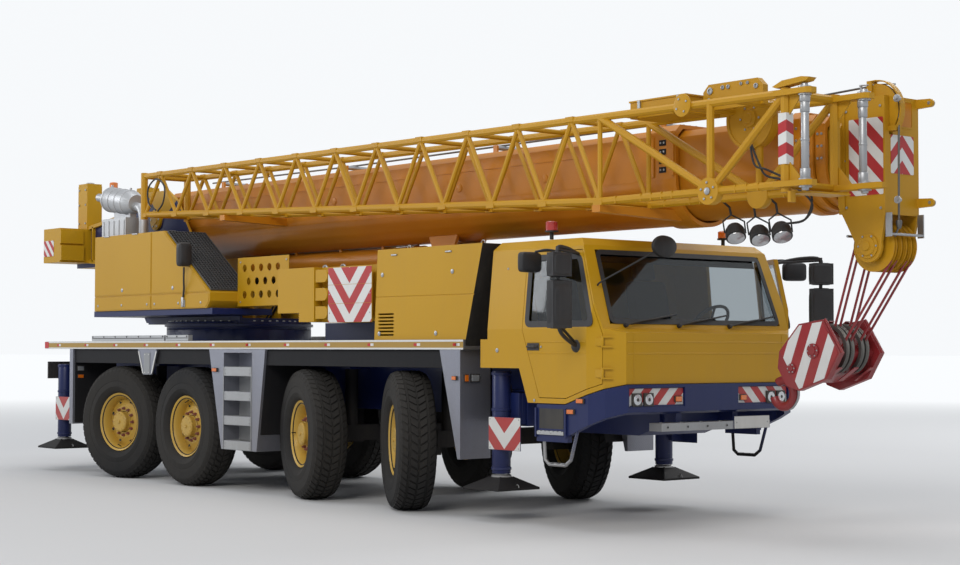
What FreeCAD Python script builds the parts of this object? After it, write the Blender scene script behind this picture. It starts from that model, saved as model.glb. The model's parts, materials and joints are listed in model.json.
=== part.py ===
import FreeCAD, Part
import math
import os

# A four-axle all-terrain telescopic crane, parked with its boom down over the cab.
# Millimetres: X forward, Y to the left, Z up from the ground.
# Stations are X distances from the first axle, and left and right pieces are mirror images.
# The file's origin lies on the ground at this station, halfway along the crane.
ORIGIN_STATION = -1470.0

# Running clearances: flat sliding faces, round fits, and pieces that pass each other.
SEAT_GAP = 0.3
PASS_GAP = 5.0

# Axles: name, station, and the steering angles of the right and left wheels as parked.
AXLES = (
    ("1", 0.0, -28.0, -22.6),
    ("2", -1650.0, -17.0, -14.3),
    ("3", -4050.0, 0.0, 0.0),
    ("4", -5700.0, 11.7, 9.2),
)

# Tyres and rims.
TYRE_RADIUS = 680.0
TYRE_WIDTH = 375.0
TREAD_WIDTH = 318.0
WHEEL_PLANE = 1087.5
RIM_SEAT_RADIUS = 317.0
RIM_FLANGE_RADIUS = 352.0
RIM_FLANGE_SPACING = 254.0
RIM_WALL = 13.0
RIM_DISC_OFFSET = 42.0
RIM_DISC_WALL = 16.0
HUB_RADIUS = 118.0
HUB_REACH = 138.0

# Kingpins, knuckles and axle beams.
KINGPIN_Y = 975.0
KINGPIN_RADIUS = 38.0
KNUCKLE_RADIUS = 72.0
KNUCKLE_HALF_HEIGHT = 104.0
SPINDLE_RADIUS = 66.0
SPINDLE_LENGTH = 56.0
DRUM_BACK_Y = 1041.0
BRAKE_DRUM_RADIUS = 205.0
BRAKE_DRUM_WIDTH = 40.0
STEERING_ARM_LENGTH = 238.0
STEERING_ARM_WIDTH = 46.0
AXLE_HALF_WIDTH = 72.0
AXLE_HALF_HEIGHT = 82.0
AXLE_YOKE_Y = 800.0
YOKE_ARM_THICKNESS = 46.0
DIFFERENTIAL_RADIUS = 185.0
SUSPENSION_Y = 610.0
SUSPENSION_RADIUS = 66.0
SHAFT_RADIUS = 46.0

# Chassis frame and deck.
FRAME_HALF_WIDTH = 430.0
FRAME_BOTTOM = 930.0
FRAME_TOP = 1500.0
FRAME_REAR = -7640.0
FRAME_FRONT = 1610.0
FRAME_NOSE_TOP = 1370.0
FRAME_NOSE_STATION = 1180.0
LOW_FRAME_TOP = 1062.0
LOW_FRAME_BOTTOM = 800.0
LOW_FRAME_FRONT = 2760.0
DECK_TOP = 1600.0
DECK_THICKNESS = 35.0
DECK_REAR = -7550.0
DECK_FRONT = 1050.0
BODY_HALF_WIDTH = 1275.0
RAIL_HEIGHT = 95.0
RAIL_THICKNESS = 30.0
BEARER_STATIONS = (-7300.0, -6250.0, -3420.0, -2380.0, 860.0)
BEARER_WIDTH = 90.0

# Tow jaw at the rear: its height span, the slot between its ears, and its pin hole.
JAW_HEIGHTS = (950.0, 1090.0)
JAW_SLOT = (990.0, 1050.0)
JAW_HALF_WIDTH = 90.0
JAW_REACH = 230.0
JAW_PIN_SETBACK = 150.0
JAW_PIN_RADIUS = 22.0

# Slewing ring on its pedestal.
SLEW_STATION = -4875.0
RING_RADIUS = 880.0
RING_BORE = 700.0
RING_JOINT_Z = 1800.0
RING_TOP = 1895.0

# Outriggers: name and station of the jacks, then the two-stage beams and the jacks.
OUTRIGGERS = (("front", 1350.0), ("rear", -7400.0))
JACK_Y = 1064.0
TUNNEL_BOTTOM = 880.0
TUNNEL_WIDTH = 190.0
TUNNEL_HEIGHT = 300.0
TUNNEL_END = 930.0
TUNNEL_WALL = 16.0
BEAM_WALL = 12.0
BEAM_TAIL = 850.0
BEAM_STROKE = 1020.0
JACK_CASING_RADIUS = 86.0
JACK_CASING_BOTTOM = 430.0
JACK_CASING_TOP = 1368.0
JACK_ROD_RADIUS = 62.0
JACK_STROKE = 600.0
PAD_SIZE = 500.0
PAD_BOTTOM = 286.0
PAD_RIM = 22.0
PAD_HEIGHT = 112.0
BOARD_LENGTH = 445.0
BOARD_BOTTOM = 650.0
BOARD_HEIGHT = 300.0
BOARD_THICKNESS = 6.0

# Mudguards and the chequer-plate skirts between the wheels.
GUARD_UNDERSIDE = 1425.0
GUARD_THICKNESS = 8.0
VALANCE_BOTTOM = 1392.0
GUARD_INNER_Y = 660.0
GUARD_FOOT = 640.0
SKIRT_BOTTOM = 460.0
SKIRT_TOP_ENDS = (-3470.0, -2320.0)
SKIRT_BOTTOM_ENDS = (-3200.0, -2480.0)
SKIRT_DEPTH = 330.0
STEP_WELL = (-3160.0, -2580.0)
STEP_WELL_DEPTH = 210.0
STEP_COUNT = 4
STEP_PITCH = 270.0
STEP_FACE = 100.0
STEP_TREAD = 30.0
FRONT_BOX_FACE = 1000.0
FRONT_BOX_TOP = 690.0
FRONT_BOX_FOOT = 960.0
FRONT_BOX_BOTTOM = 545.0
FRONT_BOX_INNER_Y = 900.0
REAR_BOX_ENDS = (-6860.0, -6770.0)
REAR_BOX_BOTTOM = 620.0
MID_BRACKET_STATION = -4875.0
MID_BRACKET_TOP = 450.0
MID_BRACKET_FOOT = 190.0
MID_BRACKET_BOTTOM = 1262.0

# Engine housing across the deck, its engine, and the ballast slabs behind it.
HOUSING_FOOT_ENDS = (-390.0, 1030.0)
HOUSING_TOP_ENDS = (-335.0, 1290.0)
HOUSING_TOP = 2550.0
HOUSING_SETBACK = 32.0
HOUSING_HALF_WIDTH = BODY_HALF_WIDTH - HOUSING_SETBACK
HOUSING_WALL = 28.0
HOUSING_SEAM_Z = 2075.0
SEAM_WIDTH = 10.0
SEAM_DEPTH = 6.0
LOUVRE_COUNT = 7
LOUVRE_PITCH = 34.0
LOUVRE_LENGTH = 250.0
LOUVRE_HEIGHT = 16.0
LOUVRE_Z = 1700.0
ENGINE_LENGTH = 1100.0
ENGINE_WIDTH = 800.0
ENGINE_HEIGHT = 720.0
ENGINE_REAR = -150.0
SLAB_ENDS = (-2105.0, -396.0)
SLAB_BOTTOM = 1850.0
SLAB_THICKNESS = 189.0
SLAB_STEP = 400.0
SLAB_STEP_HEIGHT = 96.0
SLAB_SETBACK = 20.0
SLAB_HALF_WIDTH = BODY_HALF_WIDTH - SLAB_SETBACK
SLAB_CHANNEL = 520.0
SLAB_SHOULDER = -1425.0
SLAB_RECESS = 105.0
SLAB_EAR_ENDS = (-1403.0, -1190.0)
SLAB_EAR_HEIGHT = 130.0
BALLAST_BOARD_ENDS = (-1168.0, -412.0)
BALLAST_BOARD_HEIGHTS = (1838.0, 2402.0)
BALLAST_BOARD_THICKNESS = 8.0
SLAB_RAIL_Y = 520.0
SLAB_RAIL_WIDTH = 120.0

# Carrier cab: wall, then its side, front and plan outlines, half the latter two.
CAB_WALL = 42.0
CAB_FRONT = 2970.0
CAB_SIDE = (
    (1270.0, 1400.0), (1270.0, 1660.0), (1370.0, 1660.0), (1370.0, 2480.0), (1425.0, 2545.0),
    (2500.0, 2545.0), (2578.0, 2480.0), (2845.0, 1750.0), (CAB_FRONT, 1715.0), (CAB_FRONT, 1272.0),
    (2420.0, 1095.0), (1930.0, 1095.0), (1810.0, 1400.0),
)
CAB_FRONT_HALF = ((1250.0, 1000.0), (1250.0, 1750.0), (1178.0, 2470.0), (1110.0, 2560.0))
CAB_PLAN_HALF = ((1200.0, 1250.0), (2690.0, 1250.0), (2850.0, 1200.0), (2975.0, 1040.0))
WINDSCREEN_FOOT = (1100.0, 1790.0)
WINDSCREEN_HEAD = (1060.0, 2440.0)
WINDSCREEN_STATION = 2450.0
GLASS_INSET = 14.0
GLASS_THICKNESS = 6.0
# The forms that bound the cab reach past it by a clearance.
CAB_REACH = 150.0
CAB_REACH_X = (CAB_PLAN_HALF[0][0] - CAB_REACH, CAB_PLAN_HALF[-1][0] + CAB_REACH)
CAB_REACH_Y = CAB_PLAN_HALF[0][1] + CAB_REACH
CAB_REACH_Z = (CAB_FRONT_HALF[0][1] - CAB_REACH, CAB_FRONT_HALF[-1][1] + CAB_REACH)
CAB_INSIDE_Y = CAB_FRONT_HALF[-1][0] - CAB_REACH

# Inside the cab: dashboard and its leg, seats, steering column and wheel.
CAB_FLOOR = CAB_SIDE[-2][1] + CAB_WALL
DASH_HALF = 1080.0
DASH_SIDE = (
    (2460.0, 1480.0), (2430.0, 1660.0), (2560.0, 1735.0), (2760.0, 1700.0), (2950.0, 1600.0),
    (2950.0, 1480.0),
)
DASH_LEG = (2700.0, 2800.0)
DASH_LEG_HALF = 200.0
DASH_LEG_HEIGHTS = (CAB_FLOOR + 140.0, 1490.0)
CAB_SEAT_Y = (330.0, 850.0)
CAB_SEAT_SIDE = (
    (1640.0, 1500.0), (1500.0, 2160.0), (1600.0, 2190.0), (1760.0, 1610.0), (2180.0, 1630.0),
    (2180.0, 1510.0), (2160.0, 1440.0), (2160.0, CAB_FLOOR), (2010.0, CAB_FLOOR), (1960.0, 1440.0),
    (1850.0, 1440.0),
)
WHEEL_HUB = (2400.0, 590.0, 1810.0)
COLUMN_FOOT = (2570.0, 590.0, 1660.0)
COLUMN_RADIUS = 24.0
STEERING_RADIUS = 215.0
STEERING_RIM_RADIUS = 16.0
STEERING_BAR = (8.0, 12.0)

# Cab doors: side outline of the door and of its window, hinge and parked opening.
DOOR_OUTLINE = (
    (1850.0, 2440.0), (1850.0, 1740.0), (2080.0, 1140.0), (2430.0, 1140.0), (2845.0, 1274.0),
    (2845.0, 1700.0), (2612.0, 2336.0), (2570.0, 2440.0),
)
DOOR_WINDOW = ((1905.0, 2385.0), (1905.0, 1790.0), (2745.0, 1790.0), (2535.0, 2385.0))
DOOR_SEAM = 6.0
DOOR_REBATE = 22.0
DOOR_HINGE = (2856.0, 1216.0)
HINGE_FEET = (1330.0, 1600.0)
HINGE_LENGTH = 70.0
HINGE_RADIUS = 13.0
HINGE_PIN_RADIUS = 7.0
HINGE_LUG = 14.0
LEFT_DOOR_OPEN = 33.0
MIRROR_STATION = 2680.0
MIRROR_Y = 1570.0
MIRROR_WIDTH = 215.0
MIRROR_DEPTH = 80.0
MIRROR_ARM_RADIUS = 13.0
# Mirror heads: bottom and top.
MIRROR_HEADS = ((1750.0, 2150.0), (2190.0, 2390.0))

# Front bumper, steps and lamps.
BUMPER_WALL = 55.0
BUMPER_FRONT = 2990.0
BUMPER_LOW_Z = 1030.0
BUMPER_SIDE = (
    (2050.0, 760.0), (2050.0, 1087.0), (2422.0, 1087.0), (BUMPER_FRONT, 1268.0),
    (BUMPER_FRONT, BUMPER_LOW_Z),
    (2450.0, 815.0), (2450.0, 760.0),
)
BUMPER_REACH_Z = (600.0, 1400.0)
LAMP_PANEL = (345.0, 1030.0)
LAMP_PANEL_HEIGHTS = (1075.0, 1240.0)
LAMP_RECESS = 24.0
LAMP_RADIUS = 52.0
LAMP_PAIR = (790.0, 930.0)
STEP_BAR_HALF = 700.0
STEP_BAR_HEIGHTS = (862.0, 932.0)
STEP_BAR_ENDS = (2900.0, 3050.0)
PLATE_Y = 450.0
PLATE_SIZE = (470.0, 112.0)
STIRRUP_RADIUS = 15.0
STIRRUP_DROP = 560.0

# Turntable: side cheeks, floor, tail and the boom's pivot.
CHEEK_Y = 455.0
CHEEK_THICKNESS = 38.0
CHEEK_SIDE = (
    (-4080.0, 1895.0), (-4080.0, 2240.0), (-4900.0, 2560.0), (-5560.0, 3420.0), (-5800.0, 3560.0),
    (-6330.0, 3560.0), (-6900.0, 3330.0), (-8220.0, 3170.0), (-8220.0, 2715.0), (-6900.0, 2600.0),
    (-6300.0, 1895.0),
)
FLOOR_THICKNESS = 60.0
PLATFORM_ENDS = (-6250.0, -3440.0)
PLATFORM_TOP = 2030.0
PLATFORM_THICKNESS = 70.0
TAIL_BEAM_HALF = 950.0
TAIL_BEAM_DEPTH = 480.0
POST_Y = 330.0
POST_WIDTH = 220.0
POST_STATION = -7960.0
POST_TOP = 3760.0
PIVOT_STATION = -6050.0
PIVOT_Z = 3200.0
PIVOT_PIN_RADIUS = 90.0
WINCH_STATION = -7300.0
WINCH_Z = 3050.0
WINCH_RADIUS = 240.0
WINCH_FLANGE_RADIUS = 330.0
WINCH_HALF_WIDTH = 330.0

# Upper engine cover with silencer and step plate.
COVER_OUTER_Y = BODY_HALF_WIDTH
COVER_INNER_Y = 720.0
COVER_SIDE = (
    (-6200.0, 2030.0), (-6200.0, 2950.0), (-4500.0, 2950.0), (-3460.0, 2205.0), (-3460.0, 2110.0),
    (-3530.0, 2030.0),
)
COVER_SEAM_STATION = -4790.0
COVER_SEAM_Z = 2200.0
SILENCER_Y = 930.0
SILENCER_FRONT = (-5790.0, 3366.0)
SILENCER_LENGTH = 950.0
SILENCER_SLOPE = 8.0
SILENCER_RADIUS = 155.0
SILENCER_PIPE_RADIUS = 45.0
SILENCER_BOX_ENDS = (-6360.0, -5750.0)
SILENCER_BOX_TOP = 3190.0
STEP_PLATE_ENDS = (-3440.0, -2420.0)
STEP_PLATE_Y = 900.0
STEP_PLATE_HEIGHTS = (2050.0, 2600.0)
STEP_PLATE_THICKNESS = 8.0
STEP_HOLE_RADIUS = 42.0
STEP_HOLE_ROWS = 3
STEP_HOLE_PITCH = (170.0, 150.0)

# Crane operator's cab on the left, with a sliding door.
CRANE_CAB_SIDE = (
    (-5070.0, 1912.0), (-5070.0, 3340.0), (-4980.0, 3440.0), (-3720.0, 3440.0), (-3330.0, 2900.0),
    (-3190.0, 2300.0), (-3330.0, 1912.0),
)
CRANE_CAB_Y = (505.0, 1225.0)
CRANE_CAB_WALL = 32.0
CRANE_DOOR_ENDS = (-4230.0, -3520.0)
CRANE_DOOR_HEIGHTS = (1970.0, 3330.0)
CRANE_DOOR_THICKNESS = 30.0
CRANE_DOOR_STROKE = 620.0
CRANE_DOOR_RAIL = 22.0
# Its windows: rear and front ends, foot and top; the side one ends at a post by the door.
CRANE_SIDE_WINDOW = (-4990.0, 2500.0, 3300.0)
CRANE_FRONT_WINDOW = (-3700.0, -3000.0, 2050.0, 3360.0)
CRANE_INNER_WINDOW = (-4600.0, -3500.0, 2750.0, 3300.0)
CRANE_WINDOW_EDGE = 60.0
CRANE_WINDOW_POST = 10.0
# Its seat and the two consoles beside it.
CRANE_CAB_FLOOR = CRANE_CAB_SIDE[0][1] + CRANE_CAB_WALL
CRANE_SEAT_SIDE = (
    (-4760.0, 2380.0), (-4900.0, 3060.0), (-4790.0, 3090.0), (-4640.0, 2470.0), (-4230.0, 2480.0),
    (-4230.0, 2360.0), (-4400.0, 2300.0), (-4400.0, CRANE_CAB_FLOOR), (-4640.0, CRANE_CAB_FLOOR),
    (-4640.0, 2300.0),
)
CRANE_SEAT_HALF = 240.0
CONSOLE_ENDS = (-4600.0, -4150.0)
CONSOLE_Y = (250.0, 300.0)
CONSOLE_TOP = 2560.0

# Boom: outer section's ends and size, step to the next section, and the collars.
BOOM_BOTTOM = 2690.0
BOOM_WIDTH = 780.0
BOOM_HEIGHT = 840.0
BOOM_REAR = -5880.0
BOOM_FRONT = 2950.0
BASE_COLLAR_LENGTH = 330.0
BOOM_PLATE = 10.0
BOOM_STEP = 28.0
BOOM_CORNER = 60.0
COLLAR_LENGTH = 105.0
COLLAR_RISE = 26.0
TELE_FRONT = 4330.0
TELE_COUNT = 3
TELE_REAR_STEP = 140.0
TELE_STROKE = 8150.0
PAD_LENGTH = 120.0

# Boom head and its sheaves.
HEAD_FRONT = 5060.0
HEAD_TOP = 3600.0
HEAD_BOTTOM = 2650.0
HEAD_HALF_WIDTH = 220.0
HEAD_PLATE = 30.0
LOWER_SHEAVE = (4890.0, 2400.0)
LOWER_SHEAVE_RADIUS = 205.0
LOWER_ARM_RADIUS = 130.0
UPPER_SHEAVE_INSETS = (135.0, 115.0)
UPPER_SHEAVE = (HEAD_FRONT - UPPER_SHEAVE_INSETS[0], HEAD_TOP - UPPER_SHEAVE_INSETS[1])
UPPER_SHEAVE_Y = -140.0
UPPER_SHEAVE_RADIUS = 225.0
ROPE_GUARD_THICKNESS = 10.0
ROPE_GUARD_ENDS = (-35.0, 100.0)
SHEAVE_WIDTH = 34.0
SHEAVE_GROOVE = 22.0
SHEAVE_COUNT = 5
SHEAVE_PIN_RADIUS = 55.0
LUG_TIP = 5220.0
# The lower lug stands above the head's bottom, the upper one below its top.
LUG_INSETS = (105.0, 40.0)
LUG_HEIGHTS = (HEAD_BOTTOM + LUG_INSETS[0], HEAD_TOP - LUG_INSETS[1])
LUG_RADIUS = 34.0

# Hook block tied back under the boom head.
HOOK_TOP = (4550.0, 1670.0)
HOOK_TILT = 57.0
BLOCK_HALF_WIDTH = 290.0
BLOCK_LENGTH = 600.0
BLOCK_DEPTH = 540.0
BLOCK_CHEEK = 60.0
HOOK_RADIUS = 150.0
HOOK_SECTION = 80.0
ROPE_RADIUS = 10.0

# Derrick cylinder: eye pin under the boom, slope with the boom down, barrel and rod.
DERRICK_EYE = (-600.0, 2554.0)
DERRICK_SLOPE = 0.0
DERRICK_BARREL_RADIUS = 125.0
DERRICK_BARREL_LENGTH = 3280.0
DERRICK_ROD_SHOWING = 581.7
DERRICK_ROD_RADIUS = 92.0
DERRICK_EYE_RADIUS = 120.0
DERRICK_PIN_RADIUS = 62.0
DERRICK_LUG_Y = 165.0
DERRICK_LUG_THICKNESS = 40.0
BOOM_RAISE = 81.0
DERRICK_LENGTH = DERRICK_BARREL_LENGTH + DERRICK_ROD_SHOWING
DERRICK_FOOT = (
    DERRICK_EYE[0] - DERRICK_LENGTH * math.cos(math.radians(DERRICK_SLOPE)),
    DERRICK_EYE[1] - DERRICK_LENGTH * math.sin(math.radians(DERRICK_SLOPE)),
)

# Lattice fly jib stowed along the right of the boom.
JIB_NEAR_Y = -1180.0
JIB_FAR_Y = -590.0
JIB_TIP = -5100.0
JIB_BASE = 4860.0
JIB_TOP_ENDS = (3640.0, 3545.0)
JIB_FOOT_ENDS = (3180.0, 2840.0)
JIB_POST_STATION = 2790.0
JIB_NODE_STATION = 4075.0
JIB_GUSSET_RADIUS = 110.0
JIB_BOX_ENDS = (3040.0, 3690.0)
# The box's two cross members, as a part of its length from either end.
JIB_BOX_STRUT_PART = 60.0 / 650.0
JIB_ARM_ENDS = (3750.0, 4400.0)
JIB_ARM_TOP = 3755.0
JIB_DRUM = (4005.0, 3480.0)
JIB_DRUM_RADIUS = 255.0
JIB_BAY_COUNT = 11
JIB_CHORD = 62.0
JIB_DIAGONAL = 42.0
JIB_SUPPORTS = (-3300.0, 2780.0)
# Fork plates at the jib's foot: plane, lower tip, upper tip, and the station of the rod between.
JIB_FORKS = (
    (JIB_NEAR_Y, 5140.0, 5140.0, 5050.0),
    (JIB_FAR_Y, 5340.0, 5225.0, 5135.0),
)
JIB_FORK_HEIGHT = 44.0
JIB_FORK_HALF_WIDTH = 60.0
JIB_ROD_RADIUS = 28.0


def point(x, y, z):
    return FreeCAD.Vector(x, y, z)


def block(x0, x1, y0, y1, z0, z1):
    size = (abs(x1 - x0), abs(y1 - y0), abs(z1 - z0))
    return Part.makeBox(*size, point(min(x0, x1), min(y0, y1), min(z0, z1)))


def face_of(points):
    return Part.Face(Part.makePolygon(list(points) + [points[0]]))


def side_prism(outline, y0, y1):
    """A side outline of (x, z) corners carried across from y0 to y1."""
    return face_of([point(x, y0, z) for x, z in outline]).extrude(point(0, y1 - y0, 0))


def front_prism(outline, x0, x1):
    """A front outline of (y, z) corners carried along from x0 to x1."""
    return face_of([point(x0, y, z) for y, z in outline]).extrude(point(x1 - x0, 0, 0))


def plan_prism(outline, z0, z1):
    """A plan outline of (x, y) corners carried up from z0 to z1."""
    return face_of([point(x, y, z0) for x, y in outline]).extrude(point(0, 0, z1 - z0))


def rod(start, end, radius):
    way = end - start
    return Part.makeCylinder(radius, way.Length, start, way)


def cross_rod(x, z, y0, y1, radius):
    return rod(point(x, min(y0, y1), z), point(x, max(y0, y1), z), radius)


def upright(x, y, z0, z1, radius):
    return rod(point(x, y, z0), point(x, y, z1), radius)


def strut(start, end, width):
    """A straight eight-sided member, as wide across flats as its width."""
    way = end - start
    corner = width / 2 / math.cos(math.pi / 8)
    angles = [math.pi / 8 + i * math.pi / 4 for i in range(8)]
    ring = face_of([point(corner * math.cos(a), corner * math.sin(a), 0) for a in angles])
    member = ring.extrude(point(0, 0, way.Length))
    member.Placement = FreeCAD.Placement(start, FreeCAD.Rotation(point(0, 0, 1), way))
    return member


def joined(shapes):
    shapes = list(shapes)
    if len(shapes) == 1:
        return shapes[0]
    return shapes[0].fuse(shapes[1:]).removeSplitter()


def without(shape, tools):
    return shape.cut(list(tools))


def mirrored(shape):
    return shape.mirror(point(0, 0, 0), point(0, 1, 0))


def both_sides(shape):
    return [shape, mirrored(shape)]


def turned(shape, centre, axis, degrees):
    copy = shape.copy()
    copy.rotate(centre, axis, degrees)
    return copy


def apart(shapes):
    """Several solids kept separate in one node."""
    return Part.makeCompound(list(shapes))


def spun(profile, x, z):
    """A profile of (radius, y) corners spun about a cross axis through x and z."""
    ring = face_of([point(x, y, z + r) for r, y in profile])
    return ring.revolve(point(x, 0, z), point(0, 1, 0), 360)


def offset_outline(outline, distance):
    """The corners of a closed outline moved inwards by a distance, keeping its directions."""
    area = sum(a[0] * b[1] - b[0] * a[1] for a, b in zip(outline, outline[1:] + outline[:1]))
    turn = 1.0 if area > 0 else -1.0
    lines = []
    for a, b in zip(outline, outline[1:] + outline[:1]):
        length = math.hypot(b[0] - a[0], b[1] - a[1])
        normal = (-(b[1] - a[1]) / length * turn, (b[0] - a[0]) / length * turn)
        lines.append((normal, normal[0] * a[0] + normal[1] * a[1] + distance))
    corners = []
    for (n, c), (m, d) in zip(lines[-1:] + lines[:-1], lines):
        cross = n[0] * m[1] - n[1] * m[0]
        corners.append(((c * m[1] - d * n[1]) / cross, (n[0] * d - m[0] * c) / cross))
    return tuple(corners)


def full_outline(half, axis):
    """Both halves of an outline that is mirrored across Y = 0; axis is where its Y stands."""
    if axis == 0:
        return tuple(half) + tuple((-y, z) for y, z in reversed(half))
    return tuple(half) + tuple((x, -y) for x, y in reversed(half))


def wheel_pair():
    """The tyre and the rim as two solids, outboard towards -Y."""
    z = TYRE_RADIUS
    half = TYRE_WIDTH / 2
    tread = TREAD_WIDTH / 2
    flange = RIM_FLANGE_SPACING / 2
    seat = RIM_SEAT_RADIUS + SEAT_GAP
    bead = RIM_FLANGE_RADIUS + 8.0
    shoulder = TYRE_RADIUS - 28.0
    tyre_half = [
        (TYRE_RADIUS, tread - 14.0), (shoulder, tread + 6.0), (shoulder - 70.0, half - 3.0),
        (bead + 90.0, half), (bead, flange - SEAT_GAP), (seat, flange - SEAT_GAP),
    ]
    section = tyre_half + [(r, -y) for r, y in reversed(tyre_half)]
    tyre = spun([(r, -WHEEL_PLANE - y) for r, y in section], 0, z)
    bore = RIM_SEAT_RADIUS - RIM_WALL
    edge = flange + RIM_WALL
    barrel_half = [
        (bore, edge), (RIM_FLANGE_RADIUS, edge), (RIM_FLANGE_RADIUS, flange),
        (RIM_SEAT_RADIUS, flange),
    ]
    barrel = barrel_half + [(r, -y) for r, y in reversed(barrel_half)]
    back = RIM_DISC_OFFSET
    disc = [
        (HUB_RADIUS - 1.0, back), (bore + 1.0, back - 40.0), (bore + 1.0, back - 40.0 + RIM_DISC_WALL),
        (HUB_RADIUS + 40.0, back + RIM_DISC_WALL), (HUB_RADIUS - 1.0, back + RIM_DISC_WALL),
    ]
    bore_end = drum_face() + SPINDLE_LENGTH + PASS_GAP
    hub_back = drum_face() + PASS_GAP
    hub = [
        (0.0, bore_end), (SPINDLE_RADIUS + SEAT_GAP, bore_end),
        (SPINDLE_RADIUS + SEAT_GAP, hub_back), (HUB_RADIUS, hub_back),
        (HUB_RADIUS, HUB_REACH - 30.0), (HUB_RADIUS - 22.0, HUB_REACH), (0.0, HUB_REACH),
    ]
    rings = [spun([(r, -WHEEL_PLANE - y) for r, y in p], 0, z) for p in (barrel, disc, hub)]
    return tyre, joined(rings)


def drum_face():
    """How far outboard of the wheel's centre plane the brake drum's outer face lies."""
    return DRUM_BACK_Y + BRAKE_DRUM_WIDTH - WHEEL_PLANE


def knuckle():
    """A right knuckle at station 0, straight ahead, with its spindle towards -Y."""
    z = TYRE_RADIUS
    body = upright(0, -KINGPIN_Y, z - KNUCKLE_HALF_HEIGHT, z + KNUCKLE_HALF_HEIGHT, KNUCKLE_RADIUS)
    pin_reach = KNUCKLE_HALF_HEIGHT + PASS_GAP + YOKE_ARM_THICKNESS
    pin = upright(0, -KINGPIN_Y, z - pin_reach, z + pin_reach, KINGPIN_RADIUS)
    drum = cross_rod(0, z, -DRUM_BACK_Y, -DRUM_BACK_Y - BRAKE_DRUM_WIDTH, BRAKE_DRUM_RADIUS)
    spindle = cross_rod(0, z, -KINGPIN_Y, -WHEEL_PLANE - drum_face() - SPINDLE_LENGTH, SPINDLE_RADIUS)
    half = STEERING_ARM_WIDTH / 2
    inboard = -KINGPIN_Y + 8.0
    arm = plan_prism(
        ((-20.0, -KINGPIN_Y - half), (-20.0, -KINGPIN_Y + half), (-STEERING_ARM_LENGTH, inboard + half),
         (-STEERING_ARM_LENGTH - half, inboard), (-STEERING_ARM_LENGTH, inboard - half)),
        z - KNUCKLE_HALF_HEIGHT, z - KNUCKLE_HALF_HEIGHT + STEERING_ARM_WIDTH)
    return joined([body, pin, drum, spindle, arm])


def placed_at_corner(shape, station, right_angle, left_angle, side):
    """A right-hand wheel piece moved to its axle, mirrored if left, and steered as parked."""
    moved = shape.copy()
    moved.translate(point(station, 0, 0))
    if side == "left":
        moved = mirrored(moved)
    y = -KINGPIN_Y if side == "right" else KINGPIN_Y
    angle = right_angle if side == "right" else left_angle
    return turned(moved, point(station, y, 0), point(0, 0, 1), angle)


def axle_beam(station):
    """A beam with a differential in the middle and an open yoke for each knuckle."""
    z = TYRE_RADIUS
    beam = block(station - AXLE_HALF_WIDTH, station + AXLE_HALF_WIDTH, -AXLE_YOKE_Y, AXLE_YOKE_Y,
                 z - AXLE_HALF_HEIGHT, z + AXLE_HALF_HEIGHT)
    ball = Part.makeSphere(DIFFERENTIAL_RADIUS, point(station, 0, z))
    inner = KNUCKLE_HALF_HEIGHT + PASS_GAP
    outer = inner + YOKE_ARM_THICKNESS
    slim = AXLE_HALF_WIDTH * 0.75
    pieces = [beam, ball]
    for sign in (-1, 1):
        back = block(station - slim, station + slim, sign * (AXLE_YOKE_Y - 60.0),
                     sign * (KINGPIN_Y - KNUCKLE_RADIUS - 12.0), z - outer, z + outer)
        pieces.append(back)
        for low, high in ((z - outer, z - inner), (z + inner, z + outer)):
            arm = block(station - slim, station + slim, sign * (AXLE_YOKE_Y - 60.0),
                        sign * KINGPIN_Y, low, high)
            pieces.append(arm)
            pieces.append(upright(station, sign * KINGPIN_Y, low, high, slim))
    bores = [upright(station, sign * KINGPIN_Y, z - outer - 1, z + outer + 1, KINGPIN_RADIUS + SEAT_GAP)
             for sign in (-1, 1)]
    struts = []
    for sign in (-1, 1):
        y = sign * SUSPENSION_Y
        struts.append(upright(station, y, z + AXLE_HALF_HEIGHT - 20.0, GUARD_UNDERSIDE - 70.0,
                              SUSPENSION_RADIUS))
    return without(joined(pieces + struts), bores)


def drive_train():
    """Engine block on the deck, gearbox in the frame and the shafts between the axles."""
    engine = block(ENGINE_REAR, ENGINE_REAR + ENGINE_LENGTH, -ENGINE_WIDTH / 2, ENGINE_WIDTH / 2,
                   DECK_TOP, DECK_TOP + ENGINE_HEIGHT)
    z = TYRE_RADIUS
    reach = DIFFERENTIAL_RADIUS + SEAT_GAP
    stations = [axle[1] for axle in AXLES]
    middle = (stations[1] + stations[2]) / 2
    gearbox = block(middle - 260.0, middle + 260.0, -240.0, 240.0, z - 160.0, FRAME_BOTTOM)
    shafts = [
        rod(point(stations[1] + reach, 0, z), point(stations[0] - reach, 0, z), SHAFT_RADIUS),
        rod(point(stations[3] + reach, 0, z), point(stations[2] - reach, 0, z), SHAFT_RADIUS),
    ]
    boxed = joined([gearbox,
                    rod(point(middle, 0, z), point(stations[1] - reach, 0, z), SHAFT_RADIUS),
                    rod(point(stations[2] + reach, 0, z), point(middle, 0, z), SHAFT_RADIUS)])
    return apart([engine, boxed] + shafts)


def tunnel_box(station):
    """Outer casing of a pair of outrigger tunnels, right beam in front of left."""
    half = TUNNEL_WIDTH + TUNNEL_WALL * 1.5
    return block(station - half, station + half, -TUNNEL_END, TUNNEL_END,
                 TUNNEL_BOTTOM - TUNNEL_WALL, TUNNEL_BOTTOM + TUNNEL_HEIGHT + TUNNEL_WALL)


def tunnel_centre(station, side):
    """The right beam's tunnel lies in front of the left beam's."""
    shift = (TUNNEL_WIDTH + TUNNEL_WALL) / 2
    return station + (shift if side == "right" else -shift)


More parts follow.
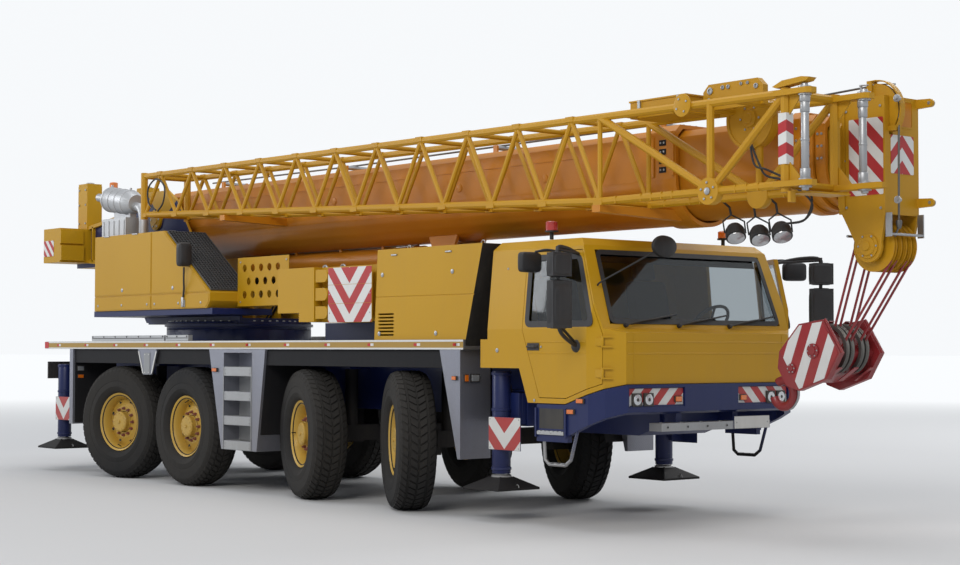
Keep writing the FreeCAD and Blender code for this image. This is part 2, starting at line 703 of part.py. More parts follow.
def chassis_frame():
    """Box frame, low front end, outrigger tunnels, bearers, pedestal and ballast rails."""
    outline = (
        (FRAME_REAR, FRAME_BOTTOM), (FRAME_REAR, FRAME_TOP), (FRAME_NOSE_STATION, FRAME_TOP),
        (FRAME_NOSE_STATION + 60.0, FRAME_NOSE_TOP), (FRAME_FRONT, FRAME_NOSE_TOP),
        (FRAME_FRONT, LOW_FRAME_TOP), (LOW_FRAME_FRONT, LOW_FRAME_TOP),
        (LOW_FRAME_FRONT, LOW_FRAME_BOTTOM + 90.0), (LOW_FRAME_FRONT - 260.0, LOW_FRAME_BOTTOM),
        (FRAME_FRONT, LOW_FRAME_BOTTOM), (FRAME_FRONT - 180.0, FRAME_BOTTOM - 66.0),
        (OUTRIGGERS[0][1] - TUNNEL_WIDTH * 1.3, FRAME_BOTTOM - 66.0),
        (OUTRIGGERS[0][1] - TUNNEL_WIDTH * 2.2, FRAME_BOTTOM),
    )
    pieces = [side_prism(outline, -FRAME_HALF_WIDTH, FRAME_HALF_WIDTH)]
    pieces += [tunnel_box(station) for _, station in OUTRIGGERS]
    bottom = DECK_TOP - DECK_THICKNESS
    reach = FRONT_BOX_INNER_Y
    for station in BEARER_STATIONS:
        half = BEARER_WIDTH / 2
        pieces.append(front_prism(
            ((-reach, bottom), (reach, bottom), (reach, bottom - 40.0), (FRAME_HALF_WIDTH, bottom - 120.0),
             (-FRAME_HALF_WIDTH, bottom - 120.0), (-reach, bottom - 40.0)),
            station - half, station + half))
    pieces.append(Part.makeCylinder(RING_RADIUS, RING_JOINT_Z - FRAME_TOP + 60.0,
                                    point(SLEW_STATION, 0, FRAME_TOP - 60.0)))
    for _, station, _, _ in AXLES:
        for sign in (-1, 1):
            pieces.append(block(station - 90.0, station + 90.0, sign * (FRAME_HALF_WIDTH - 20.0),
                                sign * (SUSPENSION_Y + SUSPENSION_RADIUS + 20.0),
                                GUARD_UNDERSIDE - 70.0, GUARD_UNDERSIDE - 10.0))
    for station in (1900.0, 2600.0):
        pieces.append(block(station - 60.0, station + 60.0, -FRAME_HALF_WIDTH + 40.0,
                            FRAME_HALF_WIDTH - 40.0, LOW_FRAME_TOP - 20.0, CAB_SIDE[-2][1]))
    pieces.append(block(FRAME_REAR - JAW_REACH, FRAME_REAR + 40.0, -JAW_HALF_WIDTH, JAW_HALF_WIDTH,
                        *JAW_HEIGHTS))
    cuts = []
    for _, station in OUTRIGGERS:
        for side in ("right", "left"):
            middle = tunnel_centre(station, side)
            cuts.append(block(middle - TUNNEL_WIDTH / 2, middle + TUNNEL_WIDTH / 2,
                              -TUNNEL_END - 10.0, TUNNEL_END + 10.0, TUNNEL_BOTTOM,
                              TUNNEL_BOTTOM + TUNNEL_HEIGHT))
    cuts.append(upright(SLEW_STATION, 0, FRAME_TOP, RING_JOINT_Z + 10.0, RING_BORE))
    cuts.append(block(FRAME_REAR - JAW_REACH - 10.0, FRAME_REAR - 20.0, -JAW_HALF_WIDTH - 10.0,
                      JAW_HALF_WIDTH + 10.0, *JAW_SLOT))
    cuts.append(upright(FRAME_REAR - JAW_PIN_SETBACK, 0, JAW_HEIGHTS[0] - 10.0, JAW_HEIGHTS[1] + 10.0,
                        JAW_PIN_RADIUS))
    frame = without(joined(pieces), cuts)
    rails = [block(SLAB_ENDS[0], SLAB_ENDS[1], sign * SLAB_RAIL_Y, sign * (SLAB_RAIL_Y + SLAB_RAIL_WIDTH),
                   DECK_TOP, SLAB_BOTTOM) for sign in (-1, 1)]
    return apart([frame] + rails)


def deck():
    """Chequer deck with a rail down each side and a round hole for the pedestal."""
    plate = block(DECK_REAR, DECK_FRONT, -BODY_HALF_WIDTH, BODY_HALF_WIDTH,
                  DECK_TOP - DECK_THICKNESS, DECK_TOP)
    rail = block(DECK_REAR, DECK_FRONT, BODY_HALF_WIDTH - RAIL_THICKNESS, BODY_HALF_WIDTH,
                 DECK_TOP - DECK_THICKNESS, DECK_TOP - DECK_THICKNESS + RAIL_HEIGHT)
    hole = upright(SLEW_STATION, 0, DECK_TOP - 2 * DECK_THICKNESS, DECK_TOP + 10.0,
                   RING_RADIUS + SEAT_GAP)
    return without(joined([plate] + both_sides(rail)), [hole])


def edge_station(edge, z):
    """Station at a height on a box's slanting edge, given as its top, foot and foot height."""
    top, foot, foot_z = edge
    under = DECK_TOP - DECK_THICKNESS
    return foot + (top - foot) * (z - foot_z) / (under - foot_z)


def mudguards():
    """Two long guards on each side: a top plate, an outer valance and slanting ends."""
    under = DECK_TOP - DECK_THICKNESS
    outer = BODY_HALF_WIDTH - RAIL_THICKNESS
    t = GUARD_THICKNESS
    # rear edge and front edge of each wheel opening
    runs = (
        ((REAR_BOX_ENDS[1], REAR_BOX_ENDS[1], REAR_BOX_BOTTOM),
         (SKIRT_TOP_ENDS[0], SKIRT_BOTTOM_ENDS[0], SKIRT_BOTTOM)),
        ((SKIRT_TOP_ENDS[1], SKIRT_BOTTOM_ENDS[1], SKIRT_BOTTOM),
         (FRONT_BOX_TOP, FRONT_BOX_FOOT, FRONT_BOX_BOTTOM)),
    )
    guards = []
    for rear, front in runs:
        arch = side_prism(
            [(edge_station(rear, z), z) for z in (GUARD_FOOT, GUARD_UNDERSIDE)]
            + [(edge_station(front, z), z) for z in (GUARD_UNDERSIDE, GUARD_FOOT)],
            GUARD_INNER_Y, outer)
        hollow = side_prism(
            [(edge_station(rear, z) + t, z) for z in (GUARD_FOOT - 1.0, GUARD_UNDERSIDE - t)]
            + [(edge_station(front, z) - t, z) for z in (GUARD_UNDERSIDE - t, GUARD_FOOT - 1.0)],
            0, outer + 10.0)
        valance = side_prism(
            [(edge_station(rear, z), z) for z in (VALANCE_BOTTOM, under)]
            + [(edge_station(front, z), z) for z in (under, VALANCE_BOTTOM)], outer - t, outer)
        guards.append(joined([arch.cut(hollow), valance]))
    return apart(guards + [mirrored(g) for g in guards])


def skirt_panels():
    """Chequer boxes between the wheels, with the ladder well in the middle ones."""
    under = DECK_TOP - DECK_THICKNESS
    outer = BODY_HALF_WIDTH - 2.0
    gap = SEAT_GAP
    top, foot = SKIRT_TOP_ENDS, SKIRT_BOTTOM_ENDS
    middle = side_prism(
        ((foot[0] + gap, SKIRT_BOTTOM), (top[0] + gap, under), (top[1] - gap, under),
         (foot[1] - gap, SKIRT_BOTTOM)), outer - SKIRT_DEPTH, outer)
    well = block(STEP_WELL[0], STEP_WELL[1], outer - STEP_WELL_DEPTH, outer + 10.0,
                 SKIRT_BOTTOM - 10.0, under - 40.0)
    parts = [without(middle, [well])]
    for i in range(STEP_COUNT):
        z = SKIRT_BOTTOM + i * STEP_PITCH
        parts.append(block(STEP_WELL[0] - 2.0, STEP_WELL[1] + 2.0, outer - STEP_WELL_DEPTH - 2.0, outer,
                           z + STEP_FACE - STEP_TREAD, z + STEP_FACE))
        parts.append(block(STEP_WELL[0] - 2.0, STEP_WELL[1] + 2.0, outer - 12.0, outer, z, z + STEP_FACE))
    ladder = joined(parts)
    front = side_prism(
        ((FRONT_BOX_FOOT + gap, FRONT_BOX_BOTTOM), (FRONT_BOX_TOP + gap, under), (FRONT_BOX_FACE, under),
         (FRONT_BOX_FACE, FRONT_BOX_BOTTOM)), FRONT_BOX_INNER_Y, outer)
    rear = block(REAR_BOX_ENDS[0], REAR_BOX_ENDS[1] - gap, FRONT_BOX_INNER_Y, outer,
                 REAR_BOX_BOTTOM, under)
    half_top, half_foot = MID_BRACKET_TOP / 2, MID_BRACKET_FOOT / 2
    bracket = side_prism(
        ((MID_BRACKET_STATION - half_foot, MID_BRACKET_BOTTOM),
         (MID_BRACKET_STATION - half_top, under), (MID_BRACKET_STATION + half_top, under),
         (MID_BRACKET_STATION + half_foot, MID_BRACKET_BOTTOM)),
        BODY_HALF_WIDTH - RAIL_THICKNESS, outer)
    solids = []
    for shape in (ladder, front, rear, bracket):
        solids += both_sides(shape)
    return apart(solids)


def engine_housing():
    """Hollow housing across the deck with seams and a louvred corner on each side."""
    outline = ((HOUSING_FOOT_ENDS[0], DECK_TOP), (HOUSING_TOP_ENDS[0], HOUSING_TOP),
               (HOUSING_TOP_ENDS[1], HOUSING_TOP), (HOUSING_FOOT_ENDS[1], DECK_TOP))
    outer = side_prism(outline, -HOUSING_HALF_WIDTH, HOUSING_HALF_WIDTH)
    wall = HOUSING_WALL
    hollow = offset_outline(outline, wall)
    low = ((hollow[0][0], DECK_TOP - 10.0), hollow[1], hollow[2], (hollow[3][0], DECK_TOP - 10.0))
    inner = side_prism(low, -HOUSING_HALF_WIDTH + wall, HOUSING_HALF_WIDTH - wall)
    cuts = [inner]
    face = HOUSING_HALF_WIDTH
    for sign in (-1, 1):
        skin = sorted((sign * (face - SEAM_DEPTH), sign * (face + 10.0)))
        cuts.append(block(-1000.0, 2000.0, skin[0], skin[1], HOUSING_SEAM_Z,
                          HOUSING_SEAM_Z + SEAM_WIDTH))
        through = sorted((sign * (face - wall - 5.0), sign * (face + 10.0)))
        for i in range(LOUVRE_COUNT):
            z = LOUVRE_Z + i * LOUVRE_PITCH
            x = HOUSING_FOOT_ENDS[0] + 70.0
            cuts.append(block(x, x + LOUVRE_LENGTH, through[0], through[1], z, z + LOUVRE_HEIGHT))
    return without(outer, cuts)


def ballast_slabs():
    """Two full slabs, two side slabs with the cylinder's channel between, and the boards."""
    rear, front = SLAB_ENDS
    half = SLAB_HALF_WIDTH
    t = SLAB_THICKNESS
    z = SLAB_BOTTOM
    waist = half - SLAB_RECESS
    plan = full_outline(((rear, half), (SLAB_SHOULDER, half), (SLAB_SHOULDER, waist), (front, waist)), 1)
    form = plan_prism(plan, z, z + 3 * t)
    undercut = block(rear - 10.0, rear + SLAB_STEP, -half - 10.0, half + 10.0, z - 10.0, z + SLAB_STEP_HEIGHT)
    first = without(form.common(block(rear, front, -half, half, z, z + t)), [undercut])
    second = form.common(block(rear, front, -half, half, z + t, z + 2 * t))
    third = form.common(block(rear, front, SLAB_CHANNEL / 2, half, z + 2 * t, z + 3 * t))
    third = joined([third, slab_ear(z + 2 * t)])
    layers = [joined([slab] + both_sides(slab_ear(low))) for slab, low in ((first, z), (second, z + t))]
    return apart(layers + both_sides(third) + both_sides(ballast_board()))


def slab_ear(low):
    """A slab's rounded lug on the left, standing out of its recessed side."""
    x0, x1 = SLAB_EAR_ENDS
    half = SLAB_HALF_WIDTH
    middle = low + SLAB_THICKNESS / 2
    r = SLAB_EAR_HEIGHT / 2
    y0, y1 = half - SLAB_RECESS - 20.0, half - 2.0
    return joined([block(x0, x1 - r, y0, y1, middle - r, middle + r), cross_rod(x1 - r, middle, y0, y1, r)])


def ballast_board():
    """The left warning board before the slabs' recess, on two brackets."""
    x0, x1 = BALLAST_BOARD_ENDS
    z0, z1 = BALLAST_BOARD_HEIGHTS
    face = SLAB_HALF_WIDTH
    inner = face - SLAB_RECESS + SEAT_GAP
    board = block(x0, x1, face - BALLAST_BOARD_THICKNESS, face, z0, z1)
    feet = [block(x - 25.0, x + 25.0, inner, face - 1.0, z0 + 60.0, z1 - 60.0)
            for x in (x0 + 120.0, x1 - 120.0)]
    return joined([board] + feet)


def cab_form(inset):
    """The cab's outer form, or the same form drawn in by an inset."""
    side = offset_outline(CAB_SIDE, inset)
    front = offset_outline(full_outline(CAB_FRONT_HALF, 0), inset)
    plan = offset_outline(full_outline(CAB_PLAN_HALF, 1), inset)
    body = side_prism(side, -CAB_REACH_Y, CAB_REACH_Y)
    body = body.common(front_prism(front, *CAB_REACH_X))
    return body.common(plan_prism(plan, *CAB_REACH_Z))


def right_prism(outline, depth=CAB_WALL):
    """A side outline carried into the cab's right wall to a depth."""
    inner = front_prism(offset_outline(full_outline(CAB_FRONT_HALF, 0), depth), *CAB_REACH_X)
    inner = inner.common(plan_prism(offset_outline(full_outline(CAB_PLAN_HALF, 1), depth), *CAB_REACH_Z))
    return side_prism(outline, -CAB_REACH_Y, -CAB_INSIDE_Y).cut(inner)


def hinge_barrels():
    """The right door's hinge barrels and the arms that carry them."""
    x, y = DOOR_HINGE[0], -DOOR_HINGE[1]
    half = HINGE_RADIUS * 0.7
    barrels = []
    for z in HINGE_FEET:
        low, high = z + SEAT_GAP, z + HINGE_LENGTH - SEAT_GAP
        barrel = upright(x, y, low, high, HINGE_RADIUS)
        arm = block(x - 80.0, x, y - half, y + half, low, high)
        bore = upright(x, y, low - 1.0, high + 1.0, HINGE_PIN_RADIUS + SEAT_GAP)
        barrels.append(without(joined([barrel, arm]), [bore]))
    return barrels


def hinge_pins():
    """The right door's hinge pins, each between two lugs on the front pillar."""
    x, y = DOOR_HINGE[0], -DOOR_HINGE[1]
    pins = []
    for z in HINGE_FEET:
        pins.append(upright(x, y, z - HINGE_LUG, z + HINGE_LENGTH + HINGE_LUG, HINGE_PIN_RADIUS))
        for low in (z - HINGE_LUG, z + HINGE_LENGTH):
            pins.append(upright(x, y, low, low + HINGE_LUG, HINGE_RADIUS))
            pins.append(plan_prism(
                ((x - HINGE_RADIUS + 1.0, y), (x + HINGE_RADIUS - 1.0, y - 4.0), (x + 60.0, y + 60.0),
                 (x + 20.0, y + 60.0), (x, y + 20.0)), low, low + HINGE_LUG))
    return pins


def cab_door(shell):
    """The right door, its mirrors and its window's pane, all closed."""
    leaf = shell.common(right_prism(offset_outline(DOOR_OUTLINE, DOOR_SEAM)))
    leaf = without(leaf, [right_prism(DOOR_WINDOW)])
    r = MIRROR_ARM_RADIUS
    y = -MIRROR_Y
    foot = point(2560.0, -1228.0, 1600.0)
    head = point(2520.0, -1172.0, 2400.0)
    low, high = MIRROR_HEADS[0][0] + 40.0, MIRROR_HEADS[1][1] + 30.0
    arms = [
        rod(foot, point(MIRROR_STATION, y, low), r),
        upright(MIRROR_STATION, y, low - 2 * r, high + 2 * r, r + 4.0),
        rod(point(MIRROR_STATION, y, high), head, r),
    ]
    heads = [block(MIRROR_STATION - 20.0, MIRROR_STATION - 20.0 + MIRROR_DEPTH, y - MIRROR_WIDTH / 2,
                   y + MIRROR_WIDTH / 2, z0, z1) for z0, z1 in MIRROR_HEADS]
    door = joined([leaf] + arms + heads + hinge_barrels())
    pane_skin = cab_form(GLASS_INSET).cut(cab_form(GLASS_INSET + GLASS_THICKNESS))
    pane = pane_skin.common(right_prism(offset_outline(DOOR_WINDOW, SEAT_GAP)))
    return door, pane


def parked_left(shape):
    """The right door's mirror image, standing open as the crane is parked."""
    hinge = point(DOOR_HINGE[0], DOOR_HINGE[1], 0)
    return turned(mirrored(shape), hinge, point(0, 0, 1), -LEFT_DOOR_OPEN)


def windscreen_prism(inset):
    outline = full_outline((WINDSCREEN_FOOT, WINDSCREEN_HEAD), 0)
    return front_prism(offset_outline(outline, inset), WINDSCREEN_STATION, CAB_REACH_X[1])


def cab_pieces():
    """Cab shell, windscreen, both doors and their panes."""
    shell = cab_form(0.0).cut(cab_form(CAB_WALL))
    door, pane = cab_door(shell)
    opening = right_prism(DOOR_OUTLINE, CAB_WALL + DOOR_REBATE)
    body = without(shell, [opening, mirrored(opening), windscreen_prism(0.0)])
    pins = hinge_pins()
    body = joined([body] + pins + [mirrored(pin) for pin in pins])
    skin = cab_form(GLASS_INSET).cut(cab_form(GLASS_INSET + GLASS_THICKNESS))
    screen = skin.common(windscreen_prism(SEAT_GAP))
    return body, screen, door, pane


def cab_interior():
    """Two seats, dashboard, wheel and engine tunnel on the cab floor."""
    dash = side_prism(DASH_SIDE, -DASH_HALF, DASH_HALF)
    dash = dash.common(cab_form(CAB_WALL + SEAT_GAP))
    leg = block(*DASH_LEG, -DASH_LEG_HALF, DASH_LEG_HALF, *DASH_LEG_HEIGHTS)
    seats = []
    for sign in (-1, 1):
        y0, y1 = (sign * edge for edge in CAB_SEAT_Y)
        seats.append(side_prism(CAB_SEAT_SIDE, y0, y1))
    hub = point(*WHEEL_HUB)
    foot = point(*COLUMN_FOOT)
    tilt = hub - foot
    column = rod(foot, hub, COLUMN_RADIUS)
    wheel_rim = Part.makeTorus(STEERING_RADIUS, STEERING_RIM_RADIUS, hub, tilt)
    thin, deep = STEERING_BAR
    bar = block(-thin, thin, -STEERING_RADIUS, STEERING_RADIUS, -deep, deep)
    bar.Placement = FreeCAD.Placement(hub, FreeCAD.Rotation(point(0, 0, 1), tilt))
    return apart([joined([dash, leg, column, wheel_rim, bar])] + seats)


def bumper():
    """Front bumper with lamp pockets and lamps, the steel step bar and the stirrups."""
    band = side_prism(BUMPER_SIDE, -CAB_REACH_Y, CAB_REACH_Y)
    half = tuple((x + (BUMPER_FRONT - CAB_FRONT), y) for x, y in CAB_PLAN_HALF)
    plan = full_outline(half, 1)
    low, high = BUMPER_REACH_Z
    outer = band.common(plan_prism(plan, low, high))
    inner_plan = offset_outline(plan, BUMPER_WALL)
    hollow = plan_prism(inner_plan, low - BUMPER_WALL, high + BUMPER_WALL)
    shell = without(outer, [hollow])
    panels, lamps, bars = [], [], []
    z0, z1 = LAMP_PANEL_HEIGHTS
    front = BUMPER_FRONT
    for sign in (-1, 1):
        y = sorted((sign * LAMP_PANEL[0], sign * LAMP_PANEL[1]))
        panels.append(block(front - LAMP_RECESS, front + 20.0, y[0], y[1], z0, z1))
        for place in LAMP_PAIR:
            lamps.append(rod(point(front - LAMP_RECESS - 10.0, sign * place, (z0 + z1) / 2 - 20.0),
                             point(front - 2.0, sign * place, (z0 + z1) / 2 - 20.0), LAMP_RADIUS))
        bars.append(side_prism(
            ((LOW_FRAME_FRONT, LOW_FRAME_TOP - 60.0), (front - BUMPER_WALL, LOW_FRAME_TOP + 40.0),
             (front - BUMPER_WALL, LOW_FRAME_TOP), (STEP_BAR_ENDS[0] + 20.0, STEP_BAR_HEIGHTS[0]),
             (LOW_FRAME_FRONT, LOW_FRAME_BOTTOM + 120.0)), sign * 330.0, sign * 400.0))
    step = block(STEP_BAR_ENDS[0], STEP_BAR_ENDS[1], -STEP_BAR_HALF, STEP_BAR_HALF, *STEP_BAR_HEIGHTS)
    plate = block(STEP_BAR_ENDS[1] - 1.0, STEP_BAR_ENDS[1] + 6.0, PLATE_Y - PLATE_SIZE[0] / 2,
                  PLATE_Y + PLATE_SIZE[0] / 2, STEP_BAR_HEIGHTS[0], STEP_BAR_HEIGHTS[0] + PLATE_SIZE[1])
    cross = block(front - BUMPER_WALL - 20.0, front - 10.0, -1000.0, 1000.0, BUMPER_LOW_Z,
                  BUMPER_LOW_Z + 60.0)
    body = joined([without(shell, panels), cross, step, plate] + lamps + bars)
    r = STIRRUP_RADIUS
    loops = []
    for sign in (-1, 1):
        y = sign * (CAB_PLAN_HALF[0][1] - 25.0)
        corners = [point(2120.0, y, 790.0), point(2135.0, y, STIRRUP_DROP + 40.0),
                   point(2190.0, y, STIRRUP_DROP), point(2400.0, y, STIRRUP_DROP),
                   point(2470.0, y, STIRRUP_DROP + 50.0), point(2560.0, y, 880.0)]
        loops += [rod(a, b, r) for a, b in zip(corners, corners[1:])]
        loops += [Part.makeSphere(r, c) for c in corners[1:-1]]
    return joined([body] + loops)


def outrigger_pieces(station, side):
    """Outer beam, inner beam with its jack casing, and the jack, drawn towards -Y."""
    middle = tunnel_centre(station, side)
    floor = TUNNEL_BOTTOM + SEAT_GAP
    half = TUNNEL_WIDTH / 2 - PASS_GAP
    height = TUNNEL_HEIGHT - 2 * PASS_GAP
    end = TUNNEL_END + 45.0
    outer = block(middle - half, middle + half, -end, BEAM_TAIL, floor, floor + height)
    t = BEAM_WALL
    outer = without(outer, [block(middle - half + t, middle + half - t, -end - 5.0, BEAM_TAIL + 5.0,
                                  floor + t, floor + height - t)])
    low = floor + t + SEAT_GAP
    slim = half - t - PASS_GAP
    tall = height - 2 * t - 2 * PASS_GAP
    inner = block(middle - slim, middle + slim, -end - 40.0, BEAM_TAIL - 90.0, low, low + tall)
    inner = without(inner, [block(middle - slim + t, middle + slim - t, -end, BEAM_TAIL, low + t,
                                  low + tall - t)])
    plate = block(min(station - 60.0, middle - half), max(station + 60.0, middle + half), -end - 40.0,
                  -end - PASS_GAP, floor, floor + height)
    casing = upright(station, -JACK_Y, JACK_CASING_BOTTOM, JACK_CASING_TOP, JACK_CASING_RADIUS)
    bore = upright(station, -JACK_Y, JACK_CASING_BOTTOM - 10.0, JACK_CASING_TOP - 20.0,
                   JACK_ROD_RADIUS + SEAT_GAP)
    board_y = -JACK_Y - JACK_CASING_RADIUS
    board = block(station - 75.0, station - 75.0 + BOARD_LENGTH, board_y - BOARD_THICKNESS + 2.0,
                  board_y + 2.0, BOARD_BOTTOM, BOARD_BOTTOM + BOARD_HEIGHT)
    rib = block(station - 10.0, station + 180.0, -JACK_Y, -JACK_Y + 16.0, BOARD_BOTTOM + 20.0,
                BOARD_BOTTOM + BOARD_HEIGHT - 20.0)
    rib_end = block(station + 164.0, station + 180.0, board_y, -end - 20.0, BOARD_BOTTOM + 20.0,
                    BOARD_BOTTOM + BOARD_HEIGHT - 20.0)
    arm = without(joined([inner, plate, casing, board, rib, rib_end]), [bore])
    return outer, arm, jack(station)


def jack(station):
    """Jack rod with its square foot plate, retracted."""
    top = JACK_CASING_TOP - 60.0
    shaft = upright(station, -JACK_Y, PAD_BOTTOM + PAD_HEIGHT - 12.0, top, JACK_ROD_RADIUS)
    half = PAD_SIZE / 2
    base = block(station - half, station + half, -JACK_Y - half, -JACK_Y + half, PAD_BOTTOM,
                 PAD_BOTTOM + PAD_RIM)
    z0, z1 = PAD_BOTTOM + PAD_RIM, PAD_BOTTOM + PAD_HEIGHT
    narrow = JACK_ROD_RADIUS + 24.0
    wires = []
    for z, h in ((z0, half - 4.0), (z1, narrow)):
        corners = [point(station - h, -JACK_Y - h, z), point(station + h, -JACK_Y - h, z),
                   point(station + h, -JACK_Y + h, z), point(station - h, -JACK_Y + h, z)]
        wires.append(Part.makePolygon(corners + [corners[0]]))
    slope = Part.makeLoft(wires, True, True)
    return joined([base, slope, shaft])


def turntable():
    """Upper ring, floor, two cheeks, platforms, tail beam, lift posts and the pivot pin."""
    x = SLEW_STATION
    ring = Part.makeCylinder(RING_RADIUS, RING_TOP - RING_JOINT_Z - SEAT_GAP,
                             point(x, 0, RING_JOINT_Z + SEAT_GAP))
    outer = CHEEK_Y + CHEEK_THICKNESS
    cheek = side_prism(CHEEK_SIDE, CHEEK_Y, outer)
    floor = block(PLATFORM_ENDS[0], CHEEK_SIDE[0][0], -outer, outer, RING_TOP - 20.0,
                  RING_TOP - 20.0 + FLOOR_THICKNESS)
    right = block(PLATFORM_ENDS[0], PLATFORM_ENDS[1], -COVER_OUTER_Y + 20.0, -CHEEK_Y,
                  PLATFORM_TOP - PLATFORM_THICKNESS, PLATFORM_TOP)
    left = block(-5600.0, -5120.0, CHEEK_Y, CRANE_CAB_Y[1] - 60.0, PLATFORM_TOP - PLATFORM_THICKNESS,
                 PLATFORM_TOP)
    seat = block(-4900.0, -3900.0, CHEEK_Y, CRANE_CAB_Y[0], 2060.0, 2180.0)
    tail_rear, tail_top = CHEEK_SIDE[7]
    tail_bottom = CHEEK_SIDE[8][1]
    beam = block(tail_rear - 70.0, tail_rear - 70.0 + TAIL_BEAM_DEPTH, -TAIL_BEAM_HALF, TAIL_BEAM_HALF,
                 tail_bottom, tail_top)
    tail_front = CHEEK_SIDE[9][0]
    back = block(tail_front, tail_rear, -outer, outer, tail_bottom - 60.0, tail_bottom - 20.0)
    posts = [block(POST_STATION - 130.0, POST_STATION + 130.0, sign * POST_Y,
                   sign * (POST_Y + POST_WIDTH), tail_top - 20.0, POST_TOP) for sign in (-1, 1)]
    bearers = [block(tail_front - 50.0, tail_rear, sign * (CHEEK_Y - 60.0), sign * outer,
                     tail_bottom - 60.0, tail_bottom + 40.0) for sign in (-1, 1)]
    pin = cross_rod(PIVOT_STATION, PIVOT_Z, -outer - 30.0, outer + 30.0, PIVOT_PIN_RADIUS)
    foot_x, foot_z = DERRICK_FOOT
    lug = joined([
        cross_rod(foot_x, foot_z, DERRICK_LUG_Y, DERRICK_LUG_Y + DERRICK_LUG_THICKNESS, 120.0),
        side_prism(((foot_x - 300.0, RING_TOP), (foot_x - 118.0, foot_z), (foot_x + 118.0, foot_z),
                    (foot_x + 220.0, RING_TOP)), DERRICK_LUG_Y, DERRICK_LUG_Y + DERRICK_LUG_THICKNESS)])
    foot_pin = cross_rod(foot_x, foot_z, -DERRICK_LUG_Y - 60.0, DERRICK_LUG_Y + 60.0, DERRICK_PIN_RADIUS)
    return joined([ring, floor, right, left, seat, beam, back, pin, foot_pin] + posts + bearers
                  + both_sides(cheek) + both_sides(lug))


def winch():
    """Hoist drum with flanges and its gearbox, carried between the cheeks."""
    half = WINCH_HALF_WIDTH
    profile = (
        (0.0, -half), (WINCH_FLANGE_RADIUS, -half), (WINCH_FLANGE_RADIUS, -half + 25.0),
        (WINCH_RADIUS, -half + 25.0), (WINCH_RADIUS, half - 25.0), (WINCH_FLANGE_RADIUS, half - 25.0),
        (WINCH_FLANGE_RADIUS, half), (0.0, half),
    )
    drum = spun(profile, WINCH_STATION, WINCH_Z)
    gear = cross_rod(WINCH_STATION, WINCH_Z, half - 5.0, CHEEK_Y, 170.0)
    stub = cross_rod(WINCH_STATION, WINCH_Z, -half + 5.0, -CHEEK_Y, 110.0)
    return joined([drum, gear, stub])


def upper_engine_cover():
    """Cover on the right platform, its silencer on legs and the drilled step plate."""
    cover = side_prism(COVER_SIDE, -COVER_OUTER_Y, -COVER_INNER_Y)
    skin = (-COVER_OUTER_Y - 10.0, -COVER_OUTER_Y + SEAM_DEPTH)
    seams = [
        block(COVER_SEAM_STATION, COVER_SEAM_STATION + SEAM_WIDTH, skin[0], skin[1], 1900.0, 3100.0),
        block(COVER_SIDE[0][0] - 100.0, COVER_SIDE[3][0] + 160.0, skin[0], skin[1], COVER_SEAM_Z,
              COVER_SEAM_Z + SEAM_WIDTH),
    ]
    cover = without(cover, seams)
    y = -SILENCER_Y
    cover_top = COVER_SIDE[1][1]
    box = block(SILENCER_BOX_ENDS[0], SILENCER_BOX_ENDS[1], y - 170.0, y + 150.0, cover_top - 10.0,
                SILENCER_BOX_TOP)
    stand = block(SILENCER_BOX_ENDS[0] + 80.0, SILENCER_BOX_ENDS[1] - 120.0, y - 45.0, y + 45.0,
                  SILENCER_BOX_TOP - 10.0, SILENCER_FRONT[1])
    plate = block(STEP_PLATE_ENDS[0] - 25.0, STEP_PLATE_ENDS[1], -STEP_PLATE_Y - STEP_PLATE_THICKNESS,
                  -STEP_PLATE_Y, *STEP_PLATE_HEIGHTS)
    holes = []
    for row in range(STEP_HOLE_ROWS):
        z = STEP_PLATE_HEIGHTS[0] + 130.0 + row * STEP_HOLE_PITCH[1]
        x = STEP_PLATE_ENDS[0] + 120.0 + (row % 2) * STEP_HOLE_PITCH[0] / 2
        while x < STEP_PLATE_ENDS[1] - STEP_HOLE_RADIUS - 40.0:
            holes.append(cross_rod(x, z, -STEP_PLATE_Y - 30.0, -STEP_PLATE_Y + 30.0, STEP_HOLE_RADIUS))
            x += STEP_HOLE_PITCH[0]
    plate = without(plate, holes)
    tread = block(STEP_PLATE_ENDS[0] - 25.0, STEP_PLATE_ENDS[1], -STEP_PLATE_Y - 2.0,
                  -COVER_INNER_Y + 40.0, STEP_PLATE_HEIGHTS[0], STEP_PLATE_HEIGHTS[0] + 40.0)
    return joined([cover, box, stand, silencer(), plate, tread])


def silencer():
    """Tapered silencer on the right, rising to the rear, with a cone at its rear end."""
    r = SILENCER_RADIUS
    length = SILENCER_LENGTH
    pipe = SILENCER_PIPE_RADIUS
    profile = ((0.0, 0.0), (r * 0.7, 0.0), (r, 130.0), (r, length - 290.0), (pipe, length - 60.0),
               (pipe, length), (0.0, length))
    section = face_of([point(-along, 0, across) for across, along in profile])
    form = section.revolve(point(0, 0, 0), point(1, 0, 0), 360)
    form = turned(form, point(0, 0, 0), point(0, 1, 0), SILENCER_SLOPE)
    form.translate(point(SILENCER_FRONT[0], -SILENCER_Y, SILENCER_FRONT[1]))
    return form


def crane_cab_form(inset):
    y0, y1 = CRANE_CAB_Y
    return side_prism(offset_outline(CRANE_CAB_SIDE, inset), y0 + inset, y1 - inset)


def crane_cab_windows(gap):
    """Outer side, front and inner side windows, drawn in by a gap."""
    y0, y1 = CRANE_CAB_Y
    reach = CRANE_WINDOW_EDGE
    rear, foot, top = CRANE_SIDE_WINDOW
    side = block(rear + gap, CRANE_DOOR_ENDS[0] - CRANE_WINDOW_POST - gap, y1 - reach, y1 + reach,
                 foot + gap, top - gap)
    rear, front, foot, top = CRANE_FRONT_WINDOW
    ahead = block(rear + gap, front, y0 + reach + gap, y1 - reach - gap, foot + gap, top - gap)
    rear, front, foot, top = CRANE_INNER_WINDOW
    inner = block(rear + gap, front - gap, y0 - reach, y0 + reach, foot + gap, top - gap)
    return [side, ahead, inner]


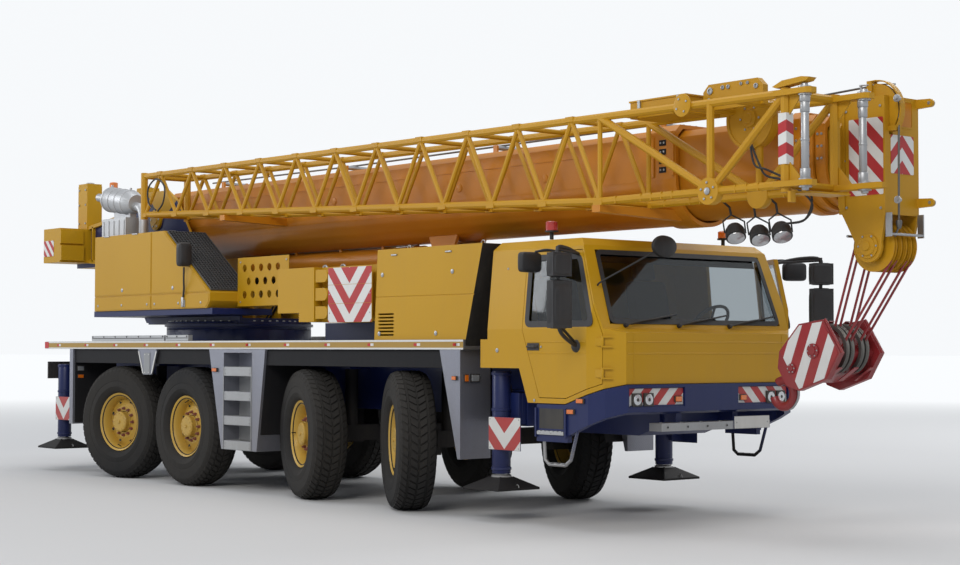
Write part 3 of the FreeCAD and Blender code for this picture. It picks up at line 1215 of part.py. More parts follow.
def crane_cab_pieces():
    """Shell with its door rails, glass, seat and the sliding door on the outside."""
    shell = crane_cab_form(0.0).cut(crane_cab_form(CRANE_CAB_WALL))
    y0, y1 = CRANE_CAB_Y
    x0, x1 = CRANE_DOOR_ENDS
    z0, z1 = CRANE_DOOR_HEIGHTS
    edge = CRANE_WINDOW_EDGE
    doorway = block(x0 + edge, x1 - edge, y1 - edge, y1 + edge, z0 + edge, z1 - edge)
    body = without(shell, [doorway] + crane_cab_windows(0.0))
    rails = []
    for z in (z0 - CRANE_DOOR_RAIL, z1):
        rails.append(block(x0 - CRANE_DOOR_STROKE - 20.0, x1 + 20.0, y1 - 1.0,
                           y1 + CRANE_DOOR_THICKNESS + PASS_GAP, z, z + CRANE_DOOR_RAIL))
    body = joined([body] + rails)
    skin = crane_cab_form(10.0).cut(crane_cab_form(16.0))
    glass = apart([s for w in crane_cab_windows(SEAT_GAP) for s in skin.common(w).Solids])
    middle = (y0 + y1) / 2
    seat = side_prism(CRANE_SEAT_SIDE, middle - CRANE_SEAT_HALF, middle + CRANE_SEAT_HALF)
    consoles = []
    for sign in (-1, 1):
        near, far = (middle + sign * edge for edge in CONSOLE_Y)
        consoles.append(block(*CONSOLE_ENDS, near, far, CRANE_CAB_FLOOR, CONSOLE_TOP))
    door_y = y1 + PASS_GAP
    leaf = block(x0, x1, door_y, door_y + CRANE_DOOR_THICKNESS - PASS_GAP, z0 + SEAT_GAP, z1 - PASS_GAP)
    pane = block(x0 + 60.0, x1 - 60.0, door_y - 10.0, door_y + CRANE_DOOR_THICKNESS + 10.0, 2450.0,
                 z1 - 70.0)
    door = without(leaf, [pane])
    return body, glass, apart([seat] + consoles), door


def boom_outline(step, extra):
    """Right half and left half of a section: flat top, upright sides, round bottom."""
    half = BOOM_WIDTH / 2 - step * BOOM_STEP + extra
    bottom = BOOM_BOTTOM + step * BOOM_STEP - extra
    top = BOOM_BOTTOM + BOOM_HEIGHT - step * BOOM_STEP + extra
    return half, bottom, top


def boom_section_solid(x0, x1, step, extra):
    """A full section between two stations, its outline grown by an extra."""
    half, bottom, top = boom_outline(step, extra)
    corner = BOOM_CORNER
    spring = bottom + half
    a = point(x0, -half, spring)
    b = point(x0, half, spring)
    edges = [
        Part.Arc(a, point(x0, 0, bottom), b).toShape(),
        Part.makeLine(b, point(x0, half, top - corner)),
        Part.makeLine(point(x0, half, top - corner), point(x0, half - corner, top)),
        Part.makeLine(point(x0, half - corner, top), point(x0, -half + corner, top)),
        Part.makeLine(point(x0, -half + corner, top), point(x0, -half, top - corner)),
        Part.makeLine(point(x0, -half, top - corner), a),
    ]
    return Part.Face(Part.Wire(edges)).extrude(point(x1 - x0, 0, 0))


def tele_front(number):
    """Front station of a telescoping section: its collar stands before the one outside it."""
    return TELE_FRONT + (number - 1) * (COLLAR_LENGTH + PASS_GAP)


def boom_section(x0, x1, step, collar_length):
    """A hollow section with a collar and slide pads at its front end."""
    body = boom_section_solid(x0, x1, step, 0.0)
    collar = boom_section_solid(x1 - collar_length, x1, step, COLLAR_RISE)
    hollow = boom_section_solid(x0 - 10.0, x1 + 10.0, step, -BOOM_PLATE)
    half, bottom, top = boom_outline(step + 1, 0.0)
    pads = []
    for sign in (-1, 1):
        side = sorted((sign * (half + SEAT_GAP), sign * (half + BOOM_STEP - BOOM_PLATE + 2.0)))
        pads.append(block(x1 - PAD_LENGTH, x1 - 10.0, side[0], side[1], top - 330.0, top - 130.0))
        cap = sorted((sign * 90.0, sign * (half - BOOM_CORNER - 20.0)))
        pads.append(block(x1 - PAD_LENGTH, x1 - 10.0, cap[0], cap[1], top + SEAT_GAP,
                          top + BOOM_STEP - BOOM_PLATE + 2.0))
    return joined([joined([body, collar]).cut(hollow)] + pads)


def boom_base():
    """Outer boom section with its pivot boss, derrick lugs and jib brackets."""
    section = boom_section(BOOM_REAR, BOOM_FRONT, 0, BASE_COLLAR_LENGTH)
    half = BOOM_WIDTH / 2
    boss = cross_rod(PIVOT_STATION, PIVOT_Z, -half - 20.0, half + 20.0, PIVOT_PIN_RADIUS + 62.0)
    web = ((PIVOT_STATION - 60.0, PIVOT_Z - 138.0), (PIVOT_STATION - 60.0, PIVOT_Z + 138.0),
           (BOOM_REAR + 260.0, BOOM_BOTTOM + BOOM_HEIGHT - 70.0), (BOOM_REAR + 260.0, BOOM_BOTTOM + 430.0))
    webs = both_sides(side_prism(web, half - BOOM_PLATE, half + 20.0))
    bore = cross_rod(PIVOT_STATION, PIVOT_Z, -half - 30.0, half + 30.0, PIVOT_PIN_RADIUS + SEAT_GAP)
    x, z = DERRICK_EYE
    y0 = DERRICK_LUG_Y
    y1 = DERRICK_LUG_Y + DERRICK_LUG_THICKNESS
    lug = side_prism(
        ((x - 260.0, BOOM_BOTTOM + 110.0), (x + 260.0, BOOM_BOTTOM + 110.0), (x + 120.0, z - 60.0),
         (x + 60.0, z - 120.0), (x - 60.0, z - 120.0), (x - 120.0, z - 60.0)), y0, y1)
    lug = lug.cut(cross_rod(x, z, y0 - 10.0, y1 + 10.0, DERRICK_PIN_RADIUS))
    inside = boom_section_solid(BOOM_REAR - 20.0, BOOM_FRONT + 20.0, 0, -BOOM_PLATE)
    seat_form = boom_section_solid(BOOM_REAR - 20.0, BOOM_FRONT + 20.0, 0, SEAT_GAP)
    lugs = [s.cut(seat_form) for s in both_sides(lug)]
    brackets = []
    for station in JIB_SUPPORTS:
        seat = jib_foot(station + 50.0) - JIB_CHORD / 2 - 2 * SEAT_GAP
        arm = front_prism(
            ((JIB_NEAR_Y - 40.0, seat), (JIB_NEAR_Y - 40.0, seat - 60.0), (-half + 190.0, seat - 95.0),
             (-half + 190.0, seat)), station - 50.0, station + 50.0)
        brackets.append(arm.cut(inside))
    solid = joined([section, boss] + webs + brackets)
    return apart([without(solid, [bore])] + lugs)


def tele_section(number):
    """Telescoping section one, two or three, drawn in."""
    rear = BOOM_REAR + number * TELE_REAR_STEP
    return boom_section(rear, tele_front(number), number, COLLAR_LENGTH)


def sheave(x, z, y, radius):
    """One grooved sheave without its bore."""
    half = SHEAVE_WIDTH / 2
    groove = radius - SHEAVE_GROOVE
    flat = ROPE_RADIUS + 1.5
    profile = ((0.0, y - half), (radius, y - half), (groove, y - flat), (groove, y + flat),
               (radius, y + half), (0.0, y + half))
    return spun(profile, x, z)


def sheave_places():
    pitch = SHEAVE_WIDTH + 30.0
    return [pitch * (i - (SHEAVE_COUNT - 1) / 2) for i in range(SHEAVE_COUNT)]


def rope_guard():
    """Curved band before the top sheave, with the feet that hold it to the head."""
    x, z = UPPER_SHEAVE
    inner = UPPER_SHEAVE_RADIUS + 20.0
    outer = inner + ROPE_GUARD_THICKNESS
    start, end = map(math.radians, ROPE_GUARD_ENDS)
    steps = 12
    turns = [start + (end - start) * i / steps for i in range(steps + 1)]
    ring = [(x + outer * math.cos(a), z + outer * math.sin(a)) for a in turns]
    ring += [(x + inner * math.cos(a), z + inner * math.sin(a)) for a in reversed(turns)]
    half = SHEAVE_WIDTH / 2 + PASS_GAP + 8.0
    y = UPPER_SHEAVE_Y
    band = side_prism(ring, y - half, y + half)
    low_z = z + inner * math.sin(start)
    high_x = x + inner * math.cos(end)
    feet = []
    for side in (-1, 1):
        y0, y1 = sorted((y + side * (half - 8.0), y + side * (half + 8.0)))
        feet.append(block(HEAD_FRONT - 20.0, x + outer * math.cos(start), y0, y1, low_z - 30.0, low_z + 12.0))
        feet.append(block(high_x - 30.0, high_x + 20.0, y0, y1, HEAD_TOP - 20.0, z + outer * math.sin(end)))
    return joined([band] + feet)


def boom_head():
    """Innermost section, head box with its cheeks, sheaves, rope guard and lugs."""
    number = TELE_COUNT + 1
    rear = BOOM_REAR + number * TELE_REAR_STEP
    front = tele_front(TELE_COUNT) + 40.0
    body = boom_section_solid(rear, front + 60.0, number, 0.0)
    hollow = boom_section_solid(rear - 10.0, front, number, -BOOM_PLATE)
    tube = body.cut(hollow)
    half = HEAD_HALF_WIDTH
    x, z = LOWER_SHEAVE
    r = LOWER_ARM_RADIUS
    side = (
        (front, HEAD_TOP - 40.0), (front + 40.0, HEAD_TOP), (HEAD_FRONT, HEAD_TOP), (HEAD_FRONT, HEAD_BOTTOM),
        (x + r * 0.98, z + r * 0.2), (x - r * 0.98, z + r * 0.2), (front + 60.0, HEAD_BOTTOM - 20.0),
        (front, HEAD_BOTTOM + 80.0),
    )
    cheek = joined([side_prism(side, half - HEAD_PLATE, half), cross_rod(x, z, half - HEAD_PLATE, half, r)])
    inside = half - 10.0
    nose = block(HEAD_FRONT - 40.0, HEAD_FRONT, -inside, inside, HEAD_BOTTOM, HEAD_TOP)
    top = block(front + 40.0, HEAD_FRONT, -inside, inside, HEAD_TOP - 40.0, HEAD_TOP)
    floor = block(front, HEAD_FRONT, -inside, inside, HEAD_BOTTOM + 20.0, HEAD_BOTTOM + 60.0)
    ux, uz = UPPER_SHEAVE
    y = UPPER_SHEAVE_Y
    reach = UPPER_SHEAVE_RADIUS + 12.0
    gap = SHEAVE_WIDTH / 2 + PASS_GAP
    slot = block(ux - reach, ux + reach, y - gap, y + gap, uz - reach, uz + reach)
    slot = slot.common(cross_rod(ux, uz, y - gap, y + gap, reach))
    box = without(joined([tube, nose, top, floor] + both_sides(cheek)), [slot])
    crown = sheave(ux, uz, y, UPPER_SHEAVE_RADIUS)
    axle = cross_rod(ux, uz, -half + 5.0, y + gap + 30.0, 38.0)
    ear = side_prism(
        ((ux - 80.0, HEAD_TOP - 10.0), (HEAD_FRONT - 10.0, HEAD_TOP - 10.0), (HEAD_FRONT - 10.0, uz - 120.0),
         (ux, uz - 90.0), (ux - 60.0, uz)), y + gap, y + gap + 22.0)
    pin = cross_rod(x, z, -half - 20.0, half + 20.0, SHEAVE_PIN_RADIUS)
    sheaves = [sheave(x, z, place, LOWER_SHEAVE_RADIUS) for place in sheave_places()]
    lugs = []
    for z_lug in LUG_HEIGHTS:
        lug = side_prism(((HEAD_FRONT - 30.0, z_lug - 40.0), (HEAD_FRONT - 30.0, z_lug + 40.0),
                          (LUG_TIP - LUG_RADIUS, z_lug + LUG_RADIUS - 1.0),
                          (LUG_TIP - LUG_RADIUS, z_lug - LUG_RADIUS + 1.0)), half - HEAD_PLATE, half)
        lugs += [lug, cross_rod(LUG_TIP - LUG_RADIUS, z_lug, half - HEAD_PLATE, half, LUG_RADIUS)]
    return joined([box, crown, axle, ear, pin, rope_guard()] + sheaves + lugs)


def rope_start(goal, sign):
    """Where a straight fall to the goal leaves its lower sheave, in front or behind."""
    centre = point(LOWER_SHEAVE[0], goal.y, LOWER_SHEAVE[1])
    reach = LOWER_SHEAVE_RADIUS - SHEAVE_GROOVE + ROPE_RADIUS + SEAT_GAP
    way = goal - centre
    heading = math.atan2(way.z, way.x) + sign * math.acos(reach / way.Length)
    return centre + point(math.cos(heading), 0, math.sin(heading)) * reach


def hook_block():
    """Hook block hanging tilted under the head on its falls of rope, with its hook."""
    x, z = HOOK_TOP
    centre = point(x, 0, z)
    l, d, w = BLOCK_LENGTH, BLOCK_DEPTH, BLOCK_HALF_WIDTH
    # cheek outline before tilting, hanging straight down from its top
    outline = (
        (x - d * 0.30, z + 20.0), (x + d * 0.30, z + 20.0), (x + d / 2, z - l * 0.35),
        (x + d * 0.36, z - l * 0.85), (x + d * 0.16, z - l), (x - d * 0.16, z - l),
        (x - d * 0.36, z - l * 0.85), (x - d / 2, z - l * 0.35),
    )
    cheeks = [side_prism(outline, sign * w, sign * (w - BLOCK_CHEEK)) for sign in (-1, 1)]
    core = side_prism(offset_outline(outline, 60.0), -w + 20.0, w - 20.0)
    shank = upright(x, 0, z - l - 130.0, z - l + 80.0, 50.0)
    bowl = point(x, 0, z - l - 130.0 - HOOK_RADIUS + 10.0)
    ring = HOOK_RADIUS - HOOK_SECTION / 2
    hook = Part.makeTorus(ring, HOOK_SECTION / 2, bowl, point(0, 1, 0), -180, 180, 285)
    hook = turned(hook, bowl, point(0, 1, 0), -90.0)
    whole = joined(cheeks + [core, shank, hook])
    whole = turned(whole, centre, point(0, 1, 0), HOOK_TILT)
    tilt = math.radians(HOOK_TILT)
    lateral = point(math.cos(tilt), 0, -math.sin(tilt))
    upward = point(math.sin(tilt), 0, math.cos(tilt))
    falls = []
    places = sheave_places()
    places.pop(SHEAVE_COUNT // 2)
    for y in places:
        for sign in (-1, 1):
            goal = point(x, y, z) + lateral * (sign * 70.0) - upward * 70.0
            falls.append(strut(rope_start(goal, sign), goal, 2 * ROPE_RADIUS))
    return joined([whole] + falls)


def derrick_angle():
    dx = DERRICK_EYE[0] - DERRICK_FOOT[0]
    dz = DERRICK_EYE[1] - DERRICK_FOOT[1]
    return math.degrees(math.atan2(dz, dx)), math.hypot(dx, dz)


def along_derrick(distance, across=0.0):
    """A point along the derrick cylinder from its foot pin."""
    angle = math.radians(derrick_angle()[0])
    return point(DERRICK_FOOT[0] + distance * math.cos(angle), across,
                 DERRICK_FOOT[1] + distance * math.sin(angle))


def derrick_barrel():
    """Barrel with its foot eye and its open front gland."""
    x, z = DERRICK_FOOT
    wide = DERRICK_LUG_Y - PASS_GAP
    eye = cross_rod(x, z, -wide, wide, DERRICK_EYE_RADIUS)
    neck = rod(along_derrick(60.0), along_derrick(300.0), DERRICK_BARREL_RADIUS - 20.0)
    body = rod(along_derrick(260.0), along_derrick(DERRICK_BARREL_LENGTH), DERRICK_BARREL_RADIUS)
    neck = neck.common(block(x - 900.0, x + 900.0, -wide, wide, z - 500.0, z + 500.0))
    hole = rod(along_derrick(420.0), along_derrick(DERRICK_BARREL_LENGTH + 10.0),
               DERRICK_ROD_RADIUS + SEAT_GAP)
    bore = cross_rod(x, z, -wide - 10.0, wide + 10.0, DERRICK_PIN_RADIUS + SEAT_GAP)
    return without(joined([eye, neck, body]), [hole, bore])


def derrick_rod():
    """Rod and its eye, whose pin is left open in the boom's lugs."""
    x, z = DERRICK_EYE
    length = derrick_angle()[1]
    wide = DERRICK_LUG_Y - PASS_GAP
    shaft = rod(along_derrick(480.0), along_derrick(length - 60.0), DERRICK_ROD_RADIUS)
    eye = cross_rod(x, z, -wide, wide, DERRICK_EYE_RADIUS)
    return joined([shaft, eye])


def jib_level(ends, station):
    share = (station - JIB_TIP) / (JIB_BASE - JIB_TIP)
    return ends[0] + (ends[1] - ends[0]) * share


def jib_top(station):
    return jib_level(JIB_TOP_ENDS, station)


def jib_foot(station):
    """The lower chord falls to the post and then runs level to the base."""
    if station > JIB_POST_STATION:
        return JIB_FOOT_ENDS[1]
    share = (station - JIB_TIP) / (JIB_POST_STATION - JIB_TIP)
    return JIB_FOOT_ENDS[0] + (JIB_FOOT_ENDS[1] - JIB_FOOT_ENDS[0]) * share


def jib():
    """Lattice jib: four chords, zigzag sides, cross members, box arm and base frame."""
    members = []
    post = JIB_POST_STATION
    pitch = (post - JIB_TIP) / JIB_BAY_COUNT
    sides = (JIB_NEAR_Y, JIB_FAR_Y)
    rear = JIB_TIP - 60.0
    for y in sides:
        crown = point(JIB_BASE, y, jib_top(JIB_BASE))
        members.append(strut(point(rear, y, jib_top(rear)), crown, JIB_CHORD))
        members.append(strut(point(rear, y, jib_foot(rear)), point(post, y, jib_foot(post)), JIB_CHORD))
        members.append(strut(point(post - 20.0, y, jib_foot(post)), point(JIB_BASE, y, jib_foot(JIB_BASE)),
                             JIB_CHORD))
        for i in range(JIB_BAY_COUNT):
            x0 = JIB_TIP + i * pitch
            middle = x0 + pitch / 2
            members.append(strut(point(x0, y, jib_foot(x0)), point(middle, y, jib_top(middle)), JIB_DIAGONAL))
            members.append(strut(point(middle, y, jib_top(middle)),
                                 point(x0 + pitch, y, jib_foot(x0 + pitch)), JIB_DIAGONAL))
        node = JIB_NODE_STATION
        members.append(strut(point(post, y, jib_foot(post)), point(post, y, jib_top(post)), JIB_DIAGONAL))
        members.append(strut(point(node, y, jib_foot(node)), point(node, y, jib_top(node)), JIB_CHORD))
        members.append(cross_rod(node, jib_foot(node), y - 36.0, y + 36.0, JIB_GUSSET_RADIUS))
        members.append(strut(point(post, y, jib_top(post)), point(node, y, jib_foot(node)), JIB_CHORD))
        members.append(strut(point(node, y, jib_foot(node)), crown, JIB_CHORD))
    for i in range(JIB_BAY_COUNT + 1):
        x = JIB_TIP + i * pitch
        members.append(strut(point(x, sides[0], jib_foot(x)), point(x, sides[1], jib_foot(x)), JIB_DIAGONAL))
        if i < JIB_BAY_COUNT:
            m = x + pitch / 2
            members.append(strut(point(m, sides[0], jib_top(m)), point(m, sides[1], jib_top(m)),
                                 JIB_DIAGONAL))
    for station in (JIB_TIP - 40.0, JIB_BASE):
        for y in sides:
            members.append(strut(point(station, y, jib_foot(station) - 60.0),
                                 point(station, y, jib_top(station) + 40.0), JIB_CHORD + 16.0))
        for z in (jib_foot(station), jib_top(station)):
            members.append(strut(point(station, sides[0], z), point(station, sides[1], z), JIB_CHORD))
    x0, x1 = JIB_BOX_ENDS
    high = jib_top(x0)
    members.append(block(x0, x1, JIB_NEAR_Y + 120.0, JIB_FAR_Y - 120.0, high - 30.0, high + 110.0))
    x2, x3 = JIB_ARM_ENDS
    middle = (JIB_NEAR_Y + JIB_FAR_Y) / 2
    low = jib_top(x3) - 10.0
    shoulder = JIB_ARM_TOP - 60.0
    members.append(side_prism(
        ((x2, low), (x2, shoulder), (x2 + 60.0, JIB_ARM_TOP), (x3 - 60.0, JIB_ARM_TOP), (x3, shoulder),
         (x3, low)), middle - 30.0, middle + 30.0))
    inset = JIB_BOX_STRUT_PART * (x1 - x0)
    for x in (x0 + inset, x1 - inset, x2 + 60.0, x3 - 60.0):
        members.append(strut(point(x, sides[0], jib_top(x)), point(x, sides[1], jib_top(x)), JIB_CHORD))
    members.append(cross_rod(JIB_DRUM[0], JIB_DRUM[1], JIB_FAR_Y - 36.0, JIB_FAR_Y + 36.0,
                             JIB_DRUM_RADIUS))
    return joined(members + jib_forks())


def jib_forks():
    """Fork plates at the jib's foot on both planes, with the upright rod between them."""
    pieces = []
    w = JIB_FORK_HALF_WIDTH
    h = JIB_FORK_HEIGHT / 2
    for y, low_tip, high_tip, rod_station in JIB_FORKS:
        for tip, z in ((low_tip, jib_foot(JIB_BASE)), (high_tip, jib_top(JIB_BASE))):
            plan = ((JIB_BASE - 80.0, y - w), (tip - w / 2, y - w), (tip, y - w / 2), (tip, y + w / 2),
                    (tip - w / 2, y + w), (JIB_BASE - 80.0, y + w))
            pieces.append(plan_prism(plan, z - h, z + h))
        pieces.append(upright(rod_station, y, jib_foot(JIB_BASE) - 5.0, jib_top(JIB_BASE) + 5.0,
                              JIB_ROD_RADIUS))
    return pieces


def all_nodes():
    """Every node by name, in place, before the shift to the file's origin."""
    nodes = {}
    nodes["chassis_frame"] = chassis_frame()
    nodes["deck"] = deck()
    nodes["mudguards"] = mudguards()
    nodes["skirt_panels"] = skirt_panels()
    nodes["axle_beams"] = apart([axle_beam(axle[1]) for axle in AXLES])
    nodes["drive_train"] = drive_train()
    nodes["engine_housing"] = engine_housing()
    nodes["ballast_slabs"] = ballast_slabs()
    shell, screen, door, pane = cab_pieces()
    nodes["cab_shell"] = shell
    nodes["cab_glass"] = screen
    nodes["cab_interior"] = cab_interior()
    nodes["bumper"] = bumper()
    nodes["door_right"] = door
    nodes["door_glass_right"] = pane
    nodes["door_left"] = parked_left(door)
    nodes["door_glass_left"] = parked_left(pane)
    tyre, rim = wheel_pair()
    upright_knuckle = knuckle()
    for name, station, right_angle, left_angle in AXLES:
        for side in ("right", "left"):
            where = (station, right_angle, left_angle, side)
            nodes["knuckle_" + name + "_" + side] = placed_at_corner(upright_knuckle, *where)
            pair = [placed_at_corner(shape, *where) for shape in (tyre, rim)]
            nodes["wheel_" + name + "_" + side] = apart(pair)
    for name, station in OUTRIGGERS:
        for side in ("right", "left"):
            shapes = outrigger_pieces(station, side)
            if side == "left":
                shapes = [mirrored(shape) for shape in shapes]
            for kind, shape in zip(("outrigger_beam", "outrigger_arm", "jack"), shapes):
                nodes[kind + "_" + name + "_" + side] = shape
    nodes["turntable"] = turntable()
    nodes["winch"] = winch()
    nodes["upper_engine_cover"] = upper_engine_cover()
    cab, glass, seat, sliding = crane_cab_pieces()
    nodes["crane_cab"] = cab
    nodes["crane_cab_glass"] = glass
    nodes["crane_cab_interior"] = seat
    nodes["crane_door"] = sliding
    nodes["boom_base"] = boom_base()
    nodes["jib"] = jib()
    for number in (1, 2, 3):
        nodes["tele_" + str(number)] = tele_section(number)
    nodes["boom_head"] = boom_head()
    nodes["hook_block"] = hook_block()
    nodes["derrick_barrel"] = derrick_barrel()
    nodes["derrick_rod"] = derrick_rod()
    return nodes


def main():
    os.makedirs("parts", exist_ok=True)
    for name, shape in all_nodes().items():
        moved = shape.copy()
        moved.translate(point(-ORIGIN_STATION, 0, 0))
        moved.exportStep("parts/" + name + ".step")


if __name__ == "__main__":
    main()
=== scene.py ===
import bpy
import bmesh
import math
import random
from mathutils import Matrix, Vector
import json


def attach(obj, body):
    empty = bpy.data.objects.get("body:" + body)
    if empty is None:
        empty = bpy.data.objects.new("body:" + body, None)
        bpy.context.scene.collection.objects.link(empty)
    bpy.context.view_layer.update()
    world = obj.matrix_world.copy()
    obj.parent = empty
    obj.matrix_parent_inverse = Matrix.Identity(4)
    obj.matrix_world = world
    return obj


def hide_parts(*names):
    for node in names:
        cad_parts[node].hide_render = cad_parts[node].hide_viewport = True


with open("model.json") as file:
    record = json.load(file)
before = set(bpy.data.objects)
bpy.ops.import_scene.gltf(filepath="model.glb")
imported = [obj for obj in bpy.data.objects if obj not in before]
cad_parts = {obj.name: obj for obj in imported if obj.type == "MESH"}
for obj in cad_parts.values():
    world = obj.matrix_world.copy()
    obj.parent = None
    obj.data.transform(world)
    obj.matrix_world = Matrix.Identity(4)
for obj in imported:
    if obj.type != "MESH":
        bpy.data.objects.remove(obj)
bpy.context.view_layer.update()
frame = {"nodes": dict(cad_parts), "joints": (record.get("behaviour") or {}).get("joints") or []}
nodes = frame["nodes"]
chance = random.Random(7)

# Stations are metres from the first axle; the frame's origin is 1.47 m behind it.
AXLE_1_X = 1.47


def at(x, y, z):
    """A point given by its station, in the part's frame."""
    return Vector((x + AXLE_1_X, y, z))


# Shader node groups, used by many materials.


def new_group(name, inputs, outputs):
    """A shader node group with named sockets, and its input and output nodes."""
    group = bpy.data.node_groups.new(name, "ShaderNodeTree")
    for label, kind, value in inputs:
        socket = group.interface.new_socket(label, in_out="INPUT", socket_type=kind)
        socket.default_value = value
    for label, kind in outputs:
        group.interface.new_socket(label, in_out="OUTPUT", socket_type=kind)
    return group, group.nodes.new("NodeGroupInput"), group.nodes.new("NodeGroupOutput")


def math_node(tree, operation, a, b=None, clamp=False):
    """One Math node; a and b are sockets or numbers."""
    node = tree.nodes.new("ShaderNodeMath")
    node.operation = operation
    node.use_clamp = clamp
    for socket, value in zip(node.inputs, (a, b)):
        if value is None:
            continue
        if isinstance(value, (int, float)):
            socket.default_value = value
        else:
            tree.links.new(value, socket)
    return node.outputs[0]


def ramp(tree, value, low, high):
    """Maps a value so that low gives 0 and high gives 1, clamped."""
    node = tree.nodes.new("ShaderNodeMapRange")
    tree.links.new(value, node.inputs["Value"])
    for label, number in (("From Min", low), ("From Max", high)):
        if isinstance(number, (int, float)):
            node.inputs[label].default_value = number
        else:
            tree.links.new(number, node.inputs[label])
    return node.outputs["Result"]


def noise(tree, where, scale, detail=4.0, roughness=0.55):
    node = tree.nodes.new("ShaderNodeTexNoise")
    tree.links.new(where, node.inputs["Vector"])
    node.inputs["Scale"].default_value = scale
    node.inputs["Detail"].default_value = detail
    node.inputs["Roughness"].default_value = roughness
    return node.outputs["Fac"]


def place_of(tree, stretch=(1.0, 1.0, 1.0)):
    """Position in the object's own coordinates, stretched."""
    coords = tree.nodes.new("ShaderNodeTexCoord")
    mapping = tree.nodes.new("ShaderNodeMapping")
    mapping.inputs["Scale"].default_value = stretch
    tree.links.new(coords.outputs["Object"], mapping.inputs["Vector"])
    return mapping.outputs["Vector"]


def part_of(tree, vector, axis):
    node = tree.nodes.new("ShaderNodeSeparateXYZ")
    tree.links.new(vector, node.inputs[0])
    return node.outputs[axis]


def grime_group():
    """Road dirt: patchy everywhere, thick near the ground, thin and streaked up high."""
    group, source, sink = new_group(
        "RoadGrime",
        (("Amount", "NodeSocketFloat", 0.5), ("Height", "NodeSocketFloat", 1.2)),
        (("Mask", "NodeSocketFloat"),))
    tree = group
    where = place_of(tree)
    low = math_node(tree, "SUBTRACT", 1.0, ramp(tree, part_of(tree, where, "Z"), 0.1, source.outputs["Height"]))
    patches = noise(tree, where, 2.3, 6.0, 0.62)
    fine = noise(tree, where, 21.0, 4.0, 0.6)
    streaks = noise(tree, place_of(tree, (5.5, 5.5, 0.35)), 2.2, 5.0, 0.6)
    mix = math_node(tree, "ADD", math_node(tree, "MULTIPLY", patches, 0.55), math_node(tree, "MULTIPLY", fine, 0.2))
    mix = math_node(tree, "ADD", mix, math_node(tree, "MULTIPLY", streaks, 0.5))
    near = math_node(tree, "ADD", mix, math_node(tree, "MULTIPLY", low, 0.55))
    raised = ramp(tree, near, 0.62, 1.25)
    tree.links.new(math_node(tree, "MULTIPLY", raised, source.outputs["Amount"], True), sink.inputs["Mask"])
    return group


def wear_group():
    """Worn edges and small chips, found by how a bevelled normal leaves the face's own."""
    group, source, sink = new_group(
        "EdgeWear",
        (("Amount", "NodeSocketFloat", 0.5), ("Width", "NodeSocketFloat", 0.004)),
        (("Mask", "NodeSocketFloat"),))
    tree = group
    bevel = tree.nodes.new("ShaderNodeBevel")
    bevel.samples = 4
    tree.links.new(source.outputs["Width"], bevel.inputs["Radius"])
    geometry = tree.nodes.new("ShaderNodeNewGeometry")
    dot = tree.nodes.new("ShaderNodeVectorMath")
    dot.operation = "DOT_PRODUCT"
    tree.links.new(bevel.outputs["Normal"], dot.inputs[0])
    tree.links.new(geometry.outputs["Normal"], dot.inputs[1])
    edge = ramp(tree, dot.outputs["Value"], 0.99, 0.8)
    where = place_of(tree)
    broken = ramp(tree, noise(tree, where, 9.0, 8.0, 0.7), 0.5, 0.62)
    chips = ramp(tree, noise(tree, where, 34.0, 3.0, 0.5), 0.73, 0.76)
    mask = math_node(tree, "MAXIMUM", math_node(tree, "MULTIPLY", edge, broken), math_node(tree, "MULTIPLY", chips, 0.4))
    tree.links.new(math_node(tree, "MULTIPLY", mask, source.outputs["Amount"], True), sink.inputs["Mask"])
    return group


def tint_group():
    """Colour variation of painted or moulded surfaces, from broad fading to fine speckle."""
    group, source, sink = new_group(
        "ShadeVariation",
        (("Color", "NodeSocketColor", (0.8, 0.8, 0.8, 1.0)), ("Darker", "NodeSocketColor", (0.5, 0.5, 0.5, 1.0)),
         ("Amount", "NodeSocketFloat", 0.4)),
        (("Color", "NodeSocketColor"), ("Fleck", "NodeSocketFloat")))
    tree = group
    where = place_of(tree)
    broad = noise(tree, where, 0.7, 3.0, 0.5)
    fine = noise(tree, where, 60.0, 2.0, 0.5)
    blend = math_node(tree, "ADD", math_node(tree, "MULTIPLY", ramp(tree, broad, 0.35, 0.75), 0.75),
                      math_node(tree, "MULTIPLY", fine, 0.25))
    factor = math_node(tree, "MULTIPLY", blend, source.outputs["Amount"], True)
    mix = tree.nodes.new("ShaderNodeMix")
    mix.data_type = "RGBA"
    tree.links.new(factor, mix.inputs["Factor"])
    tree.links.new(source.outputs["Color"], mix.inputs["A"])
    tree.links.new(source.outputs["Darker"], mix.inputs["B"])
    tree.links.new(mix.outputs["Result"], sink.inputs["Color"])
    tree.links.new(fine, sink.inputs["Fleck"])
    return group


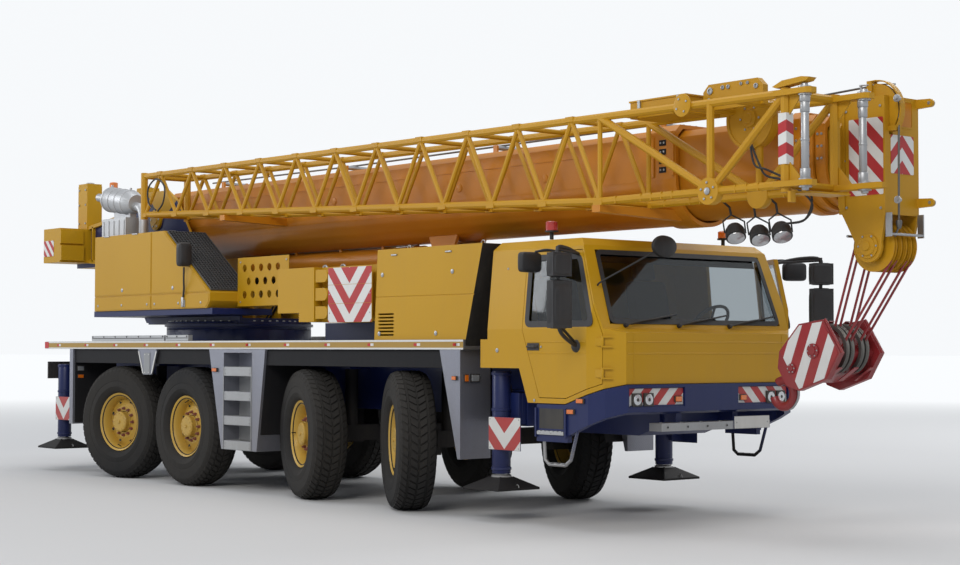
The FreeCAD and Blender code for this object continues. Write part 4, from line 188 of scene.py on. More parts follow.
def chequer_group():
    """Chequer plate: short raised bars in alternating directions, as height."""
    group, source, sink = new_group(
        "ChequerBars", (("Pitch", "NodeSocketFloat", 0.028),), (("Height", "NodeSocketFloat"),))
    tree = group
    where = place_of(tree)
    # on a side face X and Z run over the plate, on a deck X and Y do
    normal = tree.nodes.new("ShaderNodeNewGeometry").outputs["True Normal"]
    flat = ramp(tree, math_node(tree, "ABSOLUTE", part_of(tree, normal, "Z")), 0.5, 0.51)
    facing = ramp(tree, math_node(tree, "ABSOLUTE", part_of(tree, normal, "X")), 0.5, 0.51)
    x, y, z = (part_of(tree, where, axis) for axis in "XYZ")
    across = math_node(tree, "ADD", math_node(tree, "MULTIPLY", x, math_node(tree, "SUBTRACT", 1.0, facing)),
                       math_node(tree, "MULTIPLY", y, facing))
    along = math_node(tree, "ADD", math_node(tree, "MULTIPLY", z, math_node(tree, "SUBTRACT", 1.0, flat)),
                      math_node(tree, "MULTIPLY", y, flat))
    u = math_node(tree, "DIVIDE", across, source.outputs["Pitch"])
    v = math_node(tree, "DIVIDE", along, source.outputs["Pitch"])
    heights = []
    for shift in (0.0, 0.5):
        a = math_node(tree, "ADD", u, shift)
        b = math_node(tree, "ADD", v, shift)
        pu = math_node(tree, "SUBTRACT", math_node(tree, "FRACT", a), 0.5)
        pv = math_node(tree, "SUBTRACT", math_node(tree, "FRACT", b), 0.5)
        sign = 1.0 if shift else -1.0
        lean = math_node(tree, "ADD", pu, math_node(tree, "MULTIPLY", pv, sign))
        length = math_node(tree, "SUBTRACT", pu, math_node(tree, "MULTIPLY", pv, sign))
        long_way = math_node(tree, "MULTIPLY", length, length)
        short_way = math_node(tree, "MULTIPLY", math_node(tree, "MULTIPLY", lean, lean), 14.0)
        heights.append(ramp(tree, math_node(tree, "ADD", long_way, short_way), 0.34, 0.14))
    tree.links.new(math_node(tree, "MAXIMUM", heights[0], heights[1]), sink.inputs["Height"])
    return group


def stripe_group():
    """Slanting stripes across a board, by two axes and a pitch, as a mask."""
    group, source, sink = new_group(
        "WarningStripes",
        (("Along", "NodeSocketVector", (1.0, 0.0, 1.0)), ("Mirror", "NodeSocketVector", (0.0, 0.0, 0.0)),
         ("Middle", "NodeSocketFloat", 0.0), ("Pitch", "NodeSocketFloat", 0.2), ("Shift", "NodeSocketFloat", 0.0)),
        (("Mask", "NodeSocketFloat"),))
    tree = group
    where = place_of(tree)
    sums = []
    for label in ("Along", "Mirror"):
        dot = tree.nodes.new("ShaderNodeVectorMath")
        dot.operation = "DOT_PRODUCT"
        tree.links.new(where, dot.inputs[0])
        tree.links.new(source.outputs[label], dot.inputs[1])
        sums.append(dot.outputs["Value"])
    folded = math_node(tree, "ABSOLUTE", math_node(tree, "SUBTRACT", sums[1], source.outputs["Middle"]))
    run = math_node(tree, "ADD", math_node(tree, "ADD", sums[0], folded), source.outputs["Shift"])
    cycle = math_node(tree, "FRACT", math_node(tree, "DIVIDE", run, source.outputs["Pitch"]))
    tree.links.new(math_node(tree, "GREATER_THAN", cycle, 0.5), sink.inputs["Mask"])
    return group


GRIME = grime_group()
WEAR = wear_group()
TINT = tint_group()
CHEQUER = chequer_group()
STRIPES = stripe_group()

DUST = (0.20, 0.17, 0.13, 1.0)


def use_group(tree, group, **values):
    node = tree.nodes.new("ShaderNodeGroup")
    node.node_tree = group
    for label, value in values.items():
        node.inputs[label.replace("_", " ")].default_value = value
    return node


def mixed(tree, factor, a, b):
    """A colour mix; a and b are sockets or colours."""
    mix = tree.nodes.new("ShaderNodeMix")
    mix.data_type = "RGBA"
    tree.links.new(factor, mix.inputs["Factor"])
    for label, value in (("A", a), ("B", b)):
        if isinstance(value, tuple):
            mix.inputs[label].default_value = value
        else:
            tree.links.new(value, mix.inputs[label])
    return mix.outputs["Result"]


def surface(name, color, darker=None, rough=0.45, metallic=0.0, coat=0.0, vary=0.4, dirt=0.4, dirt_height=1.2,
            wear=0.0, wear_width=0.004, bare=(0.30, 0.28, 0.26, 1.0), bump=0.15, bump_scale=180.0,
            chequer=0.0, stripes=None, specular=0.5, dust=DUST):
    """A finish made of shade variation, optional stripes, worn edges, dirt and a fine grain."""
    material = bpy.data.materials.new(name)
    material.use_nodes = True
    tree = material.node_tree
    shader = tree.nodes["Principled BSDF"]
    shader.inputs["Metallic"].default_value = metallic
    shader.inputs["Coat Weight"].default_value = coat
    shader.inputs["Coat Roughness"].default_value = 0.12
    shader.inputs["Specular IOR Level"].default_value = specular
    base = color + (1.0,)
    deep = (darker if darker else tuple(c * 0.72 for c in color)) + (1.0,)
    shade = use_group(tree, TINT, Color=base, Darker=deep, Amount=vary)
    paint = shade.outputs["Color"]
    if stripes:
        other, along, mirror, middle, pitch, shift = stripes
        band = use_group(tree, STRIPES, Along=along, Mirror=mirror, Middle=middle, Pitch=pitch, Shift=shift)
        paint = mixed(tree, band.outputs["Mask"], paint, other + (1.0,))
    roughness = math_node(tree, "ADD", rough, math_node(tree, "MULTIPLY", shade.outputs["Fleck"], 0.08))
    if wear:
        worn = use_group(tree, WEAR, Amount=wear, Width=wear_width)
        paint = mixed(tree, worn.outputs["Mask"], paint, bare)
    if dirt:
        grime = use_group(tree, GRIME, Amount=dirt, Height=dirt_height)
        paint = mixed(tree, grime.outputs["Mask"], paint, dust)
        roughness = math_node(tree, "ADD", roughness, math_node(tree, "MULTIPLY", grime.outputs["Mask"], 0.35), True)
    tree.links.new(paint, shader.inputs["Base Color"])
    tree.links.new(roughness, shader.inputs["Roughness"])
    where = place_of(tree)
    height = math_node(tree, "MULTIPLY", noise(tree, where, bump_scale, 3.0, 0.5), bump)
    if chequer:
        bars = use_group(tree, CHEQUER, Pitch=chequer)
        height = math_node(tree, "ADD", height, bars.outputs["Height"])
    bumped = tree.nodes.new("ShaderNodeBump")
    bumped.inputs["Strength"].default_value = 0.5 if chequer else 0.35
    bumped.inputs["Distance"].default_value = 0.003 if chequer else 0.0015
    tree.links.new(height, bumped.inputs["Height"])
    tree.links.new(bumped.outputs["Normal"], shader.inputs["Normal"])
    return material


def glass(name, color, alpha_rough=0.02, tint=0.35):
    """Tinted glass that lets the inside show."""
    material = bpy.data.materials.new(name)
    material.use_nodes = True
    tree = material.node_tree
    shader = tree.nodes["Principled BSDF"]
    shader.inputs["Base Color"].default_value = color + (1.0,)
    shader.inputs["Roughness"].default_value = alpha_rough
    shader.inputs["Transmission Weight"].default_value = 1.0
    shader.inputs["IOR"].default_value = 1.45
    grime = use_group(tree, GRIME, Amount=tint, Height=1.4)
    rough = math_node(tree, "ADD", math_node(tree, "MULTIPLY", grime.outputs["Mask"], 0.25), alpha_rough)
    tree.links.new(rough, shader.inputs["Roughness"])
    return material


YELLOW = (0.53, 0.292, 0.009)
YELLOW_DEEP = (0.415, 0.218, 0.006)
NAVY = (0.008, 0.017, 0.095)

paint_yellow = surface("crane_yellow", YELLOW, YELLOW_DEEP, rough=0.40, coat=0.06, vary=0.45, dirt=0.12, dirt_height=1.7,
                       wear=0.5, bare=(0.25, 0.17, 0.08, 1.0), specular=0.25)
paint_boom = surface("boom_orange", (0.57, 0.215, 0.010), (0.41, 0.145, 0.007), rough=0.36, coat=0.10, vary=0.55, dirt=0.12,
                     dirt_height=1.6, wear=0.6, bare=(0.22, 0.14, 0.07, 1.0), specular=0.3)
paint_jib = surface("jib_yellow", (0.53, 0.276, 0.010), (0.39, 0.191, 0.007), rough=0.42, coat=0.05, vary=0.5, dirt=0.12,
                    dirt_height=1.6, wear=0.6, bare=(0.22, 0.14, 0.07, 1.0), specular=0.25)
paint_navy = surface("navy_paint", NAVY, (0.005, 0.010, 0.050), rough=0.36, coat=0.12, vary=0.5, dirt=0.07, dirt_height=1.3,
                     wear=0.35, bare=(0.2, 0.18, 0.16, 1.0), specular=0.3)
# Black for mudguards, jack pads and interiors; also painted shade on the far side's stirrup under the cab.
black_guards_and_shade = surface("black_guards_and_shade", (0.010, 0.010, 0.012), (0.016, 0.016, 0.018), rough=0.62, vary=0.5, dirt=0.06,
                      dirt_height=1.5, bump=0.5, bump_scale=260.0, specular=0.2)
underbody = surface("underbody", (0.018, 0.018, 0.022), (0.032, 0.028, 0.025), rough=0.6, vary=0.6, dirt=0.25,
                    dirt_height=1.2, bump=0.6, bump_scale=90.0, specular=0.3)
deck_plate = surface("deck_plate", (0.24, 0.24, 0.25), (0.13, 0.13, 0.13), rough=0.42, metallic=0.7, vary=0.6, dirt=0.4,
                     dirt_height=2.2, chequer=0.034)
skirt_plate = surface("skirt_plate", (0.31, 0.32, 0.37), (0.16, 0.165, 0.20), rough=0.38, metallic=0.75, vary=0.6,
                      dirt=0.35, dirt_height=1.4, chequer=0.030)
rubber = surface("tyre_rubber", (0.010, 0.0105, 0.012), (0.019, 0.0185, 0.018), rough=0.75, vary=0.6, dirt=0.09,
                 dirt_height=0.9, bump=0.6, bump_scale=140.0, specular=0.25)
chrome = surface("chrome_rod", (0.62, 0.62, 0.63), (0.45, 0.45, 0.46), rough=0.16, metallic=1.0, vary=0.3, dirt=0.08,
                 bump=0.02)
hook_paint = surface("hook_red", (0.26, 0.010, 0.015), (0.15, 0.008, 0.011), rough=0.42, coat=0.2, vary=0.5, dirt=0.22,
                     dirt_height=1.8, wear=0.5)
window_glass = glass("window_glass", (0.30, 0.34, 0.36))

LOOKS = {
    "chassis_frame": paint_navy, "deck": deck_plate, "mudguards": black_guards_and_shade, "skirt_panels": skirt_plate,
    "axle_beams": underbody, "drive_train": underbody, "engine_housing": paint_yellow, "ballast_slabs": paint_yellow,
    "cab_shell": paint_yellow, "cab_glass": window_glass, "cab_interior": black_guards_and_shade, "bumper": paint_navy,
    "door_right": paint_yellow, "door_left": paint_yellow, "door_glass_right": window_glass,
    "door_glass_left": window_glass, "turntable": paint_navy, "winch": underbody, "upper_engine_cover": paint_yellow,
    "crane_cab": paint_yellow, "crane_cab_glass": window_glass, "crane_cab_interior": black_guards_and_shade,
    "crane_door": paint_yellow, "boom_base": paint_boom, "jib": paint_jib, "tele_1": paint_boom,
    "tele_2": paint_boom, "tele_3": paint_boom, "boom_head": paint_jib, "hook_block": hook_paint,
    "derrick_barrel": paint_boom, "derrick_rod": chrome,
}


def look_of(name):
    if name in LOOKS:
        return LOOKS[name]
    if name.startswith("wheel_"):
        return rubber
    if name.startswith("knuckle_"):
        return underbody
    return paint_navy


def dress(node, material, bevel):
    """Gives a CAD node its material, welded and slightly rounded edges."""
    mesh = node.data
    mesh.materials.clear()
    mesh.materials.append(material)
    weld = node.modifiers.new("weld", "WELD")
    weld.merge_threshold = 0.00005
    if bevel:
        flat = node.modifiers.new("merge_flat", "DECIMATE")
        flat.decimate_type = "DISSOLVE"
        flat.angle_limit = math.radians(1.0)
        rounded = node.modifiers.new("edges", "BEVEL")
        rounded.width = bevel
        rounded.segments = 2
        rounded.limit_method = "ANGLE"
        rounded.angle_limit = math.radians(32.0)
        rounded.harden_normals = True
        rounded.use_clamp_overlap = True


for name, node in nodes.items():
    dress(node, look_of(name), 0.0 if "glass" in name or name.startswith("wheel_") else 0.004)

# Mesh forms.


def loft(bm, rings, finish=0, caps=True, wrap=False):
    """Joins rings of points with faces, one ring to the next."""
    rows = [[bm.verts.new(p) for p in ring] for ring in rings]
    count = len(rings[0])
    pairs = list(zip(rows, rows[1:]))
    if wrap:
        pairs.append((rows[-1], rows[0]))
    for a, b in pairs:
        for i in range(count):
            j = (i + 1) % count
            bm.faces.new((a[i], a[j], b[j], b[i])).material_index = finish
    if caps and not wrap:
        for row in (rows[0], rows[-1]):
            bm.faces.new(row).material_index = finish


def add_box(bm, low, high, finish=0):
    (x0, y0, z0), (x1, y1, z1) = low, high
    ring = [(x0, y0), (x1, y0), (x1, y1), (x0, y1)]
    loft(bm, [[Vector((x, y, z)) for x, y in ring] for z in (z0, z1)], finish)


def add_prism(bm, outline, way, finish=0):
    """A flat outline of points carried along a vector."""
    way = Vector(way)
    loft(bm, [list(map(Vector, outline)), [Vector(p) + way for p in outline]], finish)


def ring_around(centre, axis, radius, steps, start=0.0):
    axis = Vector(axis).normalized()
    side = axis.orthogonal().normalized()
    up = axis.cross(side)
    turn = [start + 2 * math.pi * i / steps for i in range(steps)]
    return [Vector(centre) + (side * math.cos(a) + up * math.sin(a)) * radius for a in turn]


def add_lathe(bm, profile, centre, axis, steps=32, finish=0, wrap=False):
    """A profile of (radius, distance along the axis) spun about the axis."""
    axis = Vector(axis).normalized()
    rings = [ring_around(Vector(centre) + axis * t, axis, max(r, 1e-5), steps) for r, t in profile]
    loft(bm, rings, finish, not wrap, wrap)


def add_rod(bm, start, end, radius, steps=12, finish=0):
    way = Vector(end) - Vector(start)
    add_lathe(bm, ((radius, 0.0), (radius, way.length)), start, way, steps, finish)


def smooth_path(points, per=6):
    """Catmull-Rom points through the given ones."""
    pts = [Vector(p) for p in points]
    ends = [pts[0] * 2 - pts[1]] + pts + [pts[-1] * 2 - pts[-2]]
    path = []
    for a, b, c, d in zip(ends, ends[1:], ends[2:], ends[3:]):
        for i in range(per):
            t = i / per
            path.append(0.5 * ((2 * b) + (c - a) * t + (2 * a - 5 * b + 4 * c - d) * t * t
                               + (3 * b - a - 3 * c + d) * t ** 3))
    return path + [pts[-1]]


def add_tube(bm, points, radius, steps=10, finish=0, wrap=False):
    """A round tube along a line of points, mitred at the corners."""
    pts = [Vector(p) for p in points]
    last = len(pts) - 1
    rings = []
    side = None
    for i, p in enumerate(pts):
        before = pts[i - 1] if i or wrap else p
        after = pts[(i + 1) % len(pts)] if i < last or wrap else p
        way = ((p - before).normalized() + (after - p).normalized()).normalized()
        side = way.orthogonal() if side is None else side - way * side.dot(way)
        side.normalize()
        up = way.cross(side)
        rings.append([p + (side * math.cos(a) + up * math.sin(a)) * radius
                      for a in (2 * math.pi * k / steps for k in range(steps))])
    loft(bm, rings, finish, not wrap, wrap)


def add_panel(bm, corners, thickness, finish=0, round_by=0.0, steps=4):
    """A flat plate from its corner points, with rounded corners, thickened along its normal."""
    pts = [Vector(p) for p in corners]
    if round_by:
        soft = []
        for before, p, after in zip(pts[-1:] + pts[:-1], pts, pts[1:] + pts[:1]):
            a = p + (before - p).normalized() * round_by
            b = p + (after - p).normalized() * round_by
            soft += [(1 - t) ** 2 * a + 2 * t * (1 - t) * p + t * t * b for t in (k / steps for k in range(steps + 1))]
        pts = soft
    normal = Vector((0, 0, 0))
    for a, b in zip(pts, pts[1:] + pts[:1]):
        normal += a.cross(b)
    add_prism(bm, pts, normal.normalized() * thickness, finish)
    return normal.normalized()


def add_bolts(bm, places, way, radius=0.012, height=0.012, finish=0):
    """Hexagon heads at several places, standing along a direction."""
    for place in places:
        add_lathe(bm, ((radius, 0.0), (radius, height * 0.8), (radius * 0.85, height)), place, way, 6, finish)


def mesh_from(bm, materials, smooth=34.0):
    """A mesh with outward faces and edges sharp where they turn by more than an angle."""
    bmesh.ops.remove_doubles(bm, verts=bm.verts, dist=0.00003)
    bmesh.ops.recalc_face_normals(bm, faces=bm.faces)
    mesh = bpy.data.meshes.new("form")
    bm.to_mesh(mesh)
    bm.free()
    for material in materials:
        mesh.materials.append(material)
    mesh.shade_smooth()
    mesh.set_sharp_from_angle(angle=math.radians(smooth))
    return mesh


def bevelled(obj, width, segments=2):
    rounded = obj.modifiers.new("edges", "BEVEL")
    rounded.width = width
    rounded.segments = segments
    rounded.limit_method = "ANGLE"
    rounded.angle_limit = math.radians(32.0)
    rounded.harden_normals = True


def place_piece(name, mesh, body, matrix=None, bevel=0.0, replaces=()):
    """Links a mesh as a named piece and lets it ride on a body."""
    obj = bpy.data.objects.new(name, mesh)
    bpy.context.scene.collection.objects.link(obj)
    if matrix is not None:
        obj.matrix_world = matrix
    if bevel:
        bevelled(obj, bevel)
    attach(obj, body)
    if replaces:
        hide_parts(*replaces)
    return obj


def piece(name, bm, body, *materials, bevel=0.0, smooth=34.0, replaces=(), slot=None):
    return place_piece(name, mesh_from(bm, materials, smooth), body, None, bevel, replaces)


def recolour(node, material, low, high):
    """Gives the faces of a CAD node whose centres lie in a box another material."""
    mesh = nodes[node].data
    mesh.materials.append(material)
    index = len(mesh.materials) - 1
    for face in mesh.polygons:
        if all(a <= c <= b for a, c, b in zip(low, face.center, high)):
            face.material_index = index


# Wheels.

WHEEL_RADIUS = 0.680
TREAD_BLOCKS = 54
rim_yellow = surface("rim_yellow", (0.68, 0.41, 0.018), (0.46, 0.255, 0.010), rough=0.42, coat=0.10, vary=0.6, dirt=0.32,
                     dirt_height=1.6, wear=0.7, bare=(0.18, 0.10, 0.05, 1.0))
nut_red = surface("nut_red", (0.28, 0.035, 0.02), (0.12, 0.03, 0.02), rough=0.5, vary=0.8, dirt=0.3, wear=0.6)
# Flat black without dirt: painted shade in the rims' hand holes and the treads' grip holes, which are not cut, and the
# colour of small black parts.
hole_shade_and_black = surface("hole_shade_and_black", (0.008, 0.008, 0.008), rough=0.8, dirt=0.0, vary=0.1)


def tread_block(bm, row, slot_number):
    """One tread block: a skewed pad standing on the carcass."""
    middle, width, outer = row
    step = 2 * math.pi / TREAD_BLOCKS
    stagger = 0.5 if abs(middle) < 0.06 else 0.0
    skew = 0.30 * step * (1 if middle > 0 else -1)
    base = []
    top = []
    for du, dv in ((-0.5, -0.5), (0.5, -0.5), (0.5, 0.5), (-0.5, 0.5)):
        for ring, shrink, lift in ((base, 1.0, 0.662), (top, 0.90, 0.0)):
            y = middle + dv * width * shrink
            angle = (slot_number + stagger + du * 0.80 * shrink) * step + skew * dv * 2 * shrink
            radius = lift or (WHEEL_RADIUS - 0.0005 - max(0.0, abs(y) - 0.115) * outer)
            if lift and abs(y) > 0.15:
                radius = 0.640
            ring.append(Vector((math.cos(angle) * radius, y, math.sin(angle) * radius)))
    loft(bm, [base, top])


def tyre_mesh():
    bm = bmesh.new()
    half = ((0.664, 0.0), (0.664, 0.118), (0.652, 0.150), (0.636, 0.168), (0.610, 0.1795), (0.604, 0.1795),
            (0.600, 0.1835), (0.560, 0.1865), (0.500, 0.1872), (0.494, 0.1840), (0.486, 0.1872), (0.440, 0.1855),
            (0.432, 0.1875), (0.424, 0.1830), (0.395, 0.172), (0.372, 0.150), (0.362, 0.134), (0.356, 0.128),
            (0.318, 0.126))
    profile = [(r, -y) for r, y in reversed(half)] + list(half[1:])
    add_lathe(bm, profile, (0, 0, 0), (0, 1, 0), 108, wrap=True)
    rows = ((-0.134, 0.060, 0.55), (-0.044, 0.074, 0.0), (0.044, 0.074, 0.0), (0.134, 0.060, 0.55))
    for row in rows:
        for k in range(TREAD_BLOCKS):
            tread_block(bm, row, k)
    # short shoulder lugs that run down the upper sidewall
    for k in range(TREAD_BLOCKS):
        for side in (-1, 1):
            angle = 2 * math.pi * k / TREAD_BLOCKS
            rings = []
            for r, y, w in ((0.655, 0.150, 0.020), (0.630, 0.1745, 0.018), (0.606, 0.1830, 0.012)):
                tangent = Vector((-math.sin(angle), 0, math.cos(angle)))
                out = Vector((math.cos(angle), 0, math.sin(angle)))
                deep = Vector((0, -side * 0.012, 0))
                face = out * r + Vector((0, side * y, 0))
                rings.append([face - tangent * w, face + tangent * w, face + tangent * w + deep, face - tangent * w + deep])
            loft(bm, rings)
    return mesh_from(bm, (rubber,), 28.0)


def rim_mesh():
    """Deep-dished rim with hand holes, hub with its cap and bolts, and the ring of nuts; outboard is -Y."""
    bm = bmesh.new()
    barrel = ((0.349, -0.140), (0.352, -0.134), (0.350, -0.127), (0.330, -0.124), (0.320, -0.112), (0.316, -0.08),
              (0.300, 0.0), (0.316, 0.08), (0.330, 0.124), (0.352, 0.130), (0.350, 0.140), (0.338, 0.140),
              (0.322, 0.128), (0.306, 0.09), (0.288, 0.0), (0.296, -0.055), (0.305, -0.09), (0.318, -0.116),
              (0.334, -0.133))
    add_lathe(bm, barrel, (0, 0, 0), (0, 1, 0), 72, wrap=True)
    disc = ((0.293, -0.006), (0.275, -0.014), (0.215, -0.038), (0.196, -0.052), (0.130, -0.058), (0.130, -0.040),
            (0.190, -0.036), (0.270, 0.004), (0.292, 0.010))
    add_lathe(bm, disc, (0, 0, 0), (0, 1, 0), 72, wrap=True)
    hub = ((0.0, 0.055), (0.11, 0.055), (0.122, 0.0), (0.122, -0.060), (0.116, -0.070), (0.116, -0.108),
           (0.120, -0.112), (0.120, -0.126), (0.108, -0.137), (0.060, -0.139), (0.0, -0.139))
    add_lathe(bm, hub, (0, 0, 0), (0, 1, 0), 48)
    for k in range(8):
        angle = 2 * math.pi * (k + 0.5) / 8
        place = Vector((math.cos(angle) * 0.244, -0.030, math.sin(angle) * 0.244))
        way = Vector((math.cos(angle) * -0.37, -1.0, math.sin(angle) * -0.37)).normalized()
        add_lathe(bm, ((0.023, -0.002), (0.024, 0.004), (0.020, 0.005), (0.020, -0.001)), place, way, 20, 0, True)
        # a dark disc closes each hand hole: painted shade where the hole is not cut
        add_lathe(bm, ((0.0205, -0.0015), (0.0205, 0.0022)), place, way, 20, 2)
    for k in range(12):
        angle = 2 * math.pi * k / 12
        place = Vector((math.cos(angle) * 0.162, -0.054, math.sin(angle) * 0.162))
        add_lathe(bm, ((0.021, 0.0), (0.021, 0.006), (0.016, 0.007), (0.016, 0.026), (0.013, 0.030)), place,
                  (0, -1, 0), 6, 1)
        add_lathe(bm, ((0.009, 0.028), (0.009, 0.042)), place, (0, -1, 0), 8, 1)
        cap = Vector((math.cos(angle) * 0.096, -0.1365, math.sin(angle) * 0.096))
        add_bolts(bm, [cap], (0, -1, 0), 0.0065, 0.005, 0)
    add_lathe(bm, ((0.020, 0.0), (0.018, 0.012), (0.0, 0.013)), (0, -0.138, 0), (0, -1, 0), 16, 0)
    add_tube(bm, [(0.0, -0.10, 0.30), (0.0, -0.125, 0.285), (0.0, -0.150, 0.272)], 0.006, 8, 2)
    return mesh_from(bm, (rim_yellow, nut_red, hole_shade_and_black), 30.0)


def add_wheels():
    tyre, rim = tyre_mesh(), rim_mesh()
    flip = Matrix.Diagonal((1.0, -1.0, 1.0, 1.0))
    far_rim = rim.copy()
    far_rim.transform(flip)
    far_rim.flip_normals()
    for joint in frame["joints"]:
        if not joint["name"].startswith("spin_"):
            continue
        tag = joint["name"][5:]
        centre, axis = Vector(joint["pos_m"]), Vector(joint["axis"])
        turn = math.atan2(-axis.x, axis.y)
        matrix = Matrix.Translation(centre) @ Matrix.Rotation(turn, 4, "Z")
        rolled = matrix @ Matrix.Rotation(chance.randrange(4) * math.pi / 2, 4, "Y")
        place_piece("tyre_" + tag, tyre, "wheel_" + tag, rolled, replaces=("wheel_" + tag,))
        place_piece("rim_" + tag, rim if tag.endswith("right") else far_rim, "wheel_" + tag, rolled)


add_wheels()

# Carrier cab.

# Black for seals, trims and lamp bodies; also painted shade on the step wells, the sheet under the cover's grating and
# the housing's face in the gap behind the cab.
black_seals_and_shade = surface("black_seals_and_shade", (0.014, 0.014, 0.015), (0.022, 0.022, 0.022), rough=0.55, dirt=0.25, dirt_height=2.0,
                     bump=0.2)
mirror_black = surface("mirror_black", (0.016, 0.016, 0.018), (0.026, 0.026, 0.028), rough=0.5, vary=0.4, dirt=0.2,
                       dirt_height=2.0, bump=0.5, bump_scale=420.0)
bare_steel = surface("galvanised_steel", (0.42, 0.43, 0.44), (0.26, 0.26, 0.27), rough=0.38, metallic=0.85, vary=0.7,
                     dirt=0.35, dirt_height=1.5, wear=0.2)
board_white = surface("board_white", (0.72, 0.72, 0.70), (0.55, 0.55, 0.53), rough=0.35, vary=0.3, dirt=0.4,
                      dirt_height=1.6)
board_red = surface("board_red", (0.50, 0.012, 0.015), (0.32, 0.010, 0.012), rough=0.35, vary=0.3, dirt=0.35,
                    dirt_height=1.6)
lens_clear = surface("lens_clear", (0.62, 0.64, 0.66), (0.40, 0.42, 0.44), rough=0.12, coat=0.8, metallic=0.6, vary=0.5,
                     dirt=0.15, bump=0.8, bump_scale=90.0)
lens_orange = surface("lens_orange", (0.75, 0.17, 0.01), (0.5, 0.10, 0.01), rough=0.2, coat=0.7, vary=0.3, dirt=0.15,
                      bump=0.6, bump_scale=150.0)
lens_red = surface("lens_red", (0.45, 0.012, 0.008), (0.25, 0.008, 0.006), rough=0.2, coat=0.7, vary=0.3, dirt=0.15,
                   bump=0.6, bump_scale=150.0)
plate_white = surface("plate_white", (0.60, 0.60, 0.58), (0.46, 0.46, 0.44), rough=0.4, vary=0.3, dirt=0.3)
seat_cloth = surface("seat_cloth", (0.030, 0.032, 0.040), (0.018, 0.018, 0.022), rough=0.9, vary=0.6, dirt=0.0, bump=0.9,
                     bump_scale=520.0, specular=0.2)
dash_grey = surface("dash_grey", (0.05, 0.052, 0.055), (0.034, 0.034, 0.036), rough=0.65, vary=0.3, dirt=0.05, bump=0.7,
                    bump_scale=300.0)

# the cab's outer outlines, half of each, as the solids have them
CAB_FRONT = ((1.250, 1.000), (1.250, 1.750), (1.178, 2.470), (1.110, 2.560))
SCREEN_SLOPE = ((2.578, 2.480), (2.845, 1.750))


def cab_half_width(z):
    """Half the cab's outer width at a height."""
    for (y0, z0), (y1, z1) in zip(CAB_FRONT, CAB_FRONT[1:]):
        if z0 <= z <= z1:
            return y0 + (y1 - y0) * (z - z0) / (z1 - z0)
    return CAB_FRONT[-1][0]


def screen_point(y, z, out=0.0):
    """A point on the windscreen's plane, moved outwards."""
    (x0, z0), (x1, z1) = SCREEN_SLOPE
    x = x0 + (x1 - x0) * (z - z0) / (z1 - z0)
    way = Vector((z0 - z1, 0, x1 - x0)).normalized()
    return at(x, y, z) + way * out


def add_frame_strip(bm, corners, width, thickness, finish=0, round_by=0.04, lift=0.0):
    """A flat border inside a closed outline of points lying in one plane."""
    pts = [Vector(p) for p in corners]
    soft, inner = [], []
    centre = sum(pts, Vector()) / len(pts)
    normal = Vector()
    for a, b in zip(pts, pts[1:] + pts[:1]):
        normal += a.cross(b)
    normal.normalize()
    for before, p, after in zip(pts[-1:] + pts[:-1], pts, pts[1:] + pts[:1]):
        a_way, b_way = (before - p).normalized(), (after - p).normalized()
        a, b = p + a_way * round_by, p + b_way * round_by
        half = math.acos(max(-1.0, min(1.0, a_way.dot(b_way)))) / 2
        inward = (a_way + b_way).normalized()
        q = p + inward * (width / math.sin(half))
        shrink = max(0.004, round_by - width)
        c, d = q + a_way * shrink, q + b_way * shrink
        for k in range(6):
            t = k / 5
            soft.append((1 - t) ** 2 * a + 2 * t * (1 - t) * p + t * t * b)
            inner.append((1 - t) ** 2 * c + 2 * t * (1 - t) * q + t * t * d)
    if (centre - soft[0]).length < (centre - inner[0]).length:
        soft, inner = inner, soft
    loft(bm, [[p + normal * lift for p in soft], [p + normal * (lift + thickness) for p in soft],
              [p + normal * (lift + thickness) for p in inner], [p + normal * lift for p in inner]], finish, wrap=True)


def add_wiper(bm, y, z, reach, lean):
    """One parked wiper: spindle, arm and blade lying on the screen."""
    foot = screen_point(y, z, 0.030)
    tip = screen_point(y + reach, z + lean, 0.030)
    add_lathe(bm, ((0.020, 0.0), (0.020, 0.030), (0.012, 0.036)), screen_point(y, z, 0.0),
              screen_point(y, z, 1.0) - screen_point(y, z, 0.0), 12)
    middle = (foot + tip) / 2
    add_tube(bm, [foot, middle + Vector((0.004, 0, 0.006)), tip], 0.008, 8)
    along = (tip - foot).normalized()
    for k in (-1, 1):
        add_rod(bm, tip, tip + along * (k * 0.28) - (screen_point(0, z, 1.0) - screen_point(0, z, 0.0)) * 0.008, 0.0055, 8)
    start, end = tip - along * 0.30, tip + along * 0.30
    normal = (screen_point(0, z, 1.0) - screen_point(0, z, 0.0)).normalized()
    low = -normal * 0.022
    add_prism(bm, [start, end, end + low, start + low], along.cross(normal) * 0.007)


